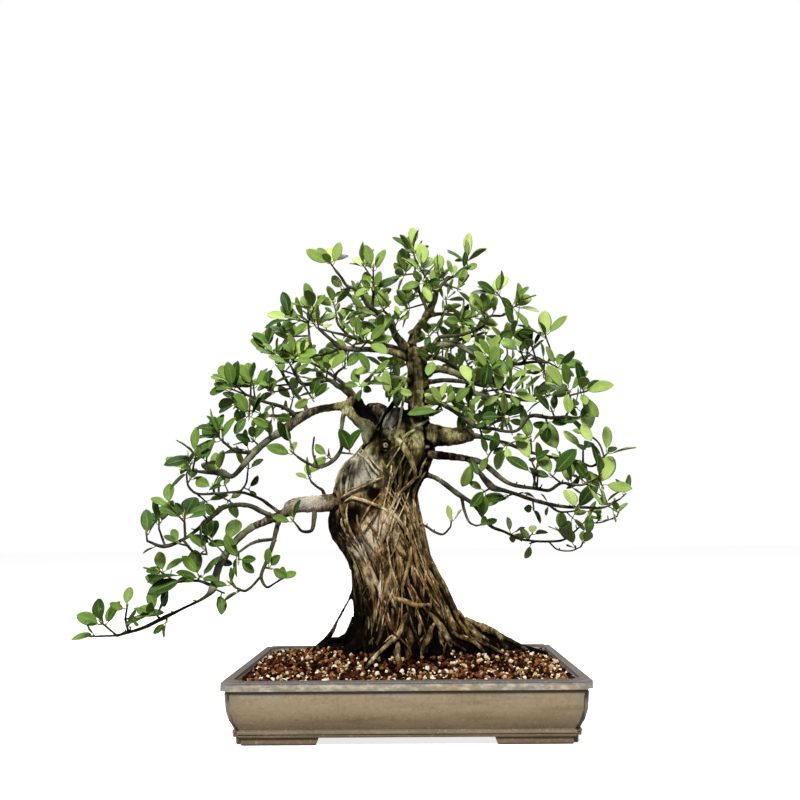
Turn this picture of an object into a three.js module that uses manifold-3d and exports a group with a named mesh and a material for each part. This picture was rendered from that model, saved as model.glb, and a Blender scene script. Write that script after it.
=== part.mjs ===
// Green island ficus bonsai in a rectangular tray with cut-in corners.
// Millimetres, +Z up, +X along the tray. The front of the tree looks along -Y.
import * as THREE from 'three';
import { mergeVertices } from 'three/addons/utils/BufferGeometryUtils.js';
import Module from 'manifold-3d';

const wasm = await Module();
wasm.setup();

// Driving dimensions of the tray
const TRAY_LENGTH = 500;
const TRAY_DEPTH = 345;
const TRAY_HEIGHT = 84;
const CORNER_STEP = 8;
const FOOT_HEIGHT = 10.4;
const FLOOR_TOP = 20;
const FOOT_BAND = 14;
const FOOT_INSET = 19;
const FRONT_FOOT_GAP = 242;
const SIDE_FOOT_GAP = 150;
const FOOT_ROUNDING = 1.2;
const FOOT_OVERLAP = 0.6;
const RIM_FLARE = 0.8;
const INSIDE_TOP = [236, 158];
const INSIDE_FLOOR = [222, 144];
const INSIDE_CHAMFER = 14;
const DRAIN_X = 120;
const DRAIN_RADIUS = 11;
const SCREEN_SIDE = 36;
const SCREEN_THICKNESS = 1.2;
const SCREEN_SLOT = [6, 22, 6];
const SCREEN_SLOT_X = 7;

// Driving dimensions of the soil
const SOIL_EDGE = 78;
const MOUND_HEIGHT = 27;
const MOUND_DEPTH_CENTRE = 25;
const MOUND_DEPTH_SPREAD = 70;
const MOUND_LENGTH_SPREAD = 230;
const MOUND_REACH = 245;
const SOIL_RINGS = [1, 0.8, 0.6, 0.4];

// Driving dimensions of the tree
const TRUNK_DEPTH = 36;
const CORE_SIDES = 16;
const CORE_FLATNESS = 0.8;
const LEAF_LENGTH = 38;
const LEAF_WIDTH = 0.53;
const LEAF_THICKNESS = 1.4;
const LEAF_TRIES = 16;
const LEAF_CLEARANCE = 0.45;
const WIDEST_AT = 0.55;
const BLUNT_SHARE = 0.2;
const LEAF_FOLD = 0.16;
const LEAF_SPACING = 5;
const STALK_LIFT = 2.5;
const TWIG_RADIUS = 2;
const TWIG_SIDES = 3;
const TUFT_REACH = 6;
const LONG_TWIG = 38;
const BUD_LENGTH = 5;
const CURL = 0.11;
const YOUNG_CURL = 0.05;
const OLD_CURL = 0.2;

// Gap between neighbouring pieces, and a little more round the roots in the soil
const GAP = 0.3;
const SOCKET_GAP = 0.4;

// Least volume that two bodies share where they count as touching
const TOUCH_VOLUME = 1e-3;

// Corners of one piece nearer than this are one corner
const WELD = 1e-4;

// The tree was measured from one place in front of it. A way point is [x, z, depth, radius], with x
// and z as they look on the plane through the middle of the tray, seen from that place.
const EYE = new THREE.Vector3(12, -1233, 277);

function seen(x, z, depth) {
  const scale = (depth - EYE.y) / -EYE.y;
  return new THREE.Vector3(EYE.x + (x - EYE.x) * scale, depth, EYE.z + (z - EYE.z) * scale);
}

// Rows up the trunk: height, left edge and right edge as seen from the front
const TRUNK_ROWS = [
  [62, -66, 72], [94, -82, 85], [120, -92, 92], [138, -83, 89], [162, -80, 74], [190, -84, 61],
  [222, -85, 45], [262, -101, 34], [289, -119, 29], [345, -118, 17], [372, -110, 33], [394, -98, 43],
  [412, -78, 54], [444, -57, 48], [478, 2, 40],
];

// Thick wood of the trunk
const THICK_LIMBS = [
  [[-95, 332, 24, 17], [-125, 328, 12, 15.5], [-152, 327, 2, 14.5], [-178, 325, -8, 13.5],
    [-191, 319, -14, 11]],
  [[-48, 412, 22, 17], [-56, 435, 14, 16], [-62, 452, 8, 13], [-76, 461, 0, 9], [-90, 476, -6, 8.5],
    [-100, 489, -9, 9]],
  [[25, 415, 30, 24], [24, 450, 30, 21], [23, 480, 30, 19], [24, 510, 30, 19], [24, 540, 30, 20],
    [21, 562, 30, 19], [13, 580, 30, 14]],
  [[40, 437, 26, 22], [70, 434, 14, 17], [92, 434, 4, 14], [110, 437, -4, 11.5]],
  [[-50, 450, 6, 12], [-58, 472, 2, 13], [-60, 489, 0, 8]],
  [[-8, 426, 4, 9], [-22, 448, -2, 8], [-38, 475, -6, 3]],
  [[-31, 421, 6, 9], [-31, 421, -22, 8]],
  [[-92, 490, -8, 8], [-85, 504, -2, 8], [-98, 513, -10, 6.5]],
];

// Roots and rods that stand clear of the trunk
const FREE_ROOTS = [
  [[-8, 128, -24, 4], [-30, 112, -42, 4], [-45, 101, -52, 3.8], [-57, 87, -60, 3.8], [-70, 68, -68, 3.4]],
  [[-12, 118, -30, 4], [-14, 98, -40, 5], [-16, 84, -44, 5]],
  [[50, 210, 14, 3.4], [60, 191, 12, 3.6], [72, 168, 10, 3.6], [84, 150, 8, 5], [97, 135, 4, 7],
    [112, 122, 0, 7.5], [126, 106, -4, 7], [134, 94, -6, 6]],
  [[97, 134, 6, 7], [122, 130, 14, 6.4], [142, 121, 14, 5], [151, 110, 8, 4.5], [158, 94, 4, 4.5]],
  [[-82, 192, 36, 4], [-92, 174, 34, 2.6], [-101, 158, 30, 2.6], [-110, 142, 26, 3.2], [-117, 128, 22, 4.4],
    [-128, 114, 18, 5.5], [-142, 102, 14, 5.5], [-156, 90, 10, 5]],
  [[-80, 110, 32, 12], [-106, 110, 28, 11], [-126, 106, 22, 9]],
];

// Roots fused to the trunk: seen x, seen z, radius. They lie on its front.
const FRONT_ROOTS = [
  [[4, 158, 6], [-13, 120, 6.5]],
  [[-27, 183, 5], [0, 173, 5.6], [38, 166, 5.4]],
  [[38, 156, 5], [70, 94, 5.6]],
  [[43, 142, 6.5], [22, 84, 7]],
  [[62, 168, 4], [76, 124, 4.4]],
  [[-98, 262, 4.8], [-72, 238, 5.4], [-56, 194, 5]],
  [[9, 254, 3.8], [-5, 188, 3.8]],
  [[-14, 236, 4.4], [-40, 178, 4]],
  [[-50, 192, 3.2], [-44, 124, 3.2]],
  [[-72, 190, 3.4], [-64, 116, 3.4]],
  [[-94, 332, 4.2], [-68, 334, 4.6], [-26, 313, 4]],
  [[-82, 328, 8], [-80, 312, 14], [-82, 294, 8]],
  [[42, 236, 4], [60, 160, 4]],
];

// Roots on the back and round the foot follow a rule
const BACK_ROOTS = 3;
const BACK_STEPS = 2;
const BUTTRESS_ANGLES = [24, 90, 156];
const BUTTRESS_STEPS = [[0.7, 128, 9], [1.02, 110, 7.5], [1.3, 99, 6], [1.55, 84, 4.6]];
const BUTTRESS_LOWEST_ROW = 106;

// Leafy branches. A stem is a list of way points. The first stem starts inside the trunk, and its first
// `hold` points stay with the trunk. A tuft is [seen x, seen z, depth, leaves], where each leaf is the
// direction in which it points, in degrees seen from the front, with y for a young upright leaf, o for an
// old drooping one, L for large, S for small and n for one seen edge on.
const SPRAYS = [
  { name: 'spray_left_tail', hold: 4, stems: [
    [[-184, 318, -11, 11], [-203, 309, -18, 8.5], [-228, 299, -26, 7.5], [-250, 289, -33, 7],
      [-277, 264, -43, 7],
      [-299, 228, -52, 7.5], [-307, 196, -57, 7.4], [-318, 183, -60, 3.6], [-352, 166, -66, 2.8],
      [-388, 149, -72, 4.2], [-416, 136, -76, 3.4], [-456, 125, -82, 2.8]],
    [[-307, 200, -57, 3.4], [-332, 208, -66, 2.8], [-366, 206, -74, 2.4]],
    [[-438, 130, -79, 2.6], [-444, 150, -96, 2.2]]],
  tufts: [
    [-478, 142, -95, '155y 138o 80y 60'], [-492, 124, -88, '180y'], [-435, 136, -62, '95oS'],
    [-397, 158, -76, '165y 182 110y 75o 130'],
    [-376, 202, -52, '160y 215 240o 30'], [-390, 222, -84, '115y 55 150 175yL'],
    [-328, 214, -84, '120y 100L 60 140'], [-354, 214, -104, '168oL 190oL'],
    [-283, 266, -58, '90yL 165']] },
  { name: 'spray_left_arc', hold: 2, stems: [
    [[-206, 306, -19, 5], [-225, 313, -30, 5.4], [-255, 326, -48, 5], [-290, 324, -66, 4.3],
      [-318, 303, -78, 4.2],
      [-347, 279, -88, 3.4], [-372, 266, -94, 3.6], [-390, 262, -97, 4], [-415, 271, -101, 2.4]],
    [[-357, 272, -91, 2.8], [-338, 252, -94, 2.6], [-318, 249, -96, 2.2]],
    [[-386, 263, -96, 2.6], [-397, 290, -88, 2.2]],
    [[-354, 274, -90, 2.8], [-356, 300, -100, 2.4]]],
  tufts: [
    [-312, 270, -70, '110 95o 150o'], [-355, 303, -102, '90L 150 160 35 18'], [-383, 328, -112, '105y'],
    [-396, 292, -86, '100 70'],
    [-418, 273, -102, '100 60o'], [-316, 249, -98, '100 150']] },
  { name: 'spray_left_wire', hold: 2, stems: [
    [[-200, 312, -14, 5], [-214, 322, 2, 4], [-236, 337, 20, 3.4], [-266, 347, 38, 3.2], [-300, 346, 58, 3],
      [-338, 346, 80, 3], [-352, 358, 87, 2.8], [-356, 378, 91, 2.4]],
    [[-268, 347, 39, 2.6], [-258, 362, 30, 2.4], [-256, 378, 24, 2.2]]],
  tufts: [
    [-302, 378, 80, '80y 112y 262y 150y'], [-257, 384, 22, '50S 120'],
    [-350, 392, 96, '150 60 110S'], [-324, 334, 112, '240 20 320']] },
  { name: 'spray_left_down', hold: 2, stems: [
    [[-201, 307, -17, 6], [-206, 292, -27, 5.2], [-212, 266, -40, 4.4], [-220, 242, -52, 3.8],
      [-230, 214, -62, 3.2], [-221, 197, -66, 2.6], [-207, 204, -64, 2]],
    [[-211, 272, -38, 3.6], [-243, 267, -54, 3.2], [-267, 252, -66, 2.6]],
    [[-230, 214, -62, 3], [-254, 192, -71, 2.8], [-271, 197, -79, 2.4]]],
  tufts: [
    [-269, 249, -70, '262y 5S 140'], [-272, 199, -81, '95S 170S'], [-217, 226, -68, '95S 330S']] },
  { name: 'spray_left_over', hold: 2, stems: [
    [[-130, 334, 10, 5], [-133, 348, 4, 3.6], [-143, 355, -4, 3], [-152, 363, -11, 2.6]]],
  tufts: [[-153, 365, -13, '110y 60 150S']] },
  { name: 'spray_left_outer', hold: 6, stems: [
    [[-98, 488, -9, 9], [-118, 485, -16, 7.8], [-140, 482, -26, 7.6], [-160, 474, -36, 8.6],
      [-180, 462, -46, 9],
      [-199, 447, -56, 8.5], [-215, 438, -64, 7], [-232, 425, -74, 6.6], [-250, 408, -84, 7.4],
      [-270, 383, -96, 5], [-282, 373, -102, 4.6], [-300, 379, -110, 6.4], [-332, 381, -122, 3.4],
      [-346, 383, -128, 2.6]],
    [[-248, 411, -83, 4], [-275, 414, -110, 3.2], [-298, 430, -134, 2.6]]],
  tufts: [
    [-352, 386, -132, '165 150y 210'], [-342, 408, -150, '100y 190o 125o'],
    [-300, 433, -138, '140L 178L 85 110yL 70 245L'], [-254, 414, -62, '100 130o']] },
  { name: 'spray_left_fan', hold: 2, stems: [
    [[-178, 463, -46, 6], [-186, 478, -58, 4.6], [-205, 488, -74, 4], [-232, 496, -92, 3.4],
      [-262, 508, -110, 2.8]]],
  tufts: [
    [-256, 474, -120, '140y 120 60 70o 165'], [-285, 517, -128, '140yL 100 185 85o'],
    [-250, 522, -92, '130y 115 75 165'], [-215, 471, -100, '250 290o 200S']] },
  { name: 'spray_left_rise', hold: 2, stems: [
    [[-158, 474, -34, 6], [-166, 491, -22, 4.6], [-182, 512, -6, 4], [-198, 536, 10, 3.6],
      [-210, 562, 26, 3]]],
  tufts: [
    [-222, 522, -22, '100o 150 40'], [-226, 583, 34, '120 145y 100o 330'],
    [-192, 602, 22, '95 120 150 40']] },
  { name: 'spray_hang_down', hold: 2, stems: [
    [[-97, 486, -9, 7], [-101, 466, -18, 5], [-104, 438, -28, 4.2], [-103, 418, -36, 4.2],
      [-112, 402, -46, 4.4],
      [-126, 391, -56, 4.4], [-141, 387, -64, 3.8], [-160, 394, -78, 3], [-175, 404, -88, 2.6]],
    [[-142, 387, -65, 2.8], [-150, 412, -72, 2.4], [-148, 436, -76, 2]]],
  tufts: [
    [-177, 407, -92, '112yL 160'], [-90, 408, -52, '68o 112o']] },
  { name: 'spray_mid_tangle', hold: 2, stems: [
    [[-90, 512, -8, 6], [-108, 520, -16, 6], [-124, 531, -25, 4.8], [-145, 527, -38, 4.6],
      [-168, 525, -52, 4.4],
      [-178, 538, -58, 3.6], [-186, 552, -64, 3]],
    [[-116, 524, -19, 3.8], [-112, 542, -12, 3.2], [-98, 553, -6, 2.6]]],
  tufts: [
    [-127, 547, -46, '60y 130 170 30'], [-93, 556, -4, '110 150 60o'], [-152, 500, -66, '90o 60']] },
  { name: 'spray_apex_left', hold: 4, stems: [
    [[8, 576, 30, 12], [-3, 592, 25, 9.5], [-13, 606, 18, 8], [-20, 622, 10, 6.4], [-32, 636, 0, 5.4],
      [-48, 650, -14, 5.2], [-60, 660, -24, 5], [-70, 676, -34, 4.2], [-82, 688, -42, 4],
      [-96, 695, -52, 3.6],
      [-104, 708, -60, 3.2], [-114, 721, -68, 2.8]],
    [[-52, 653, -17, 4], [-50, 680, -30, 3.4], [-50, 704, -44, 2.8]]],
  tufts: [
    [-122, 733, -76, '95yL 150 45o 75'], [-50, 690, -52, '330oL 215 120'], [-50, 722, -56, '120y 110 60']] },
  { name: 'spray_apex_inner', hold: 2, stems: [
    [[-14, 607, 18, 6], [-16, 626, 34, 4], [-22, 638, 46, 3.4], [-32, 648, 56, 2.8]]],
  tufts: [[-33, 651, 40, '180y 95o 150'], [-62, 650, 66, '150o 100']] },
  { name: 'spray_apex_top', hold: 2, stems: [
    [[42, 640, 66, 6], [38, 656, 72, 4.4], [31, 672, 78, 3.8], [25, 694, 85, 3.4], [21, 720, 92, 2.8]]],
  tufts: [
    [3, 712, 82, '190oL 100L 60'], [20, 748, 98, '90y 150 40'], [8, 652, 62, '60 120 240 100']] },
  { name: 'spray_apex_right', hold: 7, stems: [
    [[12, 574, 34, 12], [16, 600, 43, 9], [24, 617, 53, 7.8], [34, 630, 60, 7.6], [45, 644, 66, 7.2],
      [50, 654, 64, 5.6], [55, 668, 58, 4.8], [57, 682, 50, 4.6], [49, 694, 42, 3.2], [38, 708, 34, 2.6]],
    [[57, 680, 51, 3.8], [73, 700, 60, 3.8], [95, 712, 72, 2.8], [111, 723, 80, 2.4]]],
  tufts: [
    [32, 720, 28, '92yL 60 140'], [36, 697, 20, '60o 300y'],
    [62, 712, 58, '150o 165o 138 80 110y'], [109, 734, 88, '90y 145o 45o']] },
  { name: 'spray_apex_side', hold: 2, stems: [
    [[46, 640, 66, 6], [62, 642, 76, 4.4], [76, 641, 84, 4], [92, 637, 92, 3.6], [108, 634, 100, 2.8]]],
  tufts: [
    [72, 668, 96, '20 100'], [98, 630, 76, '90y 120'], [119, 636, 106, '30 90 150o 340']] },
  { name: 'spray_left_crown', hold: 2, stems: [
    [[-30, 578, 14, 5], [-33, 592, 4, 4], [-35, 602, -5, 3.2]]],
  tufts: [[-35, 604, -7, '95 110y 140 152o 80 60o']] },
  { name: 'spray_left_top', hold: 3, stems: [
    [[6, 568, 28, 9], [-25, 579, 16, 7], [-54, 582, 2, 6.2], [-80, 583, -12, 6], [-105, 586, -28, 6],
      [-121, 600, -40, 4.2], [-142, 619, -54, 3]],
    [[-104, 586, -28, 3.6], [-126, 577, -45, 3.2], [-152, 572, -62, 3], [-185, 562, -82, 2.4]],
    [[-151, 572, -61, 3], [-157, 600, -66, 2.8], [-160, 630, -70, 2.4]]],
  tufts: [
    [-142, 622, -58, '95 110y 60'], [-188, 562, -86, '75yL 140 20 350'],
    [-152, 652, -78, '110 95o 130 150 75'],
    [-194, 606, -64, '100 140'], [-192, 640, -88, '95y 200o']] },
  { name: 'spray_left_far', hold: 2, stems: [
    [[2, 574, 40, 6], [-10, 584, 56, 5], [-30, 589, 74, 4.6], [-50, 593, 90, 4.2], [-72, 598, 106, 4.2],
      [-92, 606, 120, 4], [-120, 613, 136, 3.2], [-146, 621, 150, 2.6]],
    [[-92, 606, 120, 3.4], [-110, 628, 126, 3.2], [-114, 652, 130, 2.6]]],
  tufts: [
    [-112, 658, 132, '120 55oL 150'], [-72, 640, 128, '150o 100'], [-150, 624, 154, '110 160y 60']] },
  { name: 'spray_left_mid', hold: 2, stems: [
    [[10, 526, 22, 8], [-6, 531, 2, 6.4], [-24, 533, -20, 5.4], [-42, 530, -44, 4.8], [-60, 524, -68, 3.6]],
    [[-24, 533, -20, 3], [-24, 512, -34, 2.6], [-25, 494, -44, 2.2]]],
  tufts: [
    [-69, 521, -82, '50yL 20o 110'], [-25, 490, -48, '100y 55S']] },
  { name: 'spray_right_upper', hold: 3, stems: [
    [[34, 543, 22, 9], [60, 547, 6, 8], [82, 541, -11, 7.2], [102, 533, -28, 6.6], [125, 531, -48, 6],
      [143, 526, -62, 5.4], [158, 516, -74, 4.6], [167, 508, -84, 3.6]]],
  tufts: [
    [160, 503, -92, '270oL 90'], [112, 520, -66, '100yL 80'], [130, 508, -96, '90o'],
    [178, 506, -92, '40 340']] },
  { name: 'spray_right_mid', hold: 3, stems: [
    [[36, 506, 24, 9], [62, 512, 18, 7.4], [84, 511, 18, 7], [112, 507, 24, 7], [140, 497, 36, 6],
      [160, 502, 48, 5], [182, 497, 60, 4], [204, 492, 72, 3.4], [226, 497, 84, 2.6]]],
  tufts: [
    [105, 484, -4, '90o 70 110 250o 150oS'], [190, 488, 52, '80 200'], [210, 492, 78, '70yL'],
    [236, 500, 92, '200o 150 40']] },
  { name: 'spray_right_dark', hold: 2, stems: [
    [[26, 566, 36, 9], [54, 567, 62, 6.4], [68, 562, 80, 6], [82, 553, 98, 5.4], [100, 543, 116, 4.4],
      [118, 535, 134, 3.4]]],
  tufts: [
    [73, 578, 84, '270S 60'], [57, 610, 84, '70y 110'], [76, 598, 104, '60 40o'],
    [122, 534, 138, '80 120 20 310']] },
  { name: 'spray_right_top', hold: 3, stems: [
    [[14, 572, 34, 11], [40, 582, 34, 8.4], [62, 588, 30, 8], [88, 590, 24, 6.6], [100, 583, 20, 6],
      [118, 572, 14, 6], [135, 562, 8, 5.4], [155, 557, 0, 5], [188, 554, -14, 4.2], [215, 557, -28, 3.2],
      [240, 556, -42, 2.6]]],
  tufts: [
    [195, 576, -32, '90yL'], [172, 584, 18, '130'], [140, 566, -26, '115y 120 30 250o 300'],
    [206, 572, -4, '320oL 80o'], [214, 584, -50, '100o'], [238, 600, -60, '85yL 150oL 50'],
    [253, 548, -52, '60 120 350']] },
  { name: 'spray_right_high', hold: 2, stems: [
    [[46, 583, 33, 6], [60, 601, 22, 4.6], [92, 604, 6, 4.2], [118, 612, -8, 3.6], [134, 620, -16, 3.2],
      [144, 636, -26, 3], [168, 638, -42, 2.8], [180, 649, -50, 2.4]]],
  tufts: [
    [160, 676, -48, '60y 82 135o 315o'], [135, 644, -34, '65yL 120'], [188, 653, -54, '55 100 300 10'],
    [186, 612, -66, '200o 110o 80']] },
  { name: 'spray_right_cross', hold: 2, stems: [
    [[30, 496, 26, 9], [62, 488, 2, 6.4], [80, 478, -14, 6], [108, 457, -36, 5.6], [118, 450, -44, 5.5],
      [140, 447, -60, 4.6], [170, 441, -78, 4], [186, 444, -88, 4.2], [206, 466, -102, 4.8],
      [240, 463, -122, 4.4], [265, 464, -134, 4], [284, 462, -144, 3.4], [296, 469, -150, 2.6]],
    [[264, 465, -133, 3], [274, 482, -142, 2.6], [273, 500, -150, 2.4]],
    [[158, 444, -71, 3], [162, 460, -80, 2.4]]],
  tufts: [
    [163, 465, -82, '30o 95 182oS'], [242, 470, -132, '130o'], [237, 458, -112, '265oS'],
    [272, 503, -152, '130yL 110 270 60 140o'], [294, 505, -168, '60 100o 20 320 80']] },
  { name: 'spray_right_long', hold: 2, stems: [
    [[100, 436, -2, 8], [120, 434, -12, 6.4], [134, 431, -20, 5.6], [152, 426, -31, 5], [172, 420, -43, 4.5],
      [194, 410, -55, 4], [218, 403, -68, 3.6], [242, 398, -79, 4], [264, 395, -89, 4], [284, 390, -99, 3.4],
      [303, 383, -108, 2.8], [323, 398, -118, 2.2]],
    [[242, 398, -79, 2.8], [248, 388, -85, 2.4], [242, 374, -90, 2]]],
  tufts: [
    [137, 403, -44, '110S 60'], [165, 419, -62, '250y 20y 150o'], [252, 404, -98, '110L'],
    [290, 410, -122, '130y 55o'], [301, 435, -128, '90yL 130o'], [327, 402, -122, '80y 18'],
    [122, 454, -34, '60o 120S']] },
  { name: 'spray_right_low', hold: 4, stems: [
    [[42, 405, 20, 10], [70, 402, 8, 9], [98, 398, -4, 7.6], [122, 392, -16, 7], [138, 381, -26, 6.6],
      [152, 368, -38, 6], [170, 356, -50, 5], [190, 351, -62, 4.4], [212, 348, -76, 4.2], [232, 345, -89, 4],
      [252, 356, -104, 3.2], [284, 353, -124, 2.8], [312, 364, -140, 2.2]]],
  tufts: [
    [207, 371, -94, '135oL'], [206, 392, -96, '110yL 45oS'], [238, 368, -112, '60oL 110'],
    [266, 352, -98, '90 110'], [290, 356, -118, '90 120o 30o'], [312, 368, -146, '85oL'],
    [317, 352, -132, '60yL 350']] },
  { name: 'spray_right_spread', hold: 2, stems: [
    [[106, 396, -9, 7], [120, 376, -6, 5], [141, 351, 0, 7.4], [158, 346, 6, 4.6], [180, 339, 14, 4.2],
      [205, 330, 26, 4.4], [235, 322, 42, 4.2], [262, 318, 56, 3.8], [290, 317, 70, 3.4], [318, 317, 82, 2.8],
      [345, 330, 96, 2.2]],
    [[228, 324, 38, 3], [246, 311, 34, 2.6], [268, 311, 32, 2.2]]],
  tufts: [
    [274, 313, 36, '110yL 60oL'], [322, 322, 98, '95 50 120o'], [186, 341, 2, '0oS'], [206, 318, 12, '310oS'],
    [352, 336, 104, '60 120'], [296, 312, 104, '250 320']] },
  { name: 'spray_right_lowest', hold: 3, stems: [
    [[20, 374, 30, 9], [45, 369, 36, 7.6], [62, 359, 42, 7.2], [78, 346, 50, 7.6], [92, 336, 56, 7],
      [106, 327, 62, 6.2], [118, 314, 68, 5.4], [127, 300, 74, 5], [138, 288, 80, 5], [158, 280, 86, 4.6],
      [180, 269, 92, 4], [204, 265, 98, 3.6], [229, 264, 104, 4], [250, 266, 108, 3.4], [266, 276, 112, 2.8],
      [288, 296, 118, 2.2]],
    [[91, 336, 56, 5.4], [95, 314, 50, 4.6], [103, 295, 46, 3.4], [113, 290, 44, 2.8]],
    [[228, 264, 104, 3], [240, 252, 98, 2.6], [262, 249, 91, 2.4], [278, 255, 87, 2.2]],
    [[286, 293, 117, 2.4], [312, 293, 126, 2.2], [338, 302, 134, 2]]],
  tufts: [
    [244, 281, 116, '80 30o'], [282, 258, 86, '75y'], [270, 255, 80, '115L'], [292, 300, 124, '0S 70'],
    [342, 304, 137, '50S 110S']] },
  { name: 'spray_front_loop', hold: 2, stems: [
    [[26, 294, 12, 4], [36, 288, -16, 2.8], [46, 281, -24, 2.6], [60, 277, -32, 2.4], [72, 288, -40, 2.2]]],
  tufts: [[72, 291, -42, '92yS']] },
  { name: 'spray_column_front', hold: 2, stems: [
    [[30, 468, 22, 6], [48, 472, 2, 4], [62, 479, -10, 3.2]]],
  tufts: [[63, 481, -12, '180yL 137y 60S']] },
  { name: 'spray_back_outer_left', hold: 2, stems: [
    [[-92, 486, -4, 7], [-104, 486, 22, 5.6], [-128, 485, 56, 5], [-158, 479, 92, 4.6], [-190, 473, 124, 4],
      [-226, 472, 152, 3.2]]],
  tufts: [
    [-184, 500, 126, '80 140 30'], [-236, 474, 166, '120 60 170 240 300']] },
  { name: 'spray_back_left', hold: 2, stems: [
    [[-86, 502, 0, 7], [-88, 512, 28, 5.6], [-100, 524, 64, 5], [-118, 538, 100, 4.2], [-142, 554, 134, 3.6],
      [-168, 568, 162, 2.8]]],
  tufts: [
    [-126, 560, 122, '70 120 30'], [-168, 572, 172, '130 80 190 240 30']] },
  { name: 'spray_back_middle', hold: 2, stems: [
    [[24, 506, 40, 9], [16, 510, 68, 6], [2, 518, 100, 5.2], [-16, 530, 134, 4.4], [-34, 544, 168, 3.4]]],
  tufts: [
    [-10, 550, 146, '100 50 150'], [-34, 548, 184, '140 80 220 20 290']] },
  { name: 'spray_back_top_left', hold: 2, stems: [
    [[-14, 604, 24, 7], [-18, 618, 56, 5], [-36, 634, 88, 4.2], [-58, 648, 118, 3.6], [-80, 662, 144, 2.8]]],
  tufts: [
    [-50, 668, 120, '80 130 30'], [-80, 664, 156, '150 90 30 230 300']] },
  { name: 'spray_back_top', hold: 2, stems: [
    [[34, 630, 62, 7], [36, 640, 94, 5.4], [44, 655, 122, 4.4], [52, 673, 148, 3.6], [58, 690, 168, 2.8]]],
  tufts: [
    [28, 674, 142, '120 70 160'], [60, 692, 174, '90 140 30 330 220']] },
  { name: 'spray_back_right_high', hold: 2, stems: [
    [[44, 583, 38, 7], [60, 588, 62, 5.8], [82, 594, 92, 5], [106, 600, 122, 4.2], [134, 608, 152, 3.2]]],
  tufts: [
    [100, 620, 122, '80 120 40'], [138, 608, 162, '50 100 350 290 170']] },
  { name: 'spray_back_right', hold: 2, stems: [
    [[30, 524, 44, 9], [46, 526, 72, 6], [72, 528, 104, 5.2], [102, 524, 136, 4.4], [134, 516, 168, 3.4]]],
  tufts: [
    [92, 542, 132, '100 50 150'], [138, 516, 178, '40 90 330 260 150']] },
  { name: 'spray_back_right_low', hold: 2, stems: [
    [[58, 438, 34, 10], [76, 442, 62, 7], [100, 448, 92, 5.6], [130, 454, 124, 4.6], [164, 461, 156, 3.4]]],
  tufts: [
    [116, 472, 120, '100 50 150'], [168, 462, 166, '60 10 110 280 200']] },
  { name: 'spray_back_low', hold: 2, stems: [
    [[24, 430, 60, 10], [22, 438, 92, 6.4], [16, 450, 116, 5.2], [12, 464, 144, 4.2], [14, 480, 172, 3.2]]],
  tufts: [
    [14, 482, 180, '100 60 150 20 300'], [4, 466, 150, '190 130 280']] },
];

// A source of random numbers between 0 and 1, the same on every run
const RANDOM_RANGE = 2 ** 32;

function randomFrom(seed) {
  let state = (seed * 7919 + 17) % RANDOM_RANGE;
  const draw = () => {
    state = (state * 1664525 + 1013904223) % RANDOM_RANGE;
    return state / RANDOM_RANGE;
  };
  draw();
  draw();
  draw();
  return draw;
}

// A closed body through rings of points; a ring of one point is a tip. An end ring with many points is
// closed by a fan round its middle, and a small one by a fan from its first point.
const SMALL_RING = 8;

function loft(rings) {
  const points = [];
  const starts = rings.map((ring) => {
    points.push(...ring);
    return points.length - ring.length;
  });
  const faces = [];
  for (let row = 0; row + 1 < rings.length; row += 1) {
    const [low, high] = [rings[row].length, rings[row + 1].length];
    const sides = Math.max(low, high);
    for (let side = 0; side < sides; side += 1) {
      const next = (side + 1) % sides;
      const a = starts[row] + (low > 1 ? side : 0);
      const b = starts[row] + (low > 1 ? next : 0);
      const c = starts[row + 1] + (high > 1 ? next : 0);
      const d = starts[row + 1] + (high > 1 ? side : 0);
      if (low > 1) faces.push(a, b, c);
      if (high > 1) faces.push(a, c, d);
    }
  }
  const first = rings[0].length;
  const last = rings[rings.length - 1].length;
  const lastStart = starts[rings.length - 1];
  if (first > SMALL_RING) points.push(middle(rings[0]));
  const firstHub = points.length - 1;
  for (let side = 0; side < first && first > SMALL_RING; side += 1) {
    faces.push(firstHub, starts[0] + (side + 1) % first, starts[0] + side);
  }
  for (let side = 1; side + 1 < first && first <= SMALL_RING; side += 1) {
    faces.push(starts[0], starts[0] + side + 1, starts[0] + side);
  }
  if (last > SMALL_RING) points.push(middle(rings[rings.length - 1]));
  const lastHub = points.length - 1;
  for (let side = 0; side < last && last > SMALL_RING; side += 1) {
    faces.push(lastHub, lastStart + side, lastStart + (side + 1) % last);
  }
  for (let side = 1; side + 1 < last && last <= SMALL_RING; side += 1) {
    faces.push(lastStart, lastStart + side, lastStart + side + 1);
  }
  const geometry = new THREE.BufferGeometry();
  geometry.setFromPoints(points);
  geometry.setIndex(facingOut(points, faces));
  return geometry;
}

function middle(ring) {
  const sum = ring.reduce((total, point) => total.add(point), new THREE.Vector3());
  return sum.divideScalar(ring.length);
}

function facingOut(points, faces) {
  let volume = 0;
  for (let face = 0; face < faces.length; face += 3) {
    const [a, b, c] = [points[faces[face]], points[faces[face + 1]], points[faces[face + 2]]];
    volume += a.dot(new THREE.Vector3().crossVectors(b, c));
  }
  return volume > 0 ? faces : faces.reverse();
}

// Solids for cutting and joining
function solid(geometry) {
  const bare = geometry.clone();
  bare.deleteAttribute('normal');
  bare.deleteAttribute('uv');
  const merged = mergeVertices(bare, WELD);
  const mesh = new wasm.Mesh({
    numProp: 3,
    vertProperties: new Float32Array(merged.attributes.position.array),
    triVerts: new Uint32Array(merged.index.array),
  });
  return new wasm.Manifold(mesh);
}

function joined(solids) {
  let queue = solids;
  while (queue.length > 1) {
    const pairs = [];
    for (let index = 0; index < queue.length; index += 2) {
      pairs.push(index + 1 < queue.length ? queue[index].add(queue[index + 1]) : queue[index]);
    }
    queue = pairs;
  }
  return queue[0];
}

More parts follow.
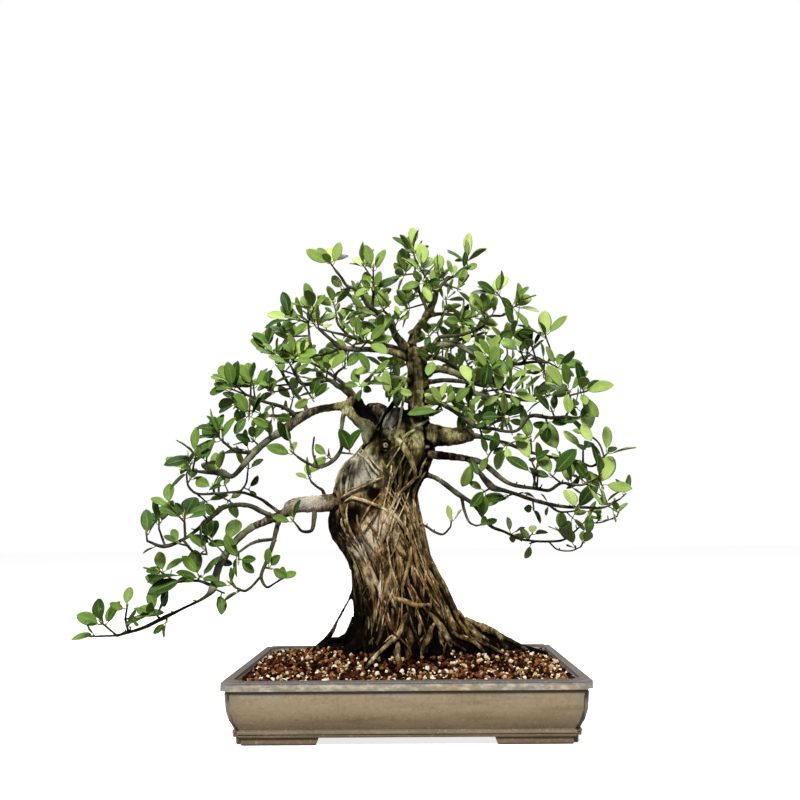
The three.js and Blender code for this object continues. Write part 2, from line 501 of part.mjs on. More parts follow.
function geometryOf(manifold) {
  const { vertProperties, triVerts } = manifold.getMesh();
  const geometry = new THREE.BufferGeometry();
  geometry.setAttribute('position', new THREE.BufferAttribute(new Float32Array(vertProperties), 3));
  geometry.setIndex(new THREE.BufferAttribute(new Uint32Array(triVerts), 1));
  return geometry;
}

// Tray outline with its four corners cut in by a small square step
function trayOutline(inset, z) {
  const x = TRAY_LENGTH / 2 - inset;
  const y = TRAY_DEPTH / 2 - inset;
  const step = CORNER_STEP;
  const quarter = [[x, y - step], [x - step, y - step], [x - step, y]];
  const corners = [
    ...quarter,
    ...quarter.map(([a, b]) => [-a, b]).reverse(),
    ...quarter.map(([a, b]) => [-a, -b]),
    ...quarter.map(([a, b]) => [a, -b]).reverse(),
  ];
  return corners.map(([a, b]) => new THREE.Vector3(a, b, z));
}

// Inside of the tray: a rectangle with small chamfers, with extra points along its sides
function insideOutline([halfX, halfY], shrink, z) {
  const x = halfX - shrink;
  const y = halfY - shrink;
  const chamfer = INSIDE_CHAMFER;
  const quarter = [[x, 0], [x, y * 0.5], [x, y - chamfer], [x - chamfer, y], [x * 0.5, y]];
  const outline = [
    ...quarter,
    [0, y],
    ...quarter.slice(1).reverse().map(([a, b]) => [-a, b]),
    [-x, 0],
    ...quarter.slice(1).map(([a, b]) => [-a, -b]),
    [0, -y],
    ...quarter.slice(1).reverse().map(([a, b]) => [a, -b]),
  ];
  return outline.map(([a, b]) => new THREE.Vector3(a, b, z));
}

// Profile of the tray's outside: height and how far it stands back from the rim
const TRAY_PROFILE = [
  [FOOT_HEIGHT, 16], [13.4, 15], [14.2, 17.2], [15, 14.6], [18.6, 14.6], [19.8, 17], [32, 10.6], [46, 6.6],
  [68, 4.6], [71, 6.4], [72.4, 0], [82.6, 0], [TRAY_HEIGHT, 1.4],
];

function block(x, y, z, sizeX, sizeY, sizeZ) {
  const box = new THREE.BoxGeometry(sizeX, sizeY, sizeZ);
  box.translate(x, y, z);
  return solid(box);
}

// Profile of a foot's end, as it faces the next foot: height and how far back it stands
const FOOT_END = [[-1, 2.4], [0, 2.4], [0.8, 0.8], [2.6, 0], [FOOT_HEIGHT, -2.5]];

// A bar that parts two feet, lying along X or along Y
function footGap(width, along) {
  const shape = new THREE.Shape();
  shape.moveTo(-width / 2 - FOOT_END[0][1], FOOT_END[0][0]);
  FOOT_END.forEach(([z, back]) => shape.lineTo(width / 2 + back, z));
  [...FOOT_END].reverse().slice(0, -1).forEach(([z, back]) => shape.lineTo(-width / 2 - back, z));
  const bar = new THREE.ExtrudeGeometry(shape, { depth: TRAY_LENGTH, bevelEnabled: false });
  bar.translate(0, 0, -TRAY_LENGTH / 2);
  bar.rotateX(Math.PI / 2);
  if (along === 'x') bar.rotateZ(Math.PI / 2);
  return solid(bar);
}

function drainHole(x) {
  const hole = new THREE.CylinderGeometry(DRAIN_RADIUS, DRAIN_RADIUS, FLOOR_TOP, 12);
  hole.rotateX(Math.PI / 2);
  hole.translate(x, 0, FOOT_HEIGHT + FLOOR_TOP / 4);
  return solid(hole);
}

function makeTray() {
  const outside = solid(loft(TRAY_PROFILE.map(([z, inset]) => trayOutline(inset, z))));
  const footOuter = solid(loft([
    trayOutline(FOOT_INSET + FOOT_ROUNDING, 0),
    trayOutline(FOOT_INSET, 2),
    trayOutline(FOOT_INSET, FOOT_HEIGHT + FOOT_OVERLAP),
  ]));
  const footHole = solid(loft([
    trayOutline(FOOT_INSET + FOOT_BAND, -1),
    trayOutline(FOOT_INSET + FOOT_BAND, FOOT_HEIGHT),
  ]));
  const feet = footOuter.subtract(footHole).subtract(footGap(FRONT_FOOT_GAP, 'y'))
    .subtract(footGap(SIDE_FOOT_GAP, 'x'));
  const inside = solid(loft([
    insideOutline(INSIDE_FLOOR, 0, FLOOR_TOP),
    insideOutline(INSIDE_TOP, 0, SOIL_EDGE),
    insideOutline(INSIDE_TOP, -RIM_FLARE, TRAY_HEIGHT + 1),
  ]));
  return outside.add(feet).subtract(inside).subtract(drainHole(-DRAIN_X)).subtract(drainHole(DRAIN_X));
}

// Height of the soil, a long mound round the trunk
function soilHeight(x, y) {
  const edge = 1 - Math.min(1, Math.abs(x) / MOUND_REACH) ** 6;
  const along = edge * Math.exp(-((x / MOUND_LENGTH_SPREAD) ** 4));
  const across = Math.exp(-(((y - MOUND_DEPTH_CENTRE) / MOUND_DEPTH_SPREAD) ** 2));
  return SOIL_EDGE + MOUND_HEIGHT * along * across;
}

function makeSoil(sockets) {
  const edge = insideOutline(INSIDE_TOP, GAP, 0);
  const rings = [insideOutline(INSIDE_FLOOR, GAP, FLOOR_TOP + GAP)];
  for (const share of SOIL_RINGS) {
    rings.push(edge.map((point) => {
      const x = point.x * share;
      const y = point.y * share;
      return new THREE.Vector3(x, y, share === 1 ? SOIL_EDGE : soilHeight(x, y));
    }));
  }
  rings.push([new THREE.Vector3(0, 0, soilHeight(0, 0))]);
  const sideSlack = 2 * GAP;
  const recess = SCREEN_THICKNESS + 3 * GAP;
  const screens = [-DRAIN_X, DRAIN_X].map((x) => block(x, 0, FLOOR_TOP + recess / 2, SCREEN_SIDE + sideSlack,
    SCREEN_SIDE + sideSlack, recess));
  return screens.reduce((soil, screen) => soil.subtract(screen), solid(loft(rings))).subtract(sockets);
}

// A drain screen is a thin plate with two slots, laid over a drain hole
function makeScreen(x) {
  const middleZ = FLOOR_TOP + GAP + SCREEN_THICKNESS / 2;
  const plate = block(x, 0, middleZ, SCREEN_SIDE, SCREEN_SIDE, SCREEN_THICKNESS);
  return plate.subtract(block(x - SCREEN_SLOT_X, 0, middleZ, ...SCREEN_SLOT))
    .subtract(block(x + SCREEN_SLOT_X, 0, middleZ, ...SCREEN_SLOT));
}

// Shape of the trunk at a height seen from the front
function trunkRow(z) {
  const last = TRUNK_ROWS.length - 1;
  let row = TRUNK_ROWS.findIndex(([height]) => height >= z);
  if (row <= 0) row = row === 0 ? 1 : last;
  const [z0, left0, right0] = TRUNK_ROWS[row - 1];
  const [z1, left1, right1] = TRUNK_ROWS[row];
  const share = THREE.MathUtils.clamp((z - z0) / (z1 - z0), 0, 1);
  const left = left0 + (left1 - left0) * share;
  const right = right0 + (right1 - right0) * share;
  const centre = seen((left + right) / 2, z, TRUNK_DEPTH);
  const half = (seen(right, z, TRUNK_DEPTH).x - seen(left, z, TRUNK_DEPTH).x) / 2;
  return { centre, half, deep: Math.max(16, half * CORE_FLATNESS) };
}

// The trunk's core, with shallow flutes that turn as they climb
function trunkCore(grow) {
  const rings = TRUNK_ROWS.map(([z], row) => {
    const { centre, half, deep } = trunkRow(z);
    const ring = [];
    for (let side = 0; side < CORE_SIDES; side += 1) {
      const angle = (side / CORE_SIDES) * Math.PI * 2;
      const flute = 1 + 0.045 * Math.sin(9 * angle + row * 0.8) + 0.03 * Math.sin(5 * angle - row * 0.45);
      const x = centre.x + (half * flute + grow) * Math.cos(angle);
      const y = centre.y + (deep * flute + grow) * Math.sin(angle);
      ring.push(new THREE.Vector3(x, y, centre.z - (row === 0 ? grow : 0)));
    }
    return ring;
  });
  return loft(rings);
}

// A point on the trunk's front or back
function onBark(x, z, radius, facing) {
  const { centre, half, deep } = trunkRow(z);
  const sunk = 0.35 * radius;
  let depth = TRUNK_DEPTH;
  for (let round = 0; round < 3; round += 1) {
    const across = THREE.MathUtils.clamp((seen(x, z, depth).x - centre.x) / half, -0.98, 0.98);
    depth = TRUNK_DEPTH - facing * (deep * Math.sqrt(1 - across * across) - sunk);
  }
  return [x, z, depth, radius];
}

// Rings of a stem are laid out from this direction, which no stem follows
const FIRST_ACROSS = new THREE.Vector3(0.31, 0.17, 0.93);

// Centre, directions and radius of each ring of a stem along its way points
function stemFrames(way) {
  const points = way.map(([x, z, depth]) => seen(x, z, depth));
  let across = FIRST_ACROSS;
  return points.map((centre, index) => {
    const before = points[Math.max(0, index - 1)];
    const after = points[Math.min(points.length - 1, index + 1)];
    const ahead = after.clone().sub(before).normalize();
    across = across.clone().addScaledVector(ahead, -across.dot(ahead)).normalize();
    const other = new THREE.Vector3().crossVectors(ahead, across);
    return { centre, ahead, across, other, radius: way[index][3] };
  });
}

function stemSolid(way, grow = 0) {
  const sides = sidesFor(way);
  const frames = stemFrames(way);
  const ends = [-grow, ...frames.slice(2).map(() => 0), grow];
  const rings = frames.map((frame, index) => (
    ringPoints({ ...frame, radius: frame.radius + grow }, sides, ends[index])));
  return solid(loft(rings));
}

function ringPoints(ring, sides, shift = 0) {
  const points = [];
  for (let side = 0; side < sides; side += 1) {
    const angle = (side / sides) * Math.PI * 2;
    points.push(ring.centre.clone()
      .addScaledVector(ring.ahead, shift)
      .addScaledVector(ring.across, ring.radius * Math.cos(angle))
      .addScaledVector(ring.other, ring.radius * Math.sin(angle)));
  }
  return points;
}

function sidesFor(way) {
  const widest = Math.max(...way.map((point) => point[3]));
  if (widest > 12) return 7;
  if (widest > 6.4) return 5;
  return widest > 3.2 ? 4 : 3;
}

// Roots on the back of the trunk, with a seeded wander
function backRoots() {
  const ways = [];
  for (let index = 0; index < BACK_ROOTS; index += 1) {
    const draw = randomFrom(900 + index);
    const top = 230 + 150 * draw();
    const foot = 84 + 20 * draw();
    const radius = 3 + 3.4 * draw();
    let place = -0.86 + (1.72 * (index + 0.5)) / BACK_ROOTS;
    const way = [];
    for (let step = 0; step <= BACK_STEPS; step += 1) {
      const z = top + ((foot - top) * step) / BACK_STEPS;
      const { centre, half } = trunkRow(z);
      way.push(onBark(centre.x + place * half * 0.92, z, radius, -1));
      place += 0.16 * (draw() - 0.5);
    }
    ways.push(way);
  }
  return ways;
}

// Buttress roots that run down into the soil round the back
function buttressRoots() {
  return BUTTRESS_ANGLES.map((degrees, index) => {
    const draw = randomFrom(700 + index);
    const angle = THREE.MathUtils.degToRad(degrees);
    const way = [];
    for (const [reach, z, radius] of BUTTRESS_STEPS) {
      const { centre, half, deep } = trunkRow(Math.max(BUTTRESS_LOWEST_ROW, z));
      const x = centre.x + Math.cos(angle) * half * reach + 8 * (draw() - 0.5);
      const depth = centre.y + Math.sin(angle) * deep * reach;
      way.push([x, z, depth, radius]);
    }
    return way;
  });
}

// Stem of a branch, parted from the trunk by a thin gap at the last held point
function partedStem(way, hold) {
  const sides = sidesFor(way);
  const frames = stemFrames(way);
  const cut = frames[hold - 1];
  const held = frames.slice(0, hold - 1).map((frame) => ringPoints(frame, sides));
  held.push(ringPoints(cut, sides, -GAP));
  const free = [ringPoints(cut, sides, GAP / 2)];
  free.push(...frames.slice(hold).map((frame) => ringPoints(frame, sides)));
  return { held: solid(loft(held)), free: solid(loft(free)) };
}

// Places along the free part of a spray's stems where a twig can start
const TWIG_SHARES = [0.25, 0.5, 0.75, 1];

function twigPlaces(spray) {
  const places = [];
  spray.stems.forEach((way, index) => {
    const firstFree = index === 0 ? spray.hold - 1 : 0;
    for (let point = firstFree; point + 1 < way.length; point += 1) {
      const [start, end] = [way[point], way[point + 1]].map(([x, z, depth]) => seen(x, z, depth));
      const ahead = end.clone().sub(start).normalize();
      for (const share of TWIG_SHARES) {
        places.push({ point: start.clone().lerp(end, share), ahead,
          radius: way[point][3] + (way[point + 1][3] - way[point][3]) * share });
      }
    }
  });
  return places;
}

// A twig from the nearest place on the stems to the tuft. Its last few short segments carry the leaves,
// at most one on each side of a segment, and it ends in a bud.
function twigRings(places, aim, entries) {
  const nearest = places.reduce((best, place) => (
    place.point.distanceTo(aim) < best.point.distanceTo(aim) ? place : best));
  let hub = aim;
  if (nearest.point.distanceTo(aim) < nearest.radius + TUFT_REACH) {
    const mean = new THREE.Vector3();
    entries.forEach((entry) => mean.add(headingVector(entry.heading, 0)));
    const spur = mean.normalize().addScaledVector(nearest.ahead, 0.4).normalize();
    hub = nearest.point.clone().addScaledVector(spur, nearest.radius + TUFT_REACH);
  }
  const reach = nearest.point.distanceTo(hub);
  const ahead = hub.clone().sub(nearest.point).normalize();
  const bend = nearest.point.clone().lerp(hub, 0.5).addScaledVector(nearest.ahead, reach * 0.12);
  const last = reach > LONG_TWIG ? hub.clone().sub(bend).normalize() : ahead;
  const centres = reach > LONG_TWIG ? [[nearest.point, ahead], [bend, last]] : [[nearest.point, ahead]];
  const leafy = Math.ceil((entries.length + 1) / TWIG_SIDES);
  for (let step = 0; step <= leafy; step += 1) {
    centres.push([hub.clone().addScaledVector(last, (step - 0.5 * leafy) * LEAF_SPACING), last]);
  }
  let across = FIRST_ACROSS;
  const rings = centres.map(([centre, way]) => {
    across = across.clone().addScaledVector(way, -across.dot(way)).normalize();
    const other = new THREE.Vector3().crossVectors(way, across);
    return { centre, ahead: way, across, other, radius: TWIG_RADIUS };
  });
  const bud = rings[rings.length - 1].centre.clone().addScaledVector(last, BUD_LENGTH);
  return { rings, bud, leafyFrom: rings.length - 1 - leafy, leafy };
}

function twigSolid(twig, grow) {
  const rings = twig.rings.map((ring) => ringPoints({ ...ring, radius: ring.radius + grow }, TWIG_SIDES));
  rings.push([twig.bud]);
  return solid(loft(rings));
}

function headingVector(degrees, tilt) {
  const heading = THREE.MathUtils.degToRad(degrees);
  const flat = Math.cos(tilt);
  return new THREE.Vector3(Math.cos(heading) * flat, Math.sin(tilt), Math.sin(heading) * flat);
}

// Directions of one leaf for a try: where it points, its upper face and its size
function leafPose(entry, seed, attempt, hub) {
  const draw = randomFrom(seed * 31 + attempt * 7);
  const letters = entry.letters;
  let length = LEAF_LENGTH * (0.9 + 0.2 * draw());
  if (letters.includes('L')) length *= 1.25;
  if (letters.includes('S')) length *= 0.72;
  const width = length * LEAF_WIDTH * (0.94 + 0.14 * draw());
  const turn = (draw() - 0.5) * (6 + 6 * attempt);
  const lean = (seed + attempt) % 2 === 0 ? 1 : -1;
  const tilt = THREE.MathUtils.degToRad(lean * (8 + (30 + 3 * attempt) * draw()));
  const ahead = headingVector(entry.heading + turn, tilt);
  const outward = new THREE.Vector3(hub.x, hub.y - TRUNK_DEPTH, 0).normalize();
  const face = new THREE.Vector3(0, -0.45, 0.75).addScaledVector(outward, 0.35);
  face.addScaledVector(ahead, -face.dot(ahead));
  if (face.lengthSq() < 0.02) face.copy(outward).addScaledVector(ahead, -outward.dot(ahead));
  face.normalize();
  const roll = THREE.MathUtils.degToRad((draw() - 0.5) * 80 + (letters.includes('n') ? 60 : 0));
  face.applyAxisAngle(ahead, roll);
  const oldCurl = letters.includes('o') ? OLD_CURL : CURL;
  const curl = letters.includes('y') ? YOUNG_CURL : oldCurl;
  return { ahead, face, length, width, curl };
}

// A leaf grows out of one small face of its twig, widens to its middle and ends in a blunt edge. It is
// folded along its rib. The result is its base ring, its widest ring and the two ends of its edge.
function leafShape(pose, base, normal, grow) {
  const { ahead, face, length, width, curl } = pose;
  const side = new THREE.Vector3().crossVectors(ahead, face);
  const root = middle(base).addScaledVector(normal, STALK_LIFT);
  const along = (share) => root.clone().addScaledVector(ahead, length * share)
    .addScaledVector(face, -curl * length * share * share);
  const centre = along(WIDEST_AT);
  const half = width / 2;
  const lift = LEAF_FOLD * half;
  const ring = [
    centre.clone().addScaledVector(side, -half - grow).addScaledVector(face, lift),
    centre.clone().addScaledVector(face, LEAF_THICKNESS / 2 + grow),
    centre.clone().addScaledVector(side, half + grow).addScaledVector(face, lift),
    centre.clone().addScaledVector(face, -LEAF_THICKNESS / 2 - grow),
  ];
  const end = along(1).addScaledVector(ahead, grow);
  const blunt = BLUNT_SHARE * width + grow;
  const edge = [end.clone().addScaledVector(side, -blunt), end.clone().addScaledVector(side, blunt)];
  let turned = base;
  let best = Infinity;
  for (let shift = 0; shift < 4; shift += 1) {
    const order = base.map((point, index) => base[(index + shift) % 4]);
    const stretch = order.reduce((total, point, index) => total + point.distanceToSquared(ring[index]), 0);
    if (stretch < best) [turned, best] = [order, stretch];
  }
  return { base: turned, ring, edge };
}

// Triangles of a leaf, open at its base
function leafTriangles({ base, ring, edge }) {
  const [left, right] = edge;
  const blade = base.flatMap((point, index) => {
    const next = (index + 1) % 4;
    return [point, base[next], ring[next], point, ring[next], ring[index]];
  });
  return [...blade, ring[0], ring[1], left, ring[1], right, left, ring[1], ring[2], right,
    ring[2], ring[3], right, ring[3], left, right, ring[3], ring[0], left];
}

function leafSolid(shape) {
  const [a, b, c, d] = shape.base;
  return solid(soup([...leafTriangles(shape), a, c, b, a, d, c]));
}

// A geometry from loose triangles whose corners are then shared
function soup(corners) {
  const geometry = new THREE.BufferGeometry();
  geometry.setFromPoints(corners);
  return mergeVertices(geometry, WELD);
}

// The faces of a twig that a leaf can grow out of
function leafFaces(twig) {
  const points = twig.rings.map((ring) => ringPoints(ring, TWIG_SIDES));
  const faces = [];
  for (let row = twig.leafyFrom; row < twig.leafyFrom + twig.leafy; row += 1) {
    const { centre, ahead } = twig.rings[row];
    for (let side = 0; side < TWIG_SIDES; side += 1) {
      const next = (side + 1) % TWIG_SIDES;
      const corners = [points[row][side], points[row][next], points[row + 1][next], points[row + 1][side]];
      const normal = middle(corners).sub(centre);
      normal.addScaledVector(ahead, -normal.dot(ahead)).normalize();
      faces.push({ row, side, corners, normal, taken: false });
    }
  }
  return faces;
}

// Twig and leaves as one closed body, each leaf in place of the face it grows out of
function tuftSolid(twig, leaves) {
  const rings = twig.rings.map((ring) => ringPoints(ring, TWIG_SIDES));
  const grown = new Set(leaves.map(({ from }) => `${from.row} ${from.side}`));
  const corners = [];
  for (let row = 0; row + 1 < rings.length; row += 1) {
    for (let side = 0; side < TWIG_SIDES; side += 1) {
      if (grown.has(`${row} ${side}`)) continue;
      const next = (side + 1) % TWIG_SIDES;
      const [a, b, c, d] = [rings[row][side], rings[row][next], rings[row + 1][next], rings[row + 1][side]];
      corners.push(a, b, c, a, c, d);
    }
  }
  const last = rings[rings.length - 1];
  last.forEach((point, side) => corners.push(point, last[(side + 1) % TWIG_SIDES], twig.bud));
  corners.push(rings[0][0], rings[0][2], rings[0][1]);
  leaves.forEach(({ shape }) => corners.push(...leafTriangles(shape)));
  return solid(soup(corners));
}

function leafEntries(text) {
  return text.split(' ').map((word) => ({
    heading: parseInt(word, 10),
    letters: word.replace(/^-?\d+/, ''),
  }));
}

// Pieces placed so far, for keeping the branches clear of each other
const placed = [];

function remember(node, body, twig) {
  placed.push({ node, body, twig, box: body.boundingBox() });
}

function apart(a, b) {
  return [0, 1, 2].some((axis) => a.max[axis] < b.min[axis] || b.max[axis] < a.min[axis]);
}

function isClear(node, body) {
  const box = body.boundingBox();
  return placed.every((other) => other.node === node || apart(box, other.box) || !meets(body, other.body));
}

function meets(a, b) {
  const common = a.intersect(b);
  const volume = common.volume();
  common.delete();
  return volume > TOUCH_VOLUME;
}

// The trunk with its roots and the held ends of the branches
const trunkSolids = [solid(trunkCore(0))];
const socketSolids = [solid(trunkCore(SOCKET_GAP))];

// A root that comes near the soil gets a socket in it
function addRoot(way) {
  trunkSolids.push(stemSolid(way));
  const lowest = Math.min(...way.map(([x, z, depth, radius]) => seen(x, z, depth).z - radius));
  if (lowest < SOIL_EDGE + MOUND_HEIGHT) socketSolids.push(stemSolid(way, SOCKET_GAP));
}

THICK_LIMBS.forEach(addRoot);
FREE_ROOTS.forEach(addRoot);
FRONT_ROOTS.forEach((way) => addRoot(way.map(([x, z, radius]) => onBark(x, z, radius, 1))));
backRoots().forEach(addRoot);
buttressRoots().forEach(addRoot);

const branches = SPRAYS.map((spray) => {
  const stem = partedStem(spray.stems[0], spray.hold);
  trunkSolids.push(stem.held);
  const wood = [stem.free, ...spray.stems.slice(1).map((way) => stemSolid(way))];
  return { name: spray.name, wood };
});
trunkSolids.forEach((body) => remember('trunk', body));
branches.forEach(({ name, wood }) => wood.forEach((body) => remember(name, body)));

// Depth steps that a tuft may take so that its twig passes clear of other branches
const TUFT_STEPS = [0, 9, -9, 18, -18, 28, -28, 40, -40];
const TWIG_CLEARANCE = 0.6;

SPRAYS.forEach((spray, sprayIndex) => {
  const places = twigPlaces(spray);
  branches[sprayIndex].twigs = spray.tufts.map(([x, z, depth, text]) => {
    for (const step of TUFT_STEPS) {
      const twig = twigRings(places, seen(x, z, depth + step), leafEntries(text));
      if (isClear(spray.name, twigSolid(twig, TWIG_CLEARANCE))) {
        remember(spray.name, twigSolid(twig, 0), twig);
        return twig;
      }
    }
    return null;
  });
});

// The free faces of a twig, the one that looks most towards a direction first
function facesToward(faces, direction) {
  return faces.filter(({ taken }) => !taken)
    .sort((a, b) => b.normal.dot(direction) - a.normal.dot(direction));
}

// Whether a leaf leaves its twig outwards, and all faces round its stalk look away from the stalk's middle
function isSound({ base, ring }, normal) {
  const stalk = new THREE.Line3(middle(base), middle(ring));
  if (stalk.delta(new THREE.Vector3()).dot(normal) < STALK_LIFT / 2) return false;
  return base.every((point, index) => {
    const next = (index + 1) % base.length;
    return [[point, base[next], ring[next]], [point, ring[next], ring[index]]].every((corners) => {
      const face = new THREE.Triangle(...corners);
      const centre = middle(corners);
      const inner = stalk.closestPointToPoint(centre, true, new THREE.Vector3());
      return face.getNormal(new THREE.Vector3()).dot(centre.sub(inner)) > 0;
    });
  });
}

// A leaf whose body is clear of its own tuft, and with some room of everything else
function isLeafClear(body, wide, twig) {
  const box = wide.boundingBox();
  return placed.every((other) => (
    apart(box, other.box) || !meets(other.twig === twig ? body : wide, other.body)));
}

// Leaves of one tuft. Each takes the first pose and face of the twig where it is sound and clear.
function growLeaves(spray, twig, text, firstSeed) {
  const faces = leafFaces(twig);
  const leaves = [];
  leafEntries(text).forEach((entry, leafIndex) => {
    for (let attempt = 0; attempt < LEAF_TRIES; attempt += 1) {
      const pose = leafPose(entry, firstSeed + leafIndex, attempt, twig.bud);
      for (const from of facesToward(faces, pose.ahead)) {
        const shape = leafShape(pose, from.corners, from.normal, 0);
        if (!isSound(shape, from.normal)) continue;
        const body = leafSolid(shape);
        const wide = leafSolid(leafShape(pose, from.corners, from.normal, LEAF_CLEARANCE));
        const clear = isLeafClear(body, wide, twig);
        wide.delete();
        if (clear) {
          from.taken = true;
          leaves.push({ from, shape });
          remember(spray.name, body, twig);
          return;
        }
        body.delete();
      }
    }
  });
  return leaves;
}

SPRAYS.forEach((spray, sprayIndex) => {
  const branch = branches[sprayIndex];
  spray.tufts.forEach(([, , , text], tuftIndex) => {
    const twig = branch.twigs[tuftIndex];
    if (!twig) return;
    const leaves = growLeaves(spray, twig, text, sprayIndex * 1000 + tuftIndex * 20);
    branch.wood.push(tuftSolid(twig, leaves));
  });
});

// Colours of the pieces
const LOOKS = {
  tray: { color: 0x8d8272, roughness: 0.85, metalness: 0 },
  soil: { color: 0x5d3f2c, roughness: 1, metalness: 0 },
  screen: { color: 0x23282a, roughness: 0.6, metalness: 0 },
  trunk: { color: 0x8a7a58, roughness: 0.9, metalness: 0 },
  leaf: { color: 0x4f7d24, roughness: 0.38, metalness: 0 },
};

const tree = new THREE.Group();

function place(name, body, look) {
  const mesh = new THREE.Mesh(geometryOf(body), new THREE.MeshStandardMaterial(LOOKS[look]));
  mesh.name = name;
  tree.add(mesh);
}

place('pot', makeTray(), 'tray');
place('soil', makeSoil(joined(socketSolids)), 'soil');
place('drain_screen_left', makeScreen(-DRAIN_X), 'screen');
place('drain_screen_right', makeScreen(DRAIN_X), 'screen');
place('trunk', joined(trunkSolids), 'trunk');
branches.forEach(({ name, wood }) => place(name, joined(wood), 'leaf'));

// The origin is the middle of the bottom of the whole part
const whole = new THREE.Box3().setFromObject(tree);
tree.position.set(-(whole.min.x + whole.max.x) / 2, -(whole.min.y + whole.max.y) / 2, -whole.min.z);

const part = new THREE.Group();
part.add(tree);

export default part;
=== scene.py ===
# Looks of a green island ficus bonsai in a footed tray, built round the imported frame.
# Shapes are worked out in millimetres from the middle of the tray's foot, and placed in metres.
import math

import bmesh
import bpy
import numpy as np
from mathutils import Matrix, Vector, noise
from mathutils.kdtree import KDTree


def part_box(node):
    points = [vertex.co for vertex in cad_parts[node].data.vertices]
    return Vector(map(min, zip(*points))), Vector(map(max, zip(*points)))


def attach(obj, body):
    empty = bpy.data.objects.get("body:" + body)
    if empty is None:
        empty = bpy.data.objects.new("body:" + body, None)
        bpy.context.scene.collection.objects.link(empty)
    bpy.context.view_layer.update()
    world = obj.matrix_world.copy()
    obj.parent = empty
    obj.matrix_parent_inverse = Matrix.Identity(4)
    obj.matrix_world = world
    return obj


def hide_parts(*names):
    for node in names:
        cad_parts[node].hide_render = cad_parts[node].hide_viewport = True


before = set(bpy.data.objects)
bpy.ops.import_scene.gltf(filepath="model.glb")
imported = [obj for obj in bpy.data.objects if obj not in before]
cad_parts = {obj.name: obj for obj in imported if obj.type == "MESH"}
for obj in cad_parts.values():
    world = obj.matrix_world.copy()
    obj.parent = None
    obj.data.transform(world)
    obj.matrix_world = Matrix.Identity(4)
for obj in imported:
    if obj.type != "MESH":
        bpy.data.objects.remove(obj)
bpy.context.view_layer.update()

MM = 0.001
pot_low, pot_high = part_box("pot")
ORIGIN = np.array([(pot_low.x + pot_high.x) / 2, (pot_low.y + pot_high.y) / 2, pot_low.z])

# The tree was measured from one place in front of it. A way point is [x, z, depth, radius], with x
# and z as they look on the plane through the middle of the tray, seen from that place.
EYE = np.array([12.0, -1233.0, 277.0])

# The camera stands at that place and looks FORWARD
LENS_MM = 34.155
FORWARD = Vector((-0.01495034, 0.98451186, 0.17467937))
UPWARD = Vector((0.01259923, -0.17449954, 0.98457665))

# Tray and soil
TRAY_HEIGHT = 84.0
INSIDE_X = 236.0
INSIDE_Y = 158.0
SOIL_EDGE = 78.0
MOUND_HEIGHT = 27.0
MOUND_DEPTH_CENTRE = 25.0
MOUND_DEPTH_SPREAD = 70.0
MOUND_LENGTH_SPREAD = 230.0
MOUND_REACH = 245.0

# Trunk: its middle's depth, its half depth as a share of its half width, and the heights over which its
# outline is smoothed
TRUNK_DEPTH = 36.0
CORE_FLATNESS = 0.8
LEAST_HALF_DEPTH = 16.0
SOFT_STEPS = (-14, -7, 0, 7, 14)
BARK_EDGE = 0.92
DEPTH_ROUNDS = 3

# Leaves and twigs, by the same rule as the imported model
LEAF_LENGTH = 38.0
LARGE_LEAF = 1.25
SMALL_LEAF = 0.72
LEAF_WIDTH = 0.53
LEAF_THICKNESS = 1.4
LEAF_TRIES = 16
WIDEST_AT = 0.55
BLUNT_SHARE = 0.2
LEAF_FOLD = 0.16
LEAF_SPACING = 5.0
STALK_LIFT = 2.5
TWIG_RADIUS = 2.0
TWIG_SIDES = 3
TUFT_REACH = 6.0
LONG_TWIG = 38.0
BUD_LENGTH = 5.0
CURLS = {"y": 0.05, "o": 0.2, "": 0.11}
TUFT_STEPS = [0, 9, -9, 18, -18, 28, -28, 40, -40]
TWIG_SHARES = [0.25, 0.5, 0.75, 1]
FIRST_ACROSS = np.array([0.31, 0.17, 0.93])
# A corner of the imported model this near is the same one, and this many make a leaf the same one
SAME_POINT = 0.15
SAME_MARKS = 5

# Height, left edge and right edge of the trunk, as seen
TRUNK_ROWS = [
    [62, -66, 72], [94, -82, 85], [120, -92, 92], [138, -83, 89], [162, -80, 74], [190, -84, 61],
    [222, -85, 45], [262, -101, 34], [289, -119, 29], [345, -118, 17], [372, -110, 33], [394, -98, 43],
    [412, -78, 54], [444, -57, 48], [478, 2, 40],
]

# Thick limbs and cut stubs, each a way of [x, z, depth, radius]
THICK_LIMBS = [
    [[-95, 332, 24, 17], [-125, 328, 12, 15.5], [-152, 327, 2, 14.5], [-178, 325, -8, 13.5],
     [-191, 319, -14, 11]],
    [[-48, 412, 22, 17], [-56, 435, 14, 16], [-62, 452, 8, 13], [-76, 461, 0, 9], [-90, 476, -6, 8.5],
     [-100, 489, -9, 9]],
    [[25, 415, 30, 24], [24, 450, 30, 21], [23, 480, 30, 19], [24, 510, 30, 19], [24, 540, 30, 20],
     [21, 562, 30, 19], [13, 580, 30, 14]],
    [[40, 437, 26, 22], [70, 434, 14, 17], [92, 434, 4, 14], [110, 437, -4, 11.5]],
    [[-50, 450, 6, 12], [-58, 472, 2, 13], [-60, 489, 0, 8]],
    [[-8, 426, 4, 9], [-22, 448, -2, 8], [-38, 475, -6, 3]],
    [[-31, 421, 6, 9], [-31, 421, -22, 8]],
    [[-92, 490, -8, 8], [-85, 504, -2, 8], [-98, 513, -10, 6.5]],
]

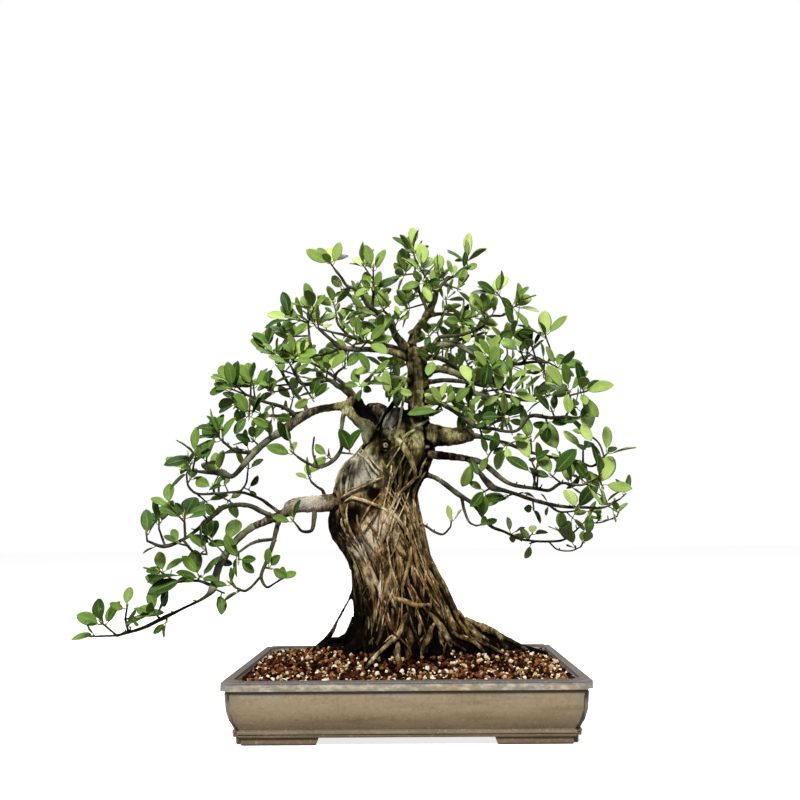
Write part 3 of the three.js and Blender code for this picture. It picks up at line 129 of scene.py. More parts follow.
# Roots and rods that stand clear of the trunk, in the same form
FREE_ROOTS = [
    [[-8, 128, -24, 4], [-30, 112, -42, 4], [-45, 101, -52, 3.8], [-57, 87, -60, 3.8], [-70, 68, -68, 3.4]],
    [[-12, 118, -30, 4], [-14, 98, -40, 5], [-16, 84, -44, 5]],
    [[36, 244, 18, 1.4], [44, 225, 16, 2.6], [51, 208, 14, 3.2], [60, 191, 12, 3.6], [72, 168, 10, 3.6],
     [84, 150, 8, 5], [97, 135, 4, 7], [112, 122, 0, 7.5], [126, 106, -4, 7], [134, 94, -6, 6]],
    [[97, 134, 6, 7], [122, 130, 14, 6.4], [142, 121, 14, 5], [151, 110, 8, 4.5], [158, 94, 4, 4.5]],
    [[-82, 192, 36, 4], [-92, 174, 34, 2.6], [-101, 158, 30, 2.6], [-110, 142, 26, 3.2],
     [-117, 128, 22, 4.4], [-128, 114, 18, 5.5], [-142, 102, 14, 5.5], [-156, 90, 10, 5]],
    [[-80, 110, 32, 12], [-106, 110, 28, 11], [-126, 106, 22, 9]],
]

# Leafy branches: name, the way point up to which the trunk holds the branch, its stems, and its tufts as
# [x, z, depth, leaves]. A leaf is its heading in degrees, with y for a young one, o for an old one, L for
# a large one and S for a small one.
SPRAYS = [
    ("spray_left_tail", 4,
     [[[-184, 318, -11, 11], [-203, 309, -18, 8.5], [-228, 299, -26, 7.5], [-250, 289, -33, 7],
       [-277, 264, -43, 7], [-299, 228, -52, 7.5], [-307, 196, -57, 7.4], [-318, 183, -60, 3.6],
       [-352, 166, -66, 2.8], [-388, 149, -72, 4.2], [-416, 136, -76, 3.4], [-456, 125, -82, 2.8]],
      [[-307, 200, -57, 3.4], [-332, 208, -66, 2.8], [-366, 206, -74, 2.4]],
      [[-438, 130, -79, 2.6], [-444, 150, -96, 2.2]]],
     [[-478, 142, -95, "155y 138o 80y 60"], [-492, 124, -88, "180y"], [-435, 136, -62, "95oS"],
      [-397, 158, -76, "165y 182 110y 75o 130"], [-376, 202, -52, "160y 215 240o 30"],
      [-390, 222, -84, "115y 55 150 175yL"], [-328, 214, -84, "120y 100L 60 140"],
      [-354, 214, -104, "168oL 190oL"], [-283, 266, -58, "90yL 165"]]),
    ("spray_left_arc", 2,
     [[[-206, 306, -19, 5], [-225, 313, -30, 5.4], [-255, 326, -48, 5], [-290, 324, -66, 4.3],
       [-318, 303, -78, 4.2], [-347, 279, -88, 3.4], [-372, 266, -94, 3.6], [-390, 262, -97, 4],
       [-415, 271, -101, 2.4]],
      [[-357, 272, -91, 2.8], [-338, 252, -94, 2.6], [-318, 249, -96, 2.2]],
      [[-386, 263, -96, 2.6], [-397, 290, -88, 2.2]],
      [[-354, 274, -90, 2.8], [-356, 300, -100, 2.4]]],
     [[-312, 270, -70, "110 95o 150o"], [-355, 303, -102, "90L 150 160 35 18"], [-383, 328, -112, "105y"],
      [-396, 292, -86, "100 70"], [-418, 273, -102, "100 60o"], [-316, 249, -98, "100 150"]]),
    ("spray_left_wire", 2,
     [[[-200, 312, -14, 5], [-214, 322, 2, 4], [-236, 337, 20, 3.4], [-266, 347, 38, 3.2],
       [-300, 346, 58, 3], [-338, 346, 80, 3], [-352, 358, 87, 2.8], [-356, 378, 91, 2.4]],
      [[-268, 347, 39, 2.6], [-258, 362, 30, 2.4], [-256, 378, 24, 2.2]]],
     [[-302, 378, 80, "80y 112y 262y 150y"], [-257, 384, 22, "50S 120"], [-350, 392, 96, "150 60 110S"],
      [-324, 334, 112, "240 20 320"]]),
    ("spray_left_down", 2,
     [[[-201, 307, -17, 6], [-206, 292, -27, 5.2], [-212, 266, -40, 4.4], [-220, 242, -52, 3.8],
       [-230, 214, -62, 3.2], [-221, 197, -66, 2.6], [-207, 204, -64, 2]],
      [[-211, 272, -38, 3.6], [-243, 267, -54, 3.2], [-267, 252, -66, 2.6]],
      [[-230, 214, -62, 3], [-254, 192, -71, 2.8], [-271, 197, -79, 2.4]]],
     [[-269, 249, -70, "262y 5S 140"], [-272, 199, -81, "95S 170S"], [-217, 226, -68, "95S 330S"]]),
    ("spray_left_over", 2,
     [[[-130, 334, 10, 5], [-133, 348, 4, 3.6], [-143, 355, -4, 3], [-152, 363, -11, 2.6]]],
     [[-153, 365, -13, "110y 60 150S"]]),
    ("spray_left_outer", 6,
     [[[-98, 488, -9, 9], [-118, 485, -16, 7.8], [-140, 482, -26, 7.6], [-160, 474, -36, 8.6],
       [-180, 462, -46, 9], [-199, 447, -56, 8.5], [-215, 438, -64, 7], [-232, 425, -74, 6.6],
       [-250, 408, -84, 7.4], [-270, 383, -96, 5], [-282, 373, -102, 4.6], [-300, 379, -110, 6.4],
       [-332, 381, -122, 3.4], [-346, 383, -128, 2.6]],
      [[-248, 411, -83, 4], [-275, 414, -110, 3.2], [-298, 430, -134, 2.6]]],
     [[-352, 386, -132, "165 150y 210"], [-342, 408, -150, "100y 190o 125o"],
      [-300, 433, -138, "140L 178L 85 110yL 70 245L"], [-254, 414, -62, "100 130o"]]),
    ("spray_left_fan", 2,
     [[[-178, 463, -46, 6], [-186, 478, -58, 4.6], [-205, 488, -74, 4], [-232, 496, -92, 3.4],
       [-262, 508, -110, 2.8]]],
     [[-256, 474, -120, "140y 120 60 70o 165"], [-285, 517, -128, "140yL 100 185 85o"],
      [-250, 522, -92, "130y 115 75 165"], [-215, 471, -100, "250 290o 200S"]]),
    ("spray_left_rise", 2,
     [[[-158, 474, -34, 6], [-166, 491, -22, 4.6], [-182, 512, -6, 4], [-198, 536, 10, 3.6],
       [-210, 562, 26, 3]]],
     [[-222, 522, -22, "100o 150 40"], [-226, 583, 34, "120 145y 100o 330"],
      [-192, 602, 22, "95 120 150 40"]]),
    ("spray_hang_down", 2,
     [[[-97, 486, -9, 7], [-101, 466, -18, 5], [-104, 438, -28, 4.2], [-103, 418, -36, 4.2],
       [-112, 402, -46, 4.4], [-126, 391, -56, 4.4], [-141, 387, -64, 3.8], [-160, 394, -78, 3],
       [-175, 404, -88, 2.6]],
      [[-142, 387, -65, 2.8], [-150, 412, -72, 2.4], [-148, 436, -76, 2]]],
     [[-177, 407, -92, "112yL 160"], [-90, 408, -52, "68o 112o"]]),
    ("spray_mid_tangle", 2,
     [[[-90, 512, -8, 6], [-108, 520, -16, 6], [-124, 531, -25, 4.8], [-145, 527, -38, 4.6],
       [-168, 525, -52, 4.4], [-178, 538, -58, 3.6], [-186, 552, -64, 3]],
      [[-116, 524, -19, 3.8], [-112, 542, -12, 3.2], [-98, 553, -6, 2.6]]],
     [[-127, 547, -46, "60y 130 170 30"], [-93, 556, -4, "110 150 60o"], [-152, 500, -66, "90o 60"]]),
    ("spray_apex_left", 4,
     [[[8, 576, 30, 12], [-3, 592, 25, 9.5], [-13, 606, 18, 8], [-20, 622, 10, 6.4], [-32, 636, 0, 5.4],
       [-48, 650, -14, 5.2], [-60, 660, -24, 5], [-70, 676, -34, 4.2], [-82, 688, -42, 4],
       [-96, 695, -52, 3.6], [-104, 708, -60, 3.2], [-114, 721, -68, 2.8]],
      [[-52, 653, -17, 4], [-50, 680, -30, 3.4], [-50, 704, -44, 2.8]]],
     [[-122, 733, -76, "95yL 150 45o 75"], [-50, 690, -52, "330oL 215 120"],
      [-50, 722, -56, "120y 110 60"]]),
    ("spray_apex_inner", 2,
     [[[-14, 607, 18, 6], [-16, 626, 34, 4], [-22, 638, 46, 3.4], [-32, 648, 56, 2.8]]],
     [[-33, 651, 40, "180y 95o 150"], [-62, 650, 66, "150o 100"]]),
    ("spray_apex_top", 2,
     [[[42, 640, 66, 6], [38, 656, 72, 4.4], [31, 672, 78, 3.8], [25, 694, 85, 3.4], [21, 720, 92, 2.8]]],
     [[3, 712, 82, "190oL 100L 60"], [20, 748, 98, "90y 150 40"], [8, 652, 62, "60 120 240 100"]]),
    ("spray_apex_right", 7,
     [[[12, 574, 34, 12], [16, 600, 43, 9], [24, 617, 53, 7.8], [34, 630, 60, 7.6], [45, 644, 66, 7.2],
       [50, 654, 64, 5.6], [55, 668, 58, 4.8], [57, 682, 50, 4.6], [49, 694, 42, 3.2], [38, 708, 34, 2.6]],
      [[57, 680, 51, 3.8], [73, 700, 60, 3.8], [95, 712, 72, 2.8], [111, 723, 80, 2.4]]],
     [[32, 720, 28, "92yL 60 140"], [36, 697, 20, "60o 300y"], [62, 712, 58, "150o 165o 138 80 110y"],
      [109, 734, 88, "90y 145o 45o"]]),
    ("spray_apex_side", 2,
     [[[46, 640, 66, 6], [62, 642, 76, 4.4], [76, 641, 84, 4], [92, 637, 92, 3.6], [108, 634, 100, 2.8]]],
     [[72, 668, 96, "20 100"], [98, 630, 76, "90y 120"], [119, 636, 106, "30 90 150o 340"]]),
    ("spray_left_crown", 2,
     [[[-30, 578, 14, 5], [-33, 592, 4, 4], [-35, 602, -5, 3.2]]],
     [[-35, 604, -7, "95 110y 140 152o 80 60o"]]),
    ("spray_left_top", 3,
     [[[6, 568, 28, 9], [-25, 579, 16, 7], [-54, 582, 2, 6.2], [-80, 583, -12, 6], [-105, 586, -28, 6],
       [-121, 600, -40, 4.2], [-142, 619, -54, 3]],
      [[-104, 586, -28, 3.6], [-126, 577, -45, 3.2], [-152, 572, -62, 3], [-185, 562, -82, 2.4]],
      [[-151, 572, -61, 3], [-157, 600, -66, 2.8], [-160, 630, -70, 2.4]]],
     [[-142, 622, -58, "95 110y 60"], [-188, 562, -86, "75yL 140 20 350"],
      [-152, 652, -78, "110 95o 130 150 75"], [-194, 606, -64, "100 140"], [-192, 640, -88, "95y 200o"]]),
    ("spray_left_far", 2,
     [[[2, 574, 40, 6], [-10, 584, 56, 5], [-30, 589, 74, 4.6], [-50, 593, 90, 4.2], [-72, 598, 106, 4.2],
       [-92, 606, 120, 4], [-120, 613, 136, 3.2], [-146, 621, 150, 2.6]],
      [[-92, 606, 120, 3.4], [-110, 628, 126, 3.2], [-114, 652, 130, 2.6]]],
     [[-112, 658, 132, "120 55oL 150"], [-72, 640, 128, "150o 100"], [-150, 624, 154, "110 160y 60"]]),
    ("spray_left_mid", 2,
     [[[10, 526, 22, 8], [-6, 531, 2, 6.4], [-24, 533, -20, 5.4], [-42, 530, -44, 4.8],
       [-60, 524, -68, 3.6]],
      [[-24, 533, -20, 3], [-24, 512, -34, 2.6], [-25, 494, -44, 2.2]]],
     [[-69, 521, -82, "50yL 20o 110"], [-25, 490, -48, "100y 55S"]]),
    ("spray_right_upper", 3,
     [[[34, 543, 22, 9], [60, 547, 6, 8], [82, 541, -11, 7.2], [102, 533, -28, 6.6], [125, 531, -48, 6],
       [143, 526, -62, 5.4], [158, 516, -74, 4.6], [167, 508, -84, 3.6]]],
     [[160, 503, -92, "270oL 90"], [112, 520, -66, "100yL 80"], [130, 508, -96, "90o"],
      [178, 506, -92, "40 340"]]),
    ("spray_right_mid", 3,
     [[[36, 506, 24, 9], [62, 512, 18, 7.4], [84, 511, 18, 7], [112, 507, 24, 7], [140, 497, 36, 6],
       [160, 502, 48, 5], [182, 497, 60, 4], [204, 492, 72, 3.4], [226, 497, 84, 2.6]]],
     [[105, 484, -4, "90o 70 110 250o 150oS"], [190, 488, 52, "80 200"], [210, 492, 78, "70yL"],
      [236, 500, 92, "200o 150 40"]]),
    ("spray_right_dark", 2,
     [[[26, 566, 36, 9], [54, 567, 62, 6.4], [68, 562, 80, 6], [82, 553, 98, 5.4], [100, 543, 116, 4.4],
       [118, 535, 134, 3.4]]],
     [[73, 578, 84, "270S 60"], [57, 610, 84, "70y 110"], [76, 598, 104, "60 40o"],
      [122, 534, 138, "80 120 20 310"]]),
    ("spray_right_top", 3,
     [[[14, 572, 34, 11], [40, 582, 34, 8.4], [62, 588, 30, 8], [88, 590, 24, 6.6], [100, 583, 20, 6],
       [118, 572, 14, 6], [135, 562, 8, 5.4], [155, 557, 0, 5], [188, 554, -14, 4.2], [215, 557, -28, 3.2],
       [240, 556, -42, 2.6]]],
     [[195, 576, -32, "90yL"], [172, 584, 18, "130"], [140, 566, -26, "115y 120 30 250o 300"],
      [206, 572, -4, "320oL 80o"], [214, 584, -50, "100o"], [238, 600, -60, "85yL 150oL 50"],
      [253, 548, -52, "60 120 350"]]),
    ("spray_right_high", 2,
     [[[46, 583, 33, 6], [60, 601, 22, 4.6], [92, 604, 6, 4.2], [118, 612, -8, 3.6], [134, 620, -16, 3.2],
       [144, 636, -26, 3], [168, 638, -42, 2.8], [180, 649, -50, 2.4]]],
     [[160, 676, -48, "60y 82 135o 315o"], [135, 644, -34, "65yL 120"], [188, 653, -54, "55 100 300 10"],
      [186, 612, -66, "200o 110o 80"]]),
    ("spray_right_cross", 2,
     [[[30, 496, 26, 9], [62, 488, 2, 6.4], [80, 478, -14, 6], [108, 457, -36, 5.6], [118, 450, -44, 5.5],
       [140, 447, -60, 4.6], [170, 441, -78, 4], [186, 444, -88, 4.2], [206, 466, -102, 4.8],
       [240, 463, -122, 4.4], [265, 464, -134, 4], [284, 462, -144, 3.4], [296, 469, -150, 2.6]],
      [[264, 465, -133, 3], [274, 482, -142, 2.6], [273, 500, -150, 2.4]],
      [[158, 444, -71, 3], [162, 460, -80, 2.4]]],
     [[163, 465, -82, "30o 95 182oS"], [242, 470, -132, "130o"], [237, 458, -112, "265oS"],
      [272, 503, -152, "130yL 110 270 60 140o"], [294, 505, -168, "60 100o 20 320 80"]]),
    ("spray_right_long", 2,
     [[[100, 436, -2, 8], [120, 434, -12, 6.4], [134, 431, -20, 5.6], [152, 426, -31, 5],
       [172, 420, -43, 4.5], [194, 410, -55, 4], [218, 403, -68, 3.6], [242, 398, -79, 4],
       [264, 395, -89, 4], [284, 390, -99, 3.4], [303, 383, -108, 2.8], [323, 398, -118, 2.2]],
      [[242, 398, -79, 2.8], [248, 388, -85, 2.4], [242, 374, -90, 2]]],
     [[137, 403, -44, "110S 60"], [165, 419, -62, "250y 20y 150o"], [252, 404, -98, "110L"],
      [290, 410, -122, "130y 55o"], [301, 435, -128, "90yL 130o"], [327, 402, -122, "80y 18"],
      [122, 454, -34, "60o 120S"]]),
    ("spray_right_low", 4,
     [[[42, 405, 20, 10], [70, 402, 8, 9], [98, 398, -4, 7.6], [122, 392, -16, 7], [138, 381, -26, 6.6],
       [152, 368, -38, 6], [170, 356, -50, 5], [190, 351, -62, 4.4], [212, 348, -76, 4.2],
       [232, 345, -89, 4], [252, 356, -104, 3.2], [284, 353, -124, 2.8], [312, 364, -140, 2.2]]],
     [[207, 371, -94, "135oL"], [206, 392, -96, "110yL 45oS"], [238, 368, -112, "60oL 110"],
      [266, 352, -98, "90 110"], [290, 356, -118, "90 120o 30o"], [312, 368, -146, "85oL"],
      [317, 352, -132, "60yL 350"]]),
    ("spray_right_spread", 2,
     [[[106, 396, -9, 7], [120, 376, -6, 5], [141, 351, 0, 7.4], [158, 346, 6, 4.6], [180, 339, 14, 4.2],
       [205, 330, 26, 4.4], [235, 322, 42, 4.2], [262, 318, 56, 3.8], [290, 317, 70, 3.4],
       [318, 317, 82, 2.8], [345, 330, 96, 2.2]],
      [[228, 324, 38, 3], [246, 311, 34, 2.6], [268, 311, 32, 2.2]]],
     [[274, 313, 36, "110yL 60oL"], [322, 322, 98, "95 50 120o"], [186, 341, 2, "0oS"],
      [206, 318, 12, "310oS"], [352, 336, 104, "60 120"], [296, 312, 104, "250 320"]]),
    ("spray_right_lowest", 3,
     [[[20, 374, 30, 9], [45, 369, 36, 7.6], [62, 359, 42, 7.2], [78, 346, 50, 7.6], [92, 336, 56, 7],
       [106, 327, 62, 6.2], [118, 314, 68, 5.4], [127, 300, 74, 5], [138, 288, 80, 5], [158, 280, 86, 4.6],
       [180, 269, 92, 4], [204, 265, 98, 3.6], [229, 264, 104, 4], [250, 266, 108, 3.4],
       [266, 276, 112, 2.8], [288, 296, 118, 2.2]],
      [[91, 336, 56, 5.4], [95, 314, 50, 4.6], [103, 295, 46, 3.4], [113, 290, 44, 2.8]],
      [[228, 264, 104, 3], [240, 252, 98, 2.6], [262, 249, 91, 2.4], [278, 255, 87, 2.2]],
      [[286, 293, 117, 2.4], [312, 293, 126, 2.2], [338, 302, 134, 2]]],
     [[244, 281, 116, "80 30o"], [282, 258, 86, "75y"], [270, 255, 80, "115L"], [292, 300, 124, "0S 70"],
      [342, 304, 137, "50S 110S"]]),
    ("spray_front_loop", 2,
     [[[26, 294, 12, 4], [36, 288, -16, 2.8], [46, 281, -24, 2.6], [60, 277, -32, 2.4],
       [72, 288, -40, 2.2]]],
     [[72, 291, -42, "92yS"]]),
    ("spray_column_front", 2,
     [[[30, 468, 22, 6], [48, 472, 2, 4], [62, 479, -10, 3.2]]],
     [[63, 481, -12, "180yL 137y 60S"]]),
    ("spray_back_outer_left", 2,
     [[[-92, 486, -4, 7], [-104, 486, 22, 5.6], [-128, 485, 56, 5], [-158, 479, 92, 4.6],
       [-190, 473, 124, 4], [-226, 472, 152, 3.2]]],
     [[-184, 500, 126, "80 140 30"], [-236, 474, 166, "120 60 170 240 300"]]),
    ("spray_back_left", 2,
     [[[-86, 502, 0, 7], [-88, 512, 28, 5.6], [-100, 524, 64, 5], [-118, 538, 100, 4.2],
       [-142, 554, 134, 3.6], [-168, 568, 162, 2.8]]],
     [[-126, 560, 122, "70 120 30"], [-168, 572, 172, "130 80 190 240 30"]]),
    ("spray_back_middle", 2,
     [[[24, 506, 40, 9], [16, 510, 68, 6], [2, 518, 100, 5.2], [-16, 530, 134, 4.4], [-34, 544, 168, 3.4]]],
     [[-10, 550, 146, "100 50 150"], [-34, 548, 184, "140 80 220 20 290"]]),
    ("spray_back_top_left", 2,
     [[[-14, 604, 24, 7], [-18, 618, 56, 5], [-36, 634, 88, 4.2], [-58, 648, 118, 3.6],
       [-80, 662, 144, 2.8]]],
     [[-50, 668, 120, "80 130 30"], [-80, 664, 156, "150 90 30 230 300"]]),
    ("spray_back_top", 2,
     [[[34, 630, 62, 7], [36, 640, 94, 5.4], [44, 655, 122, 4.4], [52, 673, 148, 3.6],
       [58, 690, 168, 2.8]]],
     [[28, 674, 142, "120 70 160"], [60, 692, 174, "90 140 30 330 220"]]),
    ("spray_back_right_high", 2,
     [[[44, 583, 38, 7], [60, 588, 62, 5.8], [82, 594, 92, 5], [106, 600, 122, 4.2], [134, 608, 152, 3.2]]],
     [[100, 620, 122, "80 120 40"], [138, 608, 162, "50 100 350 290 170"]]),
    ("spray_back_right", 2,
     [[[30, 524, 44, 9], [46, 526, 72, 6], [72, 528, 104, 5.2], [102, 524, 136, 4.4],
       [134, 516, 168, 3.4]]],
     [[92, 542, 132, "100 50 150"], [138, 516, 178, "40 90 330 260 150"]]),
    ("spray_back_right_low", 2,
     [[[58, 438, 34, 10], [76, 442, 62, 7], [100, 448, 92, 5.6], [130, 454, 124, 4.6],
       [164, 461, 156, 3.4]]],
     [[116, 472, 120, "100 50 150"], [168, 462, 166, "60 10 110 280 200"]]),
    ("spray_back_low", 2,
     [[[24, 430, 60, 10], [22, 438, 92, 6.4], [16, 450, 116, 5.2], [12, 464, 144, 4.2],
       [14, 480, 172, 3.2]]],
     [[14, 482, 180, "100 60 150 20 300"], [4, 466, 150, "190 130 280"]]),
]


# Small helpers for numbers and vectors

def clamp(value):
    return min(1.0, max(0.0, value))


def unit(vector):
    return vector / max(1e-9, float(np.linalg.norm(vector)))


def seen(x, z, depth):
    """The place at a depth that looks to be at x and z on the plane through the middle of the tray."""
    scale = (depth - EYE[1]) / -EYE[1]
    return np.array([EYE[0] + (x - EYE[0]) * scale, depth, EYE[2] + (z - EYE[2]) * scale])


def flat_from(vector, ahead):
    """The unit vector square to a unit direction that is nearest to a vector."""
    return unit(vector - ahead * float(np.dot(vector, ahead)))


def turned(vector, axis, angle):
    """vector turned round a unit axis."""
    cos, sin = math.cos(angle), math.sin(angle)
    return vector * cos + np.cross(axis, vector) * sin + axis * float(np.dot(axis, vector)) * (1 - cos)


RANDOM_RANGE = 2 ** 32


class Draws:
    """Random numbers between 0 and 1, the same on every run."""

    def __init__(self, seed):
        self.state = (seed * 7919 + 17) % RANDOM_RANGE
        for _ in range(3):
            self()

    def __call__(self):
        self.state = (self.state * 1664525 + 1013904223) % RANDOM_RANGE
        return self.state / RANDOM_RANGE

    def between(self, low, high):
        return low + (high - low) * self()


def wander(x, y, z):
    """Smooth noise between about -1 and 1."""
    return noise.noise(Vector((x, y, z)))


# Closed bodies collected into one mesh, with three numbers kept at each vertex for its material

class Shape:
    def __init__(self):
        self.points = []
        self.quads = []
        self.triangles = []
        self.details = []
        self.count = 0

    def add(self, points, quads, triangles, details):
        points = np.asarray(points, float)
        details = np.asarray(details, float)
        if details.ndim == 1:
            details = np.tile(details, (len(points), 1))
        self.points.append(points)
        self.details.append(details)
        for faces, kept, corners in ((quads, self.quads, 4), (triangles, self.triangles, 3)):
            if len(faces):
                kept.append(np.asarray(faces, int).reshape(-1, corners) + self.count)
        self.count += len(points)

    def make(self, name, material, smooth=True):
        mesh = bpy.data.meshes.new(name)
        points = np.concatenate(self.points) * MM + ORIGIN
        groups = self.quads + self.triangles
        sizes = np.concatenate([np.full(len(faces), faces.shape[1]) for faces in groups])
        loops = np.concatenate([faces.ravel() for faces in groups])
        starts = np.concatenate([[0], np.cumsum(sizes)[:-1]])
        mesh.vertices.add(len(points))
        mesh.vertices.foreach_set("co", points.astype(np.float32).ravel())
        mesh.loops.add(len(loops))
        mesh.loops.foreach_set("vertex_index", loops.astype(np.int32))
        mesh.polygons.add(len(sizes))
        mesh.polygons.foreach_set("loop_start", starts.astype(np.int32))
        mesh.update(calc_edges=True)
        mesh.materials.append(material)
        mesh.polygons.foreach_set("use_smooth", np.full(len(sizes), smooth))
        keep_details(mesh, np.concatenate(self.details))
        mesh.validate()
        piece = bpy.data.objects.new(name, mesh)
        bpy.context.scene.collection.objects.link(piece)
        return piece


def keep_details(mesh, details):
    kept = mesh.attributes.new("detail", "FLOAT_VECTOR", "POINT")
    kept.data.foreach_set("vector", details.astype(np.float32).ravel())


def tube_faces(rings, sides):
    row = np.arange(rings - 1)[:, None] * sides
    side = np.arange(sides)[None, :]
    following = (side + 1) % sides
    quads = np.stack([row + side, row + following, row + sides + following, row + sides + side], -1)
    first, last = rings * sides, rings * sides + 1
    around = np.arange(sides)
    after = (around + 1) % sides
    end = (rings - 1) * sides
    low = np.stack([np.full(sides, first), after, around], -1)
    high = np.stack([np.full(sides, last), end + around, end + after], -1)
    return quads.reshape(-1, 4), np.concatenate([low, high])


def smooth_way(points, radii, spacing):
    """Points and radii on a smooth curve through way points."""
    points = np.asarray(points, float)
    radii = np.asarray(radii, float)
    both = np.column_stack([points, radii])
    steps = np.linalg.norm(np.diff(points, axis=0), axis=1)
    slopes = np.zeros_like(both)
    for index in range(len(both)):
        low, high = max(0, index - 1), min(len(both) - 1, index + 1)
        slopes[index] = (both[high] - both[low]) / max(1e-6, steps[low:high].sum())
    placed = [both[:1]]
    for index, step in enumerate(steps):
        count = max(1, int(round(step / spacing)))
        share = (np.arange(1, count + 1) / count)[:, None]
        square, cube = share**2, share**3
        start, end = both[index], both[index + 1]
        leaving, arriving = slopes[index] * step, slopes[index + 1] * step
        placed.append((2 * cube - 3 * square + 1) * start + (cube - 2 * square + share) * leaving
                      + (-2 * cube + 3 * square) * end + (cube - square) * arriving)
    placed = np.concatenate(placed)
    placed[:, 3] = np.clip(placed[:, 3], radii.min() * 0.8, radii.max() * 1.1)
    return placed[:, :3], placed[:, 3]


def curve_through(way, spacing):
    """Points and radii on a smooth curve through way points as seen."""
    return smooth_way([seen(*point[:3]) for point in way], [point[3] for point in way], spacing)


def frames_along(points):
    """Directions ahead and across at each point of a way, without twist."""
    points = np.asarray(points, float)
    aheads = []
    acrosses = []
    across = FIRST_ACROSS
    for index in range(len(points)):
        ahead = unit(points[min(len(points) - 1, index + 1)] - points[max(0, index - 1)])
        across = flat_from(across, ahead)
        aheads.append(ahead)
        acrosses.append(across)
    return np.array(aheads), np.array(acrosses)


def add_tube(shape, points, radii, sides, details, rough=0.0, seed=0, tip=0.6):
    """A round stem with domed ends. rough is the share by which its radius wanders."""
    points = np.asarray(points, float)
    radii = np.asarray(radii, float)
    aheads, acrosses = frames_along(points)
    others = np.cross(aheads, acrosses)
    angles = np.arange(sides) / sides * 2 * math.pi
    scale = np.ones((len(points), sides))
    if rough:
        for row in range(len(points)):
            for side, angle in enumerate(angles):
                spot = (row * 0.45 + seed * 7.3, math.cos(angle) * 1.3, math.sin(angle) * 1.3)
                scale[row, side] += rough * wander(*spot)
    ring = (acrosses[:, None, :] * np.cos(angles)[None, :, None]
            + others[:, None, :] * np.sin(angles)[None, :, None])
    body = points[:, None, :] + ring * (radii[:, None] * scale)[:, :, None]
    low = points[0] - aheads[0] * radii[0] * tip
    high = points[-1] + aheads[-1] * radii[-1] * tip
    corners = np.concatenate([body.reshape(-1, 3), [low, high]])
    quads, triangles = tube_faces(len(points), sides)
    details = np.asarray(details, float)
    if details.ndim == 2:
        details = np.concatenate([np.repeat(details, sides, axis=0), details[[0, -1]]])
    shape.add(corners, quads, triangles, details)


# The trunk's outline

def trunk_row(z):
    """Centre, half width and half depth of the trunk at a height."""
    heights = [row[0] for row in TRUNK_ROWS]
    left = float(np.interp(z, heights, [row[1] for row in TRUNK_ROWS]))
    right = float(np.interp(z, heights, [row[2] for row in TRUNK_ROWS]))
    centre = seen((left + right) / 2, z, TRUNK_DEPTH)
    half = float(seen(right, z, TRUNK_DEPTH)[0] - seen(left, z, TRUNK_DEPTH)[0]) / 2
    return centre, half, max(LEAST_HALF_DEPTH, half * CORE_FLATNESS)


def soft_row(z):
    """The trunk's outline, smoothed over its height."""
    rows = [trunk_row(z + step) for step in SOFT_STEPS]
    centre = sum(row[0] for row in rows) / len(rows)
    centre[2] = trunk_row(z)[0][2]
    half, deep = (sum(row[place] for row in rows) / len(rows) for place in (1, 2))
    return centre, half, deep


def soil_height(x, y):
    """Height of the soil, which is mounded round the trunk."""
    edge = 1 - np.minimum(1, np.abs(x) / MOUND_REACH) ** 6
    along = edge * np.exp(-((x / MOUND_LENGTH_SPREAD) ** 4))
    across = np.exp(-(((y - MOUND_DEPTH_CENTRE) / MOUND_DEPTH_SPREAD) ** 2))
    return SOIL_EDGE + MOUND_HEIGHT * along * across


def on_bark(x, z, radius, sunk):
    """A point on the front of the trunk as seen, sunk into it by a share of the radius."""
    centre, half, deep = trunk_row(z)
    depth = TRUNK_DEPTH
    for _ in range(DEPTH_ROUNDS):
        across = float(np.clip((seen(x, z, depth)[0] - centre[0]) / half, -BARK_EDGE, BARK_EDGE))
        depth = TRUNK_DEPTH - (deep * math.sqrt(1 - across * across) - sunk * radius)
    point = seen(x, z, depth)
    point[0] = centre[0] + float(np.clip(point[0] - centre[0], -half * BARK_EDGE, half * BARK_EDGE))
    return point


# Twigs and leaves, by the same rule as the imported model

def heading_vector(degrees, tilt):
    """A direction in the plane of the picture, tilted away from the viewer."""
    heading = math.radians(degrees)
    flat = math.cos(tilt)
    return np.array([math.cos(heading) * flat, math.sin(tilt), math.sin(heading) * flat])


def leaf_entries(text):
    """Heading and letters of each leaf of a tuft."""
    entries = []
    for word in text.split(" "):
        letters = word.lstrip("-0123456789")
        entries.append((float(word[:len(word) - len(letters)]), letters))
    return entries


def leaf_kind(letters):
    return "y" if "y" in letters else "o" if "o" in letters else ""


def twig_places(spray):
    """The places on a branch's stems where a twig may start: point, direction and radius."""
    _, hold, stems, _ = spray
    places = []
    for index, way in enumerate(stems):
        for point in range(hold - 1 if index == 0 else 0, len(way) - 1):
            start, end = seen(*way[point][:3]), seen(*way[point + 1][:3])
            ahead = unit(end - start)
            for share in TWIG_SHARES:
                radius = way[point][3] + (way[point + 1][3] - way[point][3]) * share
                places.append((start + (end - start) * share, ahead, radius))
    return places


def ring_corners(centre, across, other):
    turns = [side / TWIG_SIDES * 2 * math.pi for side in range(TWIG_SIDES)]
    return [centre + across * TWIG_RADIUS * math.cos(turn) + other * TWIG_RADIUS * math.sin(turn)
            for turn in turns]


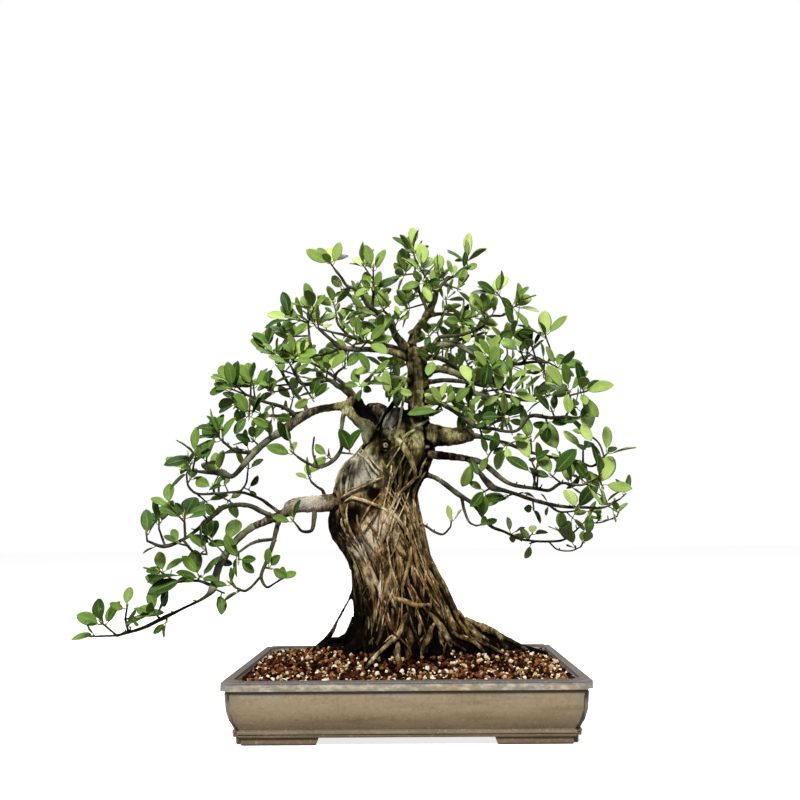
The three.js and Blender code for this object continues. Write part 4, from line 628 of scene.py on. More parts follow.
def make_twig(places, aim, entries):
    """Centres and rings of a twig from the nearest place on the stems to a tuft."""
    start, way_ahead, start_radius = min(places, key=lambda place: float(np.linalg.norm(place[0] - aim)))
    hub = aim
    if np.linalg.norm(start - aim) < start_radius + TUFT_REACH:
        mean = unit(sum(heading_vector(heading, 0) for heading, _ in entries))
        hub = start + unit(mean + way_ahead * 0.4) * (start_radius + TUFT_REACH)
    reach = float(np.linalg.norm(hub - start))
    ahead = unit(hub - start)
    bend = (start + hub) / 2 + way_ahead * reach * 0.12
    last = unit(hub - bend) if reach > LONG_TWIG else ahead
    centres = [(start, ahead)] + ([(bend, last)] if reach > LONG_TWIG else [])
    leafy = math.ceil((len(entries) + 1) / TWIG_SIDES)
    for step in range(leafy + 1):
        centres.append((hub + last * ((step - 0.5 * leafy) * LEAF_SPACING), last))
    across = FIRST_ACROSS
    rings = []
    for centre, way in centres:
        across = flat_from(across, way)
        rings.append((centre, way, ring_corners(centre, across, np.cross(way, across))))
    bud = rings[-1][0] + last * BUD_LENGTH
    return {"rings": rings, "bud": bud, "leafy_from": len(rings) - 1 - leafy, "leafy": leafy,
            "start_radius": start_radius}


def twig_faces(twig):
    """The small flat faces round the end of a twig, each with room for one leaf."""
    faces = []
    rings = twig["rings"]
    for row in range(twig["leafy_from"], twig["leafy_from"] + twig["leafy"]):
        centre, ahead, low = rings[row]
        high = rings[row + 1][2]
        for side in range(TWIG_SIDES):
            following = (side + 1) % TWIG_SIDES
            middle = (low[side] + low[following] + high[following] + high[side]) / 4
            faces.append({"middle": middle, "normal": flat_from(middle - centre, ahead), "taken": False})
    return faces


def leaf_pose(entry, seed, attempt, hub):
    """Direction, face and size of a leaf."""
    draw = Draws(seed * 31 + attempt * 7)
    heading, letters = entry
    length = LEAF_LENGTH * (0.9 + 0.2 * draw())
    if "L" in letters:
        length *= LARGE_LEAF
    if "S" in letters:
        length *= SMALL_LEAF
    width = length * LEAF_WIDTH * (0.94 + 0.14 * draw())
    turn = (draw() - 0.5) * (6 + 6 * attempt)
    lean = 1 if (seed + attempt) % 2 == 0 else -1
    tilt = math.radians(lean * (8 + (30 + 3 * attempt) * draw()))
    ahead = heading_vector(heading + turn, tilt)
    outward = unit(np.array([hub[0], hub[1] - TRUNK_DEPTH, 0.0]))
    face = np.array([0, -0.45, 0.75]) + outward * 0.35
    face = face - ahead * float(np.dot(face, ahead))
    if float(np.dot(face, face)) < 0.02:
        face = outward - ahead * float(np.dot(outward, ahead))
    face = unit(face)
    roll = math.radians((draw() - 0.5) * 80 + (60 if "n" in letters else 0))
    face = turned(face, ahead, roll)
    kind = leaf_kind(letters)
    return {"ahead": ahead, "face": face, "length": length, "width": width, "curl": CURLS[kind],
            "kind": kind}


def leaf_line(pose, base, normal, share):
    """A point on the rib of a leaf, a share of the way to its end."""
    root = base + normal * STALK_LIFT
    return (root + pose["ahead"] * pose["length"] * share
            - pose["face"] * pose["curl"] * pose["length"] * share * share)


def leaf_marks(pose, base, normal):
    """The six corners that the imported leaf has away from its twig."""
    side = np.cross(pose["ahead"], pose["face"])
    half = pose["width"] / 2
    lift = pose["face"] * LEAF_FOLD * half
    centre = leaf_line(pose, base, normal, WIDEST_AT)
    end = leaf_line(pose, base, normal, 1.0)
    blunt = BLUNT_SHARE * pose["width"]
    thick = pose["face"] * LEAF_THICKNESS / 2
    return [centre - side * half + lift, centre + side * half + lift, centre + thick, centre - thick,
            end - side * blunt, end + side * blunt]


class Corners:
    """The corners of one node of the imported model, in millimetres."""

    def __init__(self, node):
        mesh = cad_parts[node].data
        places = np.empty(len(mesh.vertices) * 3)
        mesh.vertices.foreach_get("co", places)
        places = (places.reshape(-1, 3) - ORIGIN) / MM
        self.tree = KDTree(len(places))
        for index, place in enumerate(places):
            self.tree.insert(place, index)
        self.tree.balance()

    def found(self, points):
        return sum(self.tree.find(point)[2] < SAME_POINT for point in points)


def packed_twig(corners, places, tuft):
    """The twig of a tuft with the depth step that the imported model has."""
    x, z, depth, text = tuft
    entries = leaf_entries(text)
    best, best_count = None, 1
    for step in TUFT_STEPS:
        twig = make_twig(places, seen(x, z, depth + step), entries)
        count = corners.found(twig["rings"][-1][2] + twig["rings"][-2][2])
        if count > best_count:
            best, best_count = twig, count
    return best


def packed_leaf(corners, twig, faces, entry, seed):
    """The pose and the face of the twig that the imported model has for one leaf, or None."""
    for attempt in range(LEAF_TRIES):
        pose = leaf_pose(entry, seed, attempt, twig["bud"])
        free = [face for face in faces if not face["taken"]]
        for face in sorted(free, key=lambda face: -float(np.dot(face["normal"], pose["ahead"]))):
            if corners.found(leaf_marks(pose, face["middle"], face["normal"])) >= SAME_MARKS:
                face["taken"] = True
                return pose, face
    return None


# A leaf's blade: a thin closed form with a rib, folded along the rib and bent along its length

BLADE_ROWS = 11
BLADE_COLUMNS = 8
BLADE_FROM = 0.13
BLADE_TO = 1.04
BLADE_HALF_THICKNESS = 0.32
BLADE_SLIMNESS = 0.9
# Leaves are widest past the middle, and blunter than half a wave
BLADE_LEAN = 1.06
BLADE_FULLNESS = 0.62
STALK_RADIUS = 0.8
STALK_SPACING = 3.2
# What is added to the tone of a stalk or bud, and taken from that of a leaf's underside
STALK_MARK = 4.0
UNDER_MARK = 2.0
# How far a leaf's face turns to the side of the tree that it is on, and where its back begins
SHOWING = 0.5
BEHIND = 70.0
# Leaves are darker on the low branches out to the left
LOW_SHADE = 0.5
LOW_LEFT = -130.0
LOW_REACH = 170.0


def blade_width(along):
    """Half width of a leaf as a share of its widest, from its foot to its tip."""
    return max(0.0, math.sin(math.pi * clamp(along) ** BLADE_LEAN)) ** BLADE_FULLNESS


def blade_faces(rows, columns):
    """The faces of a leaf's upper side and of its underside, which share the rim."""
    top = np.arange((rows + 1) * (columns + 1)).reshape(rows + 1, columns + 1)
    bottom = top.copy()
    count = top.size
    bottom[1:-1, 1:-1] = count + np.arange((rows - 1) * (columns - 1)).reshape(rows - 1, columns - 1)
    up = np.stack([top[:-1, :-1], top[:-1, 1:], top[1:, 1:], top[1:, :-1]], -1).reshape(-1, 4)
    down = np.stack([bottom[:-1, :-1], bottom[1:, :-1], bottom[1:, 1:], bottom[:-1, 1:]], -1)
    return up, down.reshape(-1, 4)


BLADE_UP, BLADE_DOWN = blade_faces(BLADE_ROWS, BLADE_COLUMNS)


def shown_face(pose, base):
    """The leaf's face, turned a little more to the side of the tree that it is on."""
    toward = np.array([0.0, -1.0 if base[1] < BEHIND else 1.0, 0.1])
    ahead = pose["ahead"]
    face = pose["face"] + SHOWING * (toward - ahead * float(np.dot(toward, ahead)))
    return pose["face"] if float(np.linalg.norm(face)) < 0.3 else unit(face)


def add_leaf(shape, pose, base, normal, tone, draw):
    """A blade and its stalk."""
    pose = dict(pose, face=shown_face(pose, base))
    tone = tone * (1 - LOW_SHADE * clamp((LOW_LEFT - base[0]) / LOW_REACH))
    ahead, face = pose["ahead"], pose["face"]
    side = np.cross(ahead, face)
    length = pose["length"]
    half = pose["width"] / 2 * BLADE_SLIMNESS * draw.between(0.9, 1.08)
    wave = draw.between(0.0, 6.28)
    wave_size = draw.between(0.2, 0.9)
    fold = LEAF_FOLD * draw.between(0.7, 1.5)
    bow = draw.between(-0.05, 0.06) * length
    rows = []
    details = []
    for row in range(BLADE_ROWS + 1):
        along = row / BLADE_ROWS
        share = BLADE_FROM + (BLADE_TO - BLADE_FROM) * along
        wide = half * max(blade_width(along), 0.06 if row == 0 else 0.0)
        centre = leaf_line(pose, base, normal, share) + side * bow * math.sin(math.pi * along)
        for column in range(BLADE_COLUMNS + 1):
            across = column / BLADE_COLUMNS * 2 - 1
            ripple = wave_size * across * across * math.sin(wave + 7 * along) * math.sin(math.pi * along)
            lift = fold * wide * abs(across) ** 1.3 + ripple
            rows.append(centre + side * wide * across + face * lift)
            details.append((across, along, tone))
    top = np.array(rows).reshape(BLADE_ROWS + 1, BLADE_COLUMNS + 1, 3)
    inner = top[1:-1, 1:-1]
    rib = 1 - np.abs(np.arange(1, BLADE_COLUMNS) / BLADE_COLUMNS * 2 - 1)[None, :, None]
    below = inner - face * (BLADE_HALF_THICKNESS * 2 + 0.35 * rib ** 6)
    points = np.concatenate([top.reshape(-1, 3), below.reshape(-1, 3)])
    inner_details = np.array(details).reshape(BLADE_ROWS + 1, BLADE_COLUMNS + 1, 3)[1:-1, 1:-1].copy()
    inner_details[:, :, 2] -= UNDER_MARK
    shape.add(points, np.concatenate([BLADE_UP, BLADE_DOWN]), [],
              np.concatenate([np.array(details), inner_details.reshape(-1, 3)]))
    stalk = [base - normal * 1.2, base + normal * STALK_LIFT * 0.6, leaf_line(pose, base, normal, 0.03),
             leaf_line(pose, base, normal, BLADE_FROM + 0.03) - face * 0.3,
             leaf_line(pose, base, normal, 0.34) - face * 0.45 + side * bow * 0.6]
    radii = [STALK_RADIUS * 1.25, STALK_RADIUS, STALK_RADIUS * 0.85, STALK_RADIUS * 0.75, 0.25]
    stalk, radii = smooth_way(stalk, radii, STALK_SPACING)
    add_tube(shape, stalk, radii, 6, (0.0, 0.1, tone + STALK_MARK))


FINE_TWIG = 1.35
TWIG_SPACING = 2.6
STEM_SPACING = 3.6
SPUR_SPACING = 3.0
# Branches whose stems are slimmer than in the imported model
SLIMMER = {
    "spray_right_lowest": 0.74, "spray_right_cross": 0.86, "spray_right_low": 0.88, "spray_right_long": 0.88,
}


def looks_radius(radius):
    """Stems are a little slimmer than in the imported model, thin ones most."""
    return radius * (0.72 + 0.13 * clamp((radius - 3) / 6))


# Tones: 0 is an old dark leaf, 1 a young bright one
TONES = {"y": (0.76, 0.94), "": (0.36, 0.68), "o": (0.0, 0.22)}


def leaf_tone(kind, draw):
    low, high = TONES[kind]
    return draw.between(low, high)


def add_twig(wood, twig, seed):
    centres = [ring[0] for ring in twig["rings"]]
    first = centres[0]
    ahead = twig["rings"][0][1]
    thick = min(looks_radius(twig["start_radius"]) * 0.85, FINE_TWIG * 1.35)
    start = first - ahead * twig["start_radius"] * 0.3
    points = [start] + centres[1:]
    radii = ([thick] + [FINE_TWIG] * len(points))[:len(points) - 1] + [FINE_TWIG * 0.8]
    points, radii = smooth_way(points, radii, TWIG_SPACING)
    knots = [1 + 0.22 * max(0.0, wander(index * 0.7, seed * 1.7, 3.0)) for index in range(len(points))]
    add_tube(wood, points, radii * np.array(knots), 7, (0.2, 0.0, 0.0), rough=0.2, seed=seed)


def add_bud(leaves, twig, tone):
    last, ahead, _ = twig["rings"][-1]
    points = [last - ahead * 1.5, last + ahead * 1.5, last + ahead * 4.0, twig["bud"] + ahead * 1.5]
    add_tube(leaves, points, [1.3, 1.6, 1.0, 0.25], 6, (0.0, 0.5, tone + STALK_MARK))


# Small tufts that only the looks have: spray, seen x, seen z, depth and leaves
SMALL_TUFTS = [
    ("spray_left_tail", -428, 152, -96, "10"), ("spray_left_tail", -442, 168, -108, "90yS"),
    ("spray_left_tail", -378, 146, -98, "250yS"), ("spray_left_tail", -306, 236, -38, "0oS"),
    ("spray_left_tail", -292, 190, -72, "250yS"), ("spray_left_arc", -335, 322, -72, "170y"),
    ("spray_left_arc", -362, 266, -122, "130yS"), ("spray_left_wire", -312, 357, 68, "150y"),
    ("spray_left_wire", -286, 334, 92, "215 300"), ("spray_left_down", -205, 206, -66, "30S"),
    ("spray_left_outer", -324, 400, -108, "125o"), ("spray_left_rise", -178, 540, 40, "60 20S"),
    ("spray_mid_tangle", -187, 556, -66, "150 85"), ("spray_apex_right", 92, 686, 48, "60S"),
    ("spray_apex_side", 113, 618, 116, "10 300S"), ("spray_left_top", -76, 600, -30, "70 130"),
    ("spray_left_far", -104, 596, 176, "200 330"), ("spray_left_mid", -52, 540, -98, "160 230S"),
    ("spray_right_upper", 142, 545, -92, "70 130"), ("spray_right_mid", 150, 478, 66, "300 230"),
    ("spray_right_dark", 104, 560, 146, "100 30"), ("spray_right_top", 48, 566, -4, "260oS"),
    ("spray_right_long", 206, 424, -78, "100 160"), ("spray_right_low", 214, 384, -66, "45oS 90"),
    ("spray_right_lowest", 118, 289, 42, "20S"), ("spray_right_lowest", 200, 262, 122, "250S"),
    ("spray_apex_right", 18, 752, 40, "40oS"), ("spray_apex_left", -66, 728, -50, "126y"),
    ("spray_left_top", -172, 634, -78, "142 110y 170S"), ("spray_left_rise", -216, 576, 18, "52 84S"),
    ("spray_left_rise", -230, 594, 30, "98y 135S"), ("spray_left_fan", -290, 534, -124, "138y"),
    ("spray_left_fan", -254, 528, -100, "140y 165 112"),
    ("spray_left_fan", -276, 492, -118, "172 205oS 140"), ("spray_left_outer", -300, 450, -132, "132 168o"),
    ("spray_left_outer", -240, 424, -76, "78 150oS"), ("spray_right_low", 108, 394, -12, "256 290oS"),
    ("spray_right_spread", 178, 338, 8, "196L 184o"), ("spray_right_spread", 128, 344, -2, "262 226o"),
    ("spray_right_top", 200, 540, -16, "205 160 262o"), ("spray_right_top", 232, 540, -34, "215 172 290oS"),
    ("spray_right_upper", 176, 530, -80, "120 165y"), ("spray_left_rise", -216, 512, -14, "110 150S"),
    ("spray_left_top", -60, 596, -40, "100 150oS"), ("spray_apex_side", 44, 604, 60, "70 250oS"),
]

# Small branches that only the looks have: name, stem and its tuft
SMALL_BRANCHES = [
    ("spray_left_under",
     [[-146, 320, 0, 6], [-147, 302, -6, 5], [-151, 285, -14, 4], [-166, 284, -24, 3],
      [-175, 294, -31, 2.4]],
     (-176, 297, -33, "100o 160S")),
    ("spray_column_left",
     [[12, 492, 26, 5], [-2, 496, 10, 3.6], [-12, 502, -2, 2.8]],
     (-13, 503, -4, "100o 60S")),
    ("spray_column_front",
     [[46, 470, 6, 4], [58, 484, -8, 3], [62, 490, -16, 2.4]],
     (60, 488, -20, "20S 330S")),
]

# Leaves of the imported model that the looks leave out, since they aren't in the photograph: heading and kind
BARE = [(175.0, "yL"), (92.0, "yL")]


def add_tuft(wood, leaves, twig, text, seed, corners=None):
    """A twig with its leaves. With corners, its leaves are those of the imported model, and the few that
    it has no room for are added."""
    faces = twig_faces(twig)
    add_twig(wood, twig, seed)
    tones = []
    aheads = []
    late = []

    def grow(pose, face, draw):
        face["taken"] = True
        tones.append(leaf_tone(pose["kind"], draw))
        aheads.append(pose["ahead"])
        add_leaf(leaves, pose, face["middle"], face["normal"], tones[-1], draw)

    for index, entry in enumerate(leaf_entries(text)):
        draw = Draws(seed * 17 + index * 5 + 3)
        if corners and entry in BARE:
            continue
        found = packed_leaf(corners, twig, faces, entry, seed + index) if corners else None
        if found:
            grow(*found, draw)
        else:
            late.append((index, entry, draw))
    for index, entry, draw in late:
        pose = leaf_pose(entry, seed + index, 0, twig["bud"])
        free = [face for face in faces if not face["taken"]] or faces
        grow(pose, max(free, key=lambda face: float(np.dot(face["normal"], pose["ahead"]))), draw)
    add_bud(leaves, twig, max(tones) * 0.8 + 0.15)
    draw = Draws(seed * 13 + 5)
    kinds = [leaf_kind(letters) for _, letters in leaf_entries(text)] + [""]
    last, ahead, _ = twig["rings"][-1]
    lush = lushness(last[2])
    count = int(0.8 + draw() * 1.3 + 2.3 * lush)
    add_shoot_leaves(leaves, last, ahead, FINE_TWIG, count, (0.56, 0.84 + 0.2 * lush), kinds, draw, aheads)


# Leaves that only the looks have: each tuft grows more of them round its shoot, and thin stems carry
# short spurs with small leaves

GOLDEN_ANGLE = 2.4
LUSH_FROM = 400.0
LUSH_TO = 560.0
# A leaf whose direction is this near to that of another leaf of the shoot is left out
CROWDED = 0.86


def lushness(z):
    """How leafy the tree is at a height: 0 on the low branches, 1 in the crown."""
    return clamp((z - LUSH_FROM) / (LUSH_TO - LUSH_FROM))


def shoot_leaf(base, along, turn, lean, length, kind, draw):
    """A leaf's pose, turned round its shoot and leaning away from it."""
    across = flat_from(FIRST_ACROSS, along)
    other = np.cross(along, across)
    out = across * math.cos(turn) + other * math.sin(turn)
    rise = 0.18 + 0.3 * lushness(base[2])
    ahead = unit(along * math.cos(lean) + out * math.sin(lean) + np.array([0.0, 0.0, rise]))
    face = along * 0.9 + np.array([0.0, -0.3, 0.55])
    face = unit(face - ahead * float(np.dot(face, ahead)))
    face = turned(face, ahead, math.radians(draw.between(-28, 28)))
    width = length * LEAF_WIDTH * draw.between(0.94, 1.06)
    pose = {"ahead": ahead, "face": face, "length": length, "width": width, "curl": CURLS[kind], "kind": kind}
    return pose, out


def add_shoot_leaves(leaves, centre, along, radius, count, sizes, kinds, draw, others=()):
    """Leaves set round a shoot, as many of the count as find room."""
    taken = list(others)
    phase = draw.between(0, 6.28)
    made = 0
    for index in range(count * 3):
        if made == count:
            break
        kind = kinds[int(draw() * len(kinds)) % len(kinds)]
        length = LEAF_LENGTH * draw.between(*sizes)
        lean = math.radians(draw.between(28, 72))
        pose, out = shoot_leaf(centre, along, phase + index * GOLDEN_ANGLE, lean, length, kind, draw)
        if any(float(np.dot(pose["ahead"], other)) > CROWDED for other in taken):
            continue
        taken.append(pose["ahead"])
        base = centre - along * draw.between(0.0, 5.0) + out * radius * 0.5
        add_leaf(leaves, pose, base, out, leaf_tone(kind, draw), draw)
        made += 1


def add_spurs(wood, leaves, way, seed, start_share):
    """Short spurs, some bare and some with small leaves, along the thin part of a stem."""
    points, radii = curve_through(way, SPUR_SPACING)
    total = len(points)
    draw = Draws(seed)
    index = int(total * start_share)
    side = 1
    while index < total - 3:
        radius = looks_radius(radii[index])
        ahead = unit(points[min(total - 1, index + 1)] - points[index - 1])
        up = flat_from(np.array([0.25 * side, draw.between(-0.8, 0.8), draw.between(-0.3, 1.0)]), ahead)
        along = unit(up + ahead * draw.between(0.3, 1.0))
        kind_draw = draw()
        if radii[index] < 5.0:
            leafy = kind_draw < 0.18 + 0.36 * lushness(points[index][2])
            length = draw.between(7, 20) if leafy else draw.between(3, 9)
            tip = points[index] + along * length
            thin = min(radius * 0.8, FINE_TWIG * 0.85)
            bend = points[index] + along * length * 0.5 + ahead * draw.between(-2, 2)
            spur, thickness = smooth_way([points[index], bend, tip], [thin * 1.2, thin, thin * 0.7],
                                         TWIG_SPACING)
            add_tube(wood, spur, thickness, 6, (0.18, 0.0, 0.0), rough=0.2, seed=seed + index)
            if leafy:
                kinds = ["", "", "y", "o"]
                add_shoot_leaves(leaves, tip, along, thin, 2 + int(draw() * 2.6), (0.45, 0.85), kinds, draw)
        index += int(draw.between(5, 11))
        side = -side


def stem_details(radii):
    tone = np.clip((np.asarray(radii) - 1.5) / 8.0, 0.15, 1.0)
    return np.column_stack([tone, np.zeros(len(tone)), np.zeros(len(tone))])


def add_stem(wood, way, seed, first=0, slimmer=1.0):
    """A stem, from the way point where it leaves the trunk."""
    points = [seen(*point[:3]) for point in way]
    radii = [looks_radius(point[3]) * slimmer for point in way]
    points, radii = smooth_way(points, radii, STEM_SPACING)
    if first:
        start = seen(*way[first][:3])
        nearest = int(np.argmin(np.linalg.norm(points - start, axis=1)))
        points, radii = points[max(0, nearest - 2):], radii[max(0, nearest - 2):]
    knots = np.array([wander(index * 0.31, seed * 3.1, 0.5) for index in range(len(points))])
    radii = radii * (1 + 0.12 * knots)
    sides = 14 if radii.max() > 6 else 10 if radii.max() > 3.2 else 8
    add_tube(wood, points, radii, sides, stem_details(radii), rough=0.14, seed=seed)


def thin_from(way):
    """The share of a stem after which it is thin enough for spurs."""
    radii = [point[3] for point in way]
    return max(0.3, next((index / len(radii) for index, radius in enumerate(radii) if radius < 4.8), 1.0))


SPUR_SEED = 9000
BRANCH_SEED = 700
TUFT_SEED = 70000
FACING_SEED = 8800


def make_spray(index, spray, materials):
    """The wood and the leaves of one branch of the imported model."""
    name, hold, stems, tufts = spray
    wood, leaves = Shape(), Shape()
    corners = Corners(name)
    places = twig_places(spray)
    for stem_index, way in enumerate(stems):
        first = hold - 1 if stem_index == 0 else 0
        add_stem(wood, way, index * 10 + stem_index, first, SLIMMER.get(name, 1.0))
    for tuft_index, tuft in enumerate(tufts):
        twig = packed_twig(corners, places, tuft)
        if twig:
            add_tuft(wood, leaves, twig, tuft[3], index * 1000 + tuft_index * 20, corners)
    for stem_index, way in enumerate(stems):
        start_share = thin_from(way) if stem_index == 0 else 0.35
        add_spurs(wood, leaves, way, SPUR_SEED + index * 10 + stem_index, start_share)
    small = [tuft for tuft in SMALL_TUFTS if tuft[0] == name]
    for tuft_index, (_, x, z, depth, text) in enumerate(small):
        twig = make_twig(places, seen(x, z, depth), leaf_entries(text))
        add_tuft(wood, leaves, twig, text, index * 1000 + 500 + tuft_index * 20)
    keep_piece(wood.make(name + "_wood", materials["bark"]), "bark", name)
    keep_piece(leaves.make(name + "_leaves", materials["leaf"]), "leaf", name)


def keep_piece(piece, slot, *nodes):
    """Hang a piece from the root body and hide the nodes that it stands for; slot, what the piece is made of,
    is not used.
    """
    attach(piece, "root")
    if nodes:
        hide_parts(*nodes)


# Single leaves that face the front: foot as seen, depth, heading, length, width, tone and side shown
FACING_LEAVES = [
    (62, 477, -24, 185, 52, 18, 0.34, 1), (66, 488, -22, 158, 30, 21, 0.5, -1),
    (-4, 522, 0, 258, 36, 17, 0.12, 1), (-14, 524, 4, 238, 26, 13, 0.2, 1),
    (18, 760, 40, 92, 34, 19, 0.92, 1), (19, 753, 40, 144, 42, 12, 0.24, 1),
    (32, 722, 26, 91, 42, 23, 0.88, 1), (2, 714, 79, 97, 41, 20, 0.6, 1),
    (111, 736, 86, 85, 48, 20, 0.95, 1), (108, 733, 86, 144, 38, 12, 0.2, 1),
    (6, 711, 79, 192, 44, 11, 0.12, 1), (80, 702, 60, 32, 42, 11, 0.1, 1),
]


def make_facing_leaves(materials):
    leaves = Shape()
    for index, (x, z, depth, heading, length, width, tone, side) in enumerate(FACING_LEAVES):
        ahead = heading_vector(heading, math.radians(-6))
        face = flat_from(np.array([0.1, -1.0 * side, 0.35]), ahead)
        pose = {"ahead": ahead, "face": face, "length": length, "width": width, "curl": 0.06, "kind": ""}
        add_leaf(leaves, pose, seen(x, z, depth), ahead, tone, Draws(FACING_SEED + index))
    keep_piece(leaves.make("leaves_before_trunk", materials["leaf"]), "leaf")


def make_small_branches(materials):
    for index, (name, way, (x, z, depth, text)) in enumerate(SMALL_BRANCHES):
        wood, leaves = Shape(), Shape()
        add_stem(wood, way, BRANCH_SEED + index)
        places = twig_places((name, 1, [way], []))
        twig = make_twig(places, seen(x, z, depth), leaf_entries(text))
        add_tuft(wood, leaves, twig, text, TUFT_SEED + index * 40)
        keep_piece(wood.make(name + "_wood", materials["bark"]), "bark")
        keep_piece(leaves.make(name + "_leaves", materials["leaf"]), "leaf")


# Roots laid over the trunk, as seen from the front: [x, z] way points, radius, brightness and redness

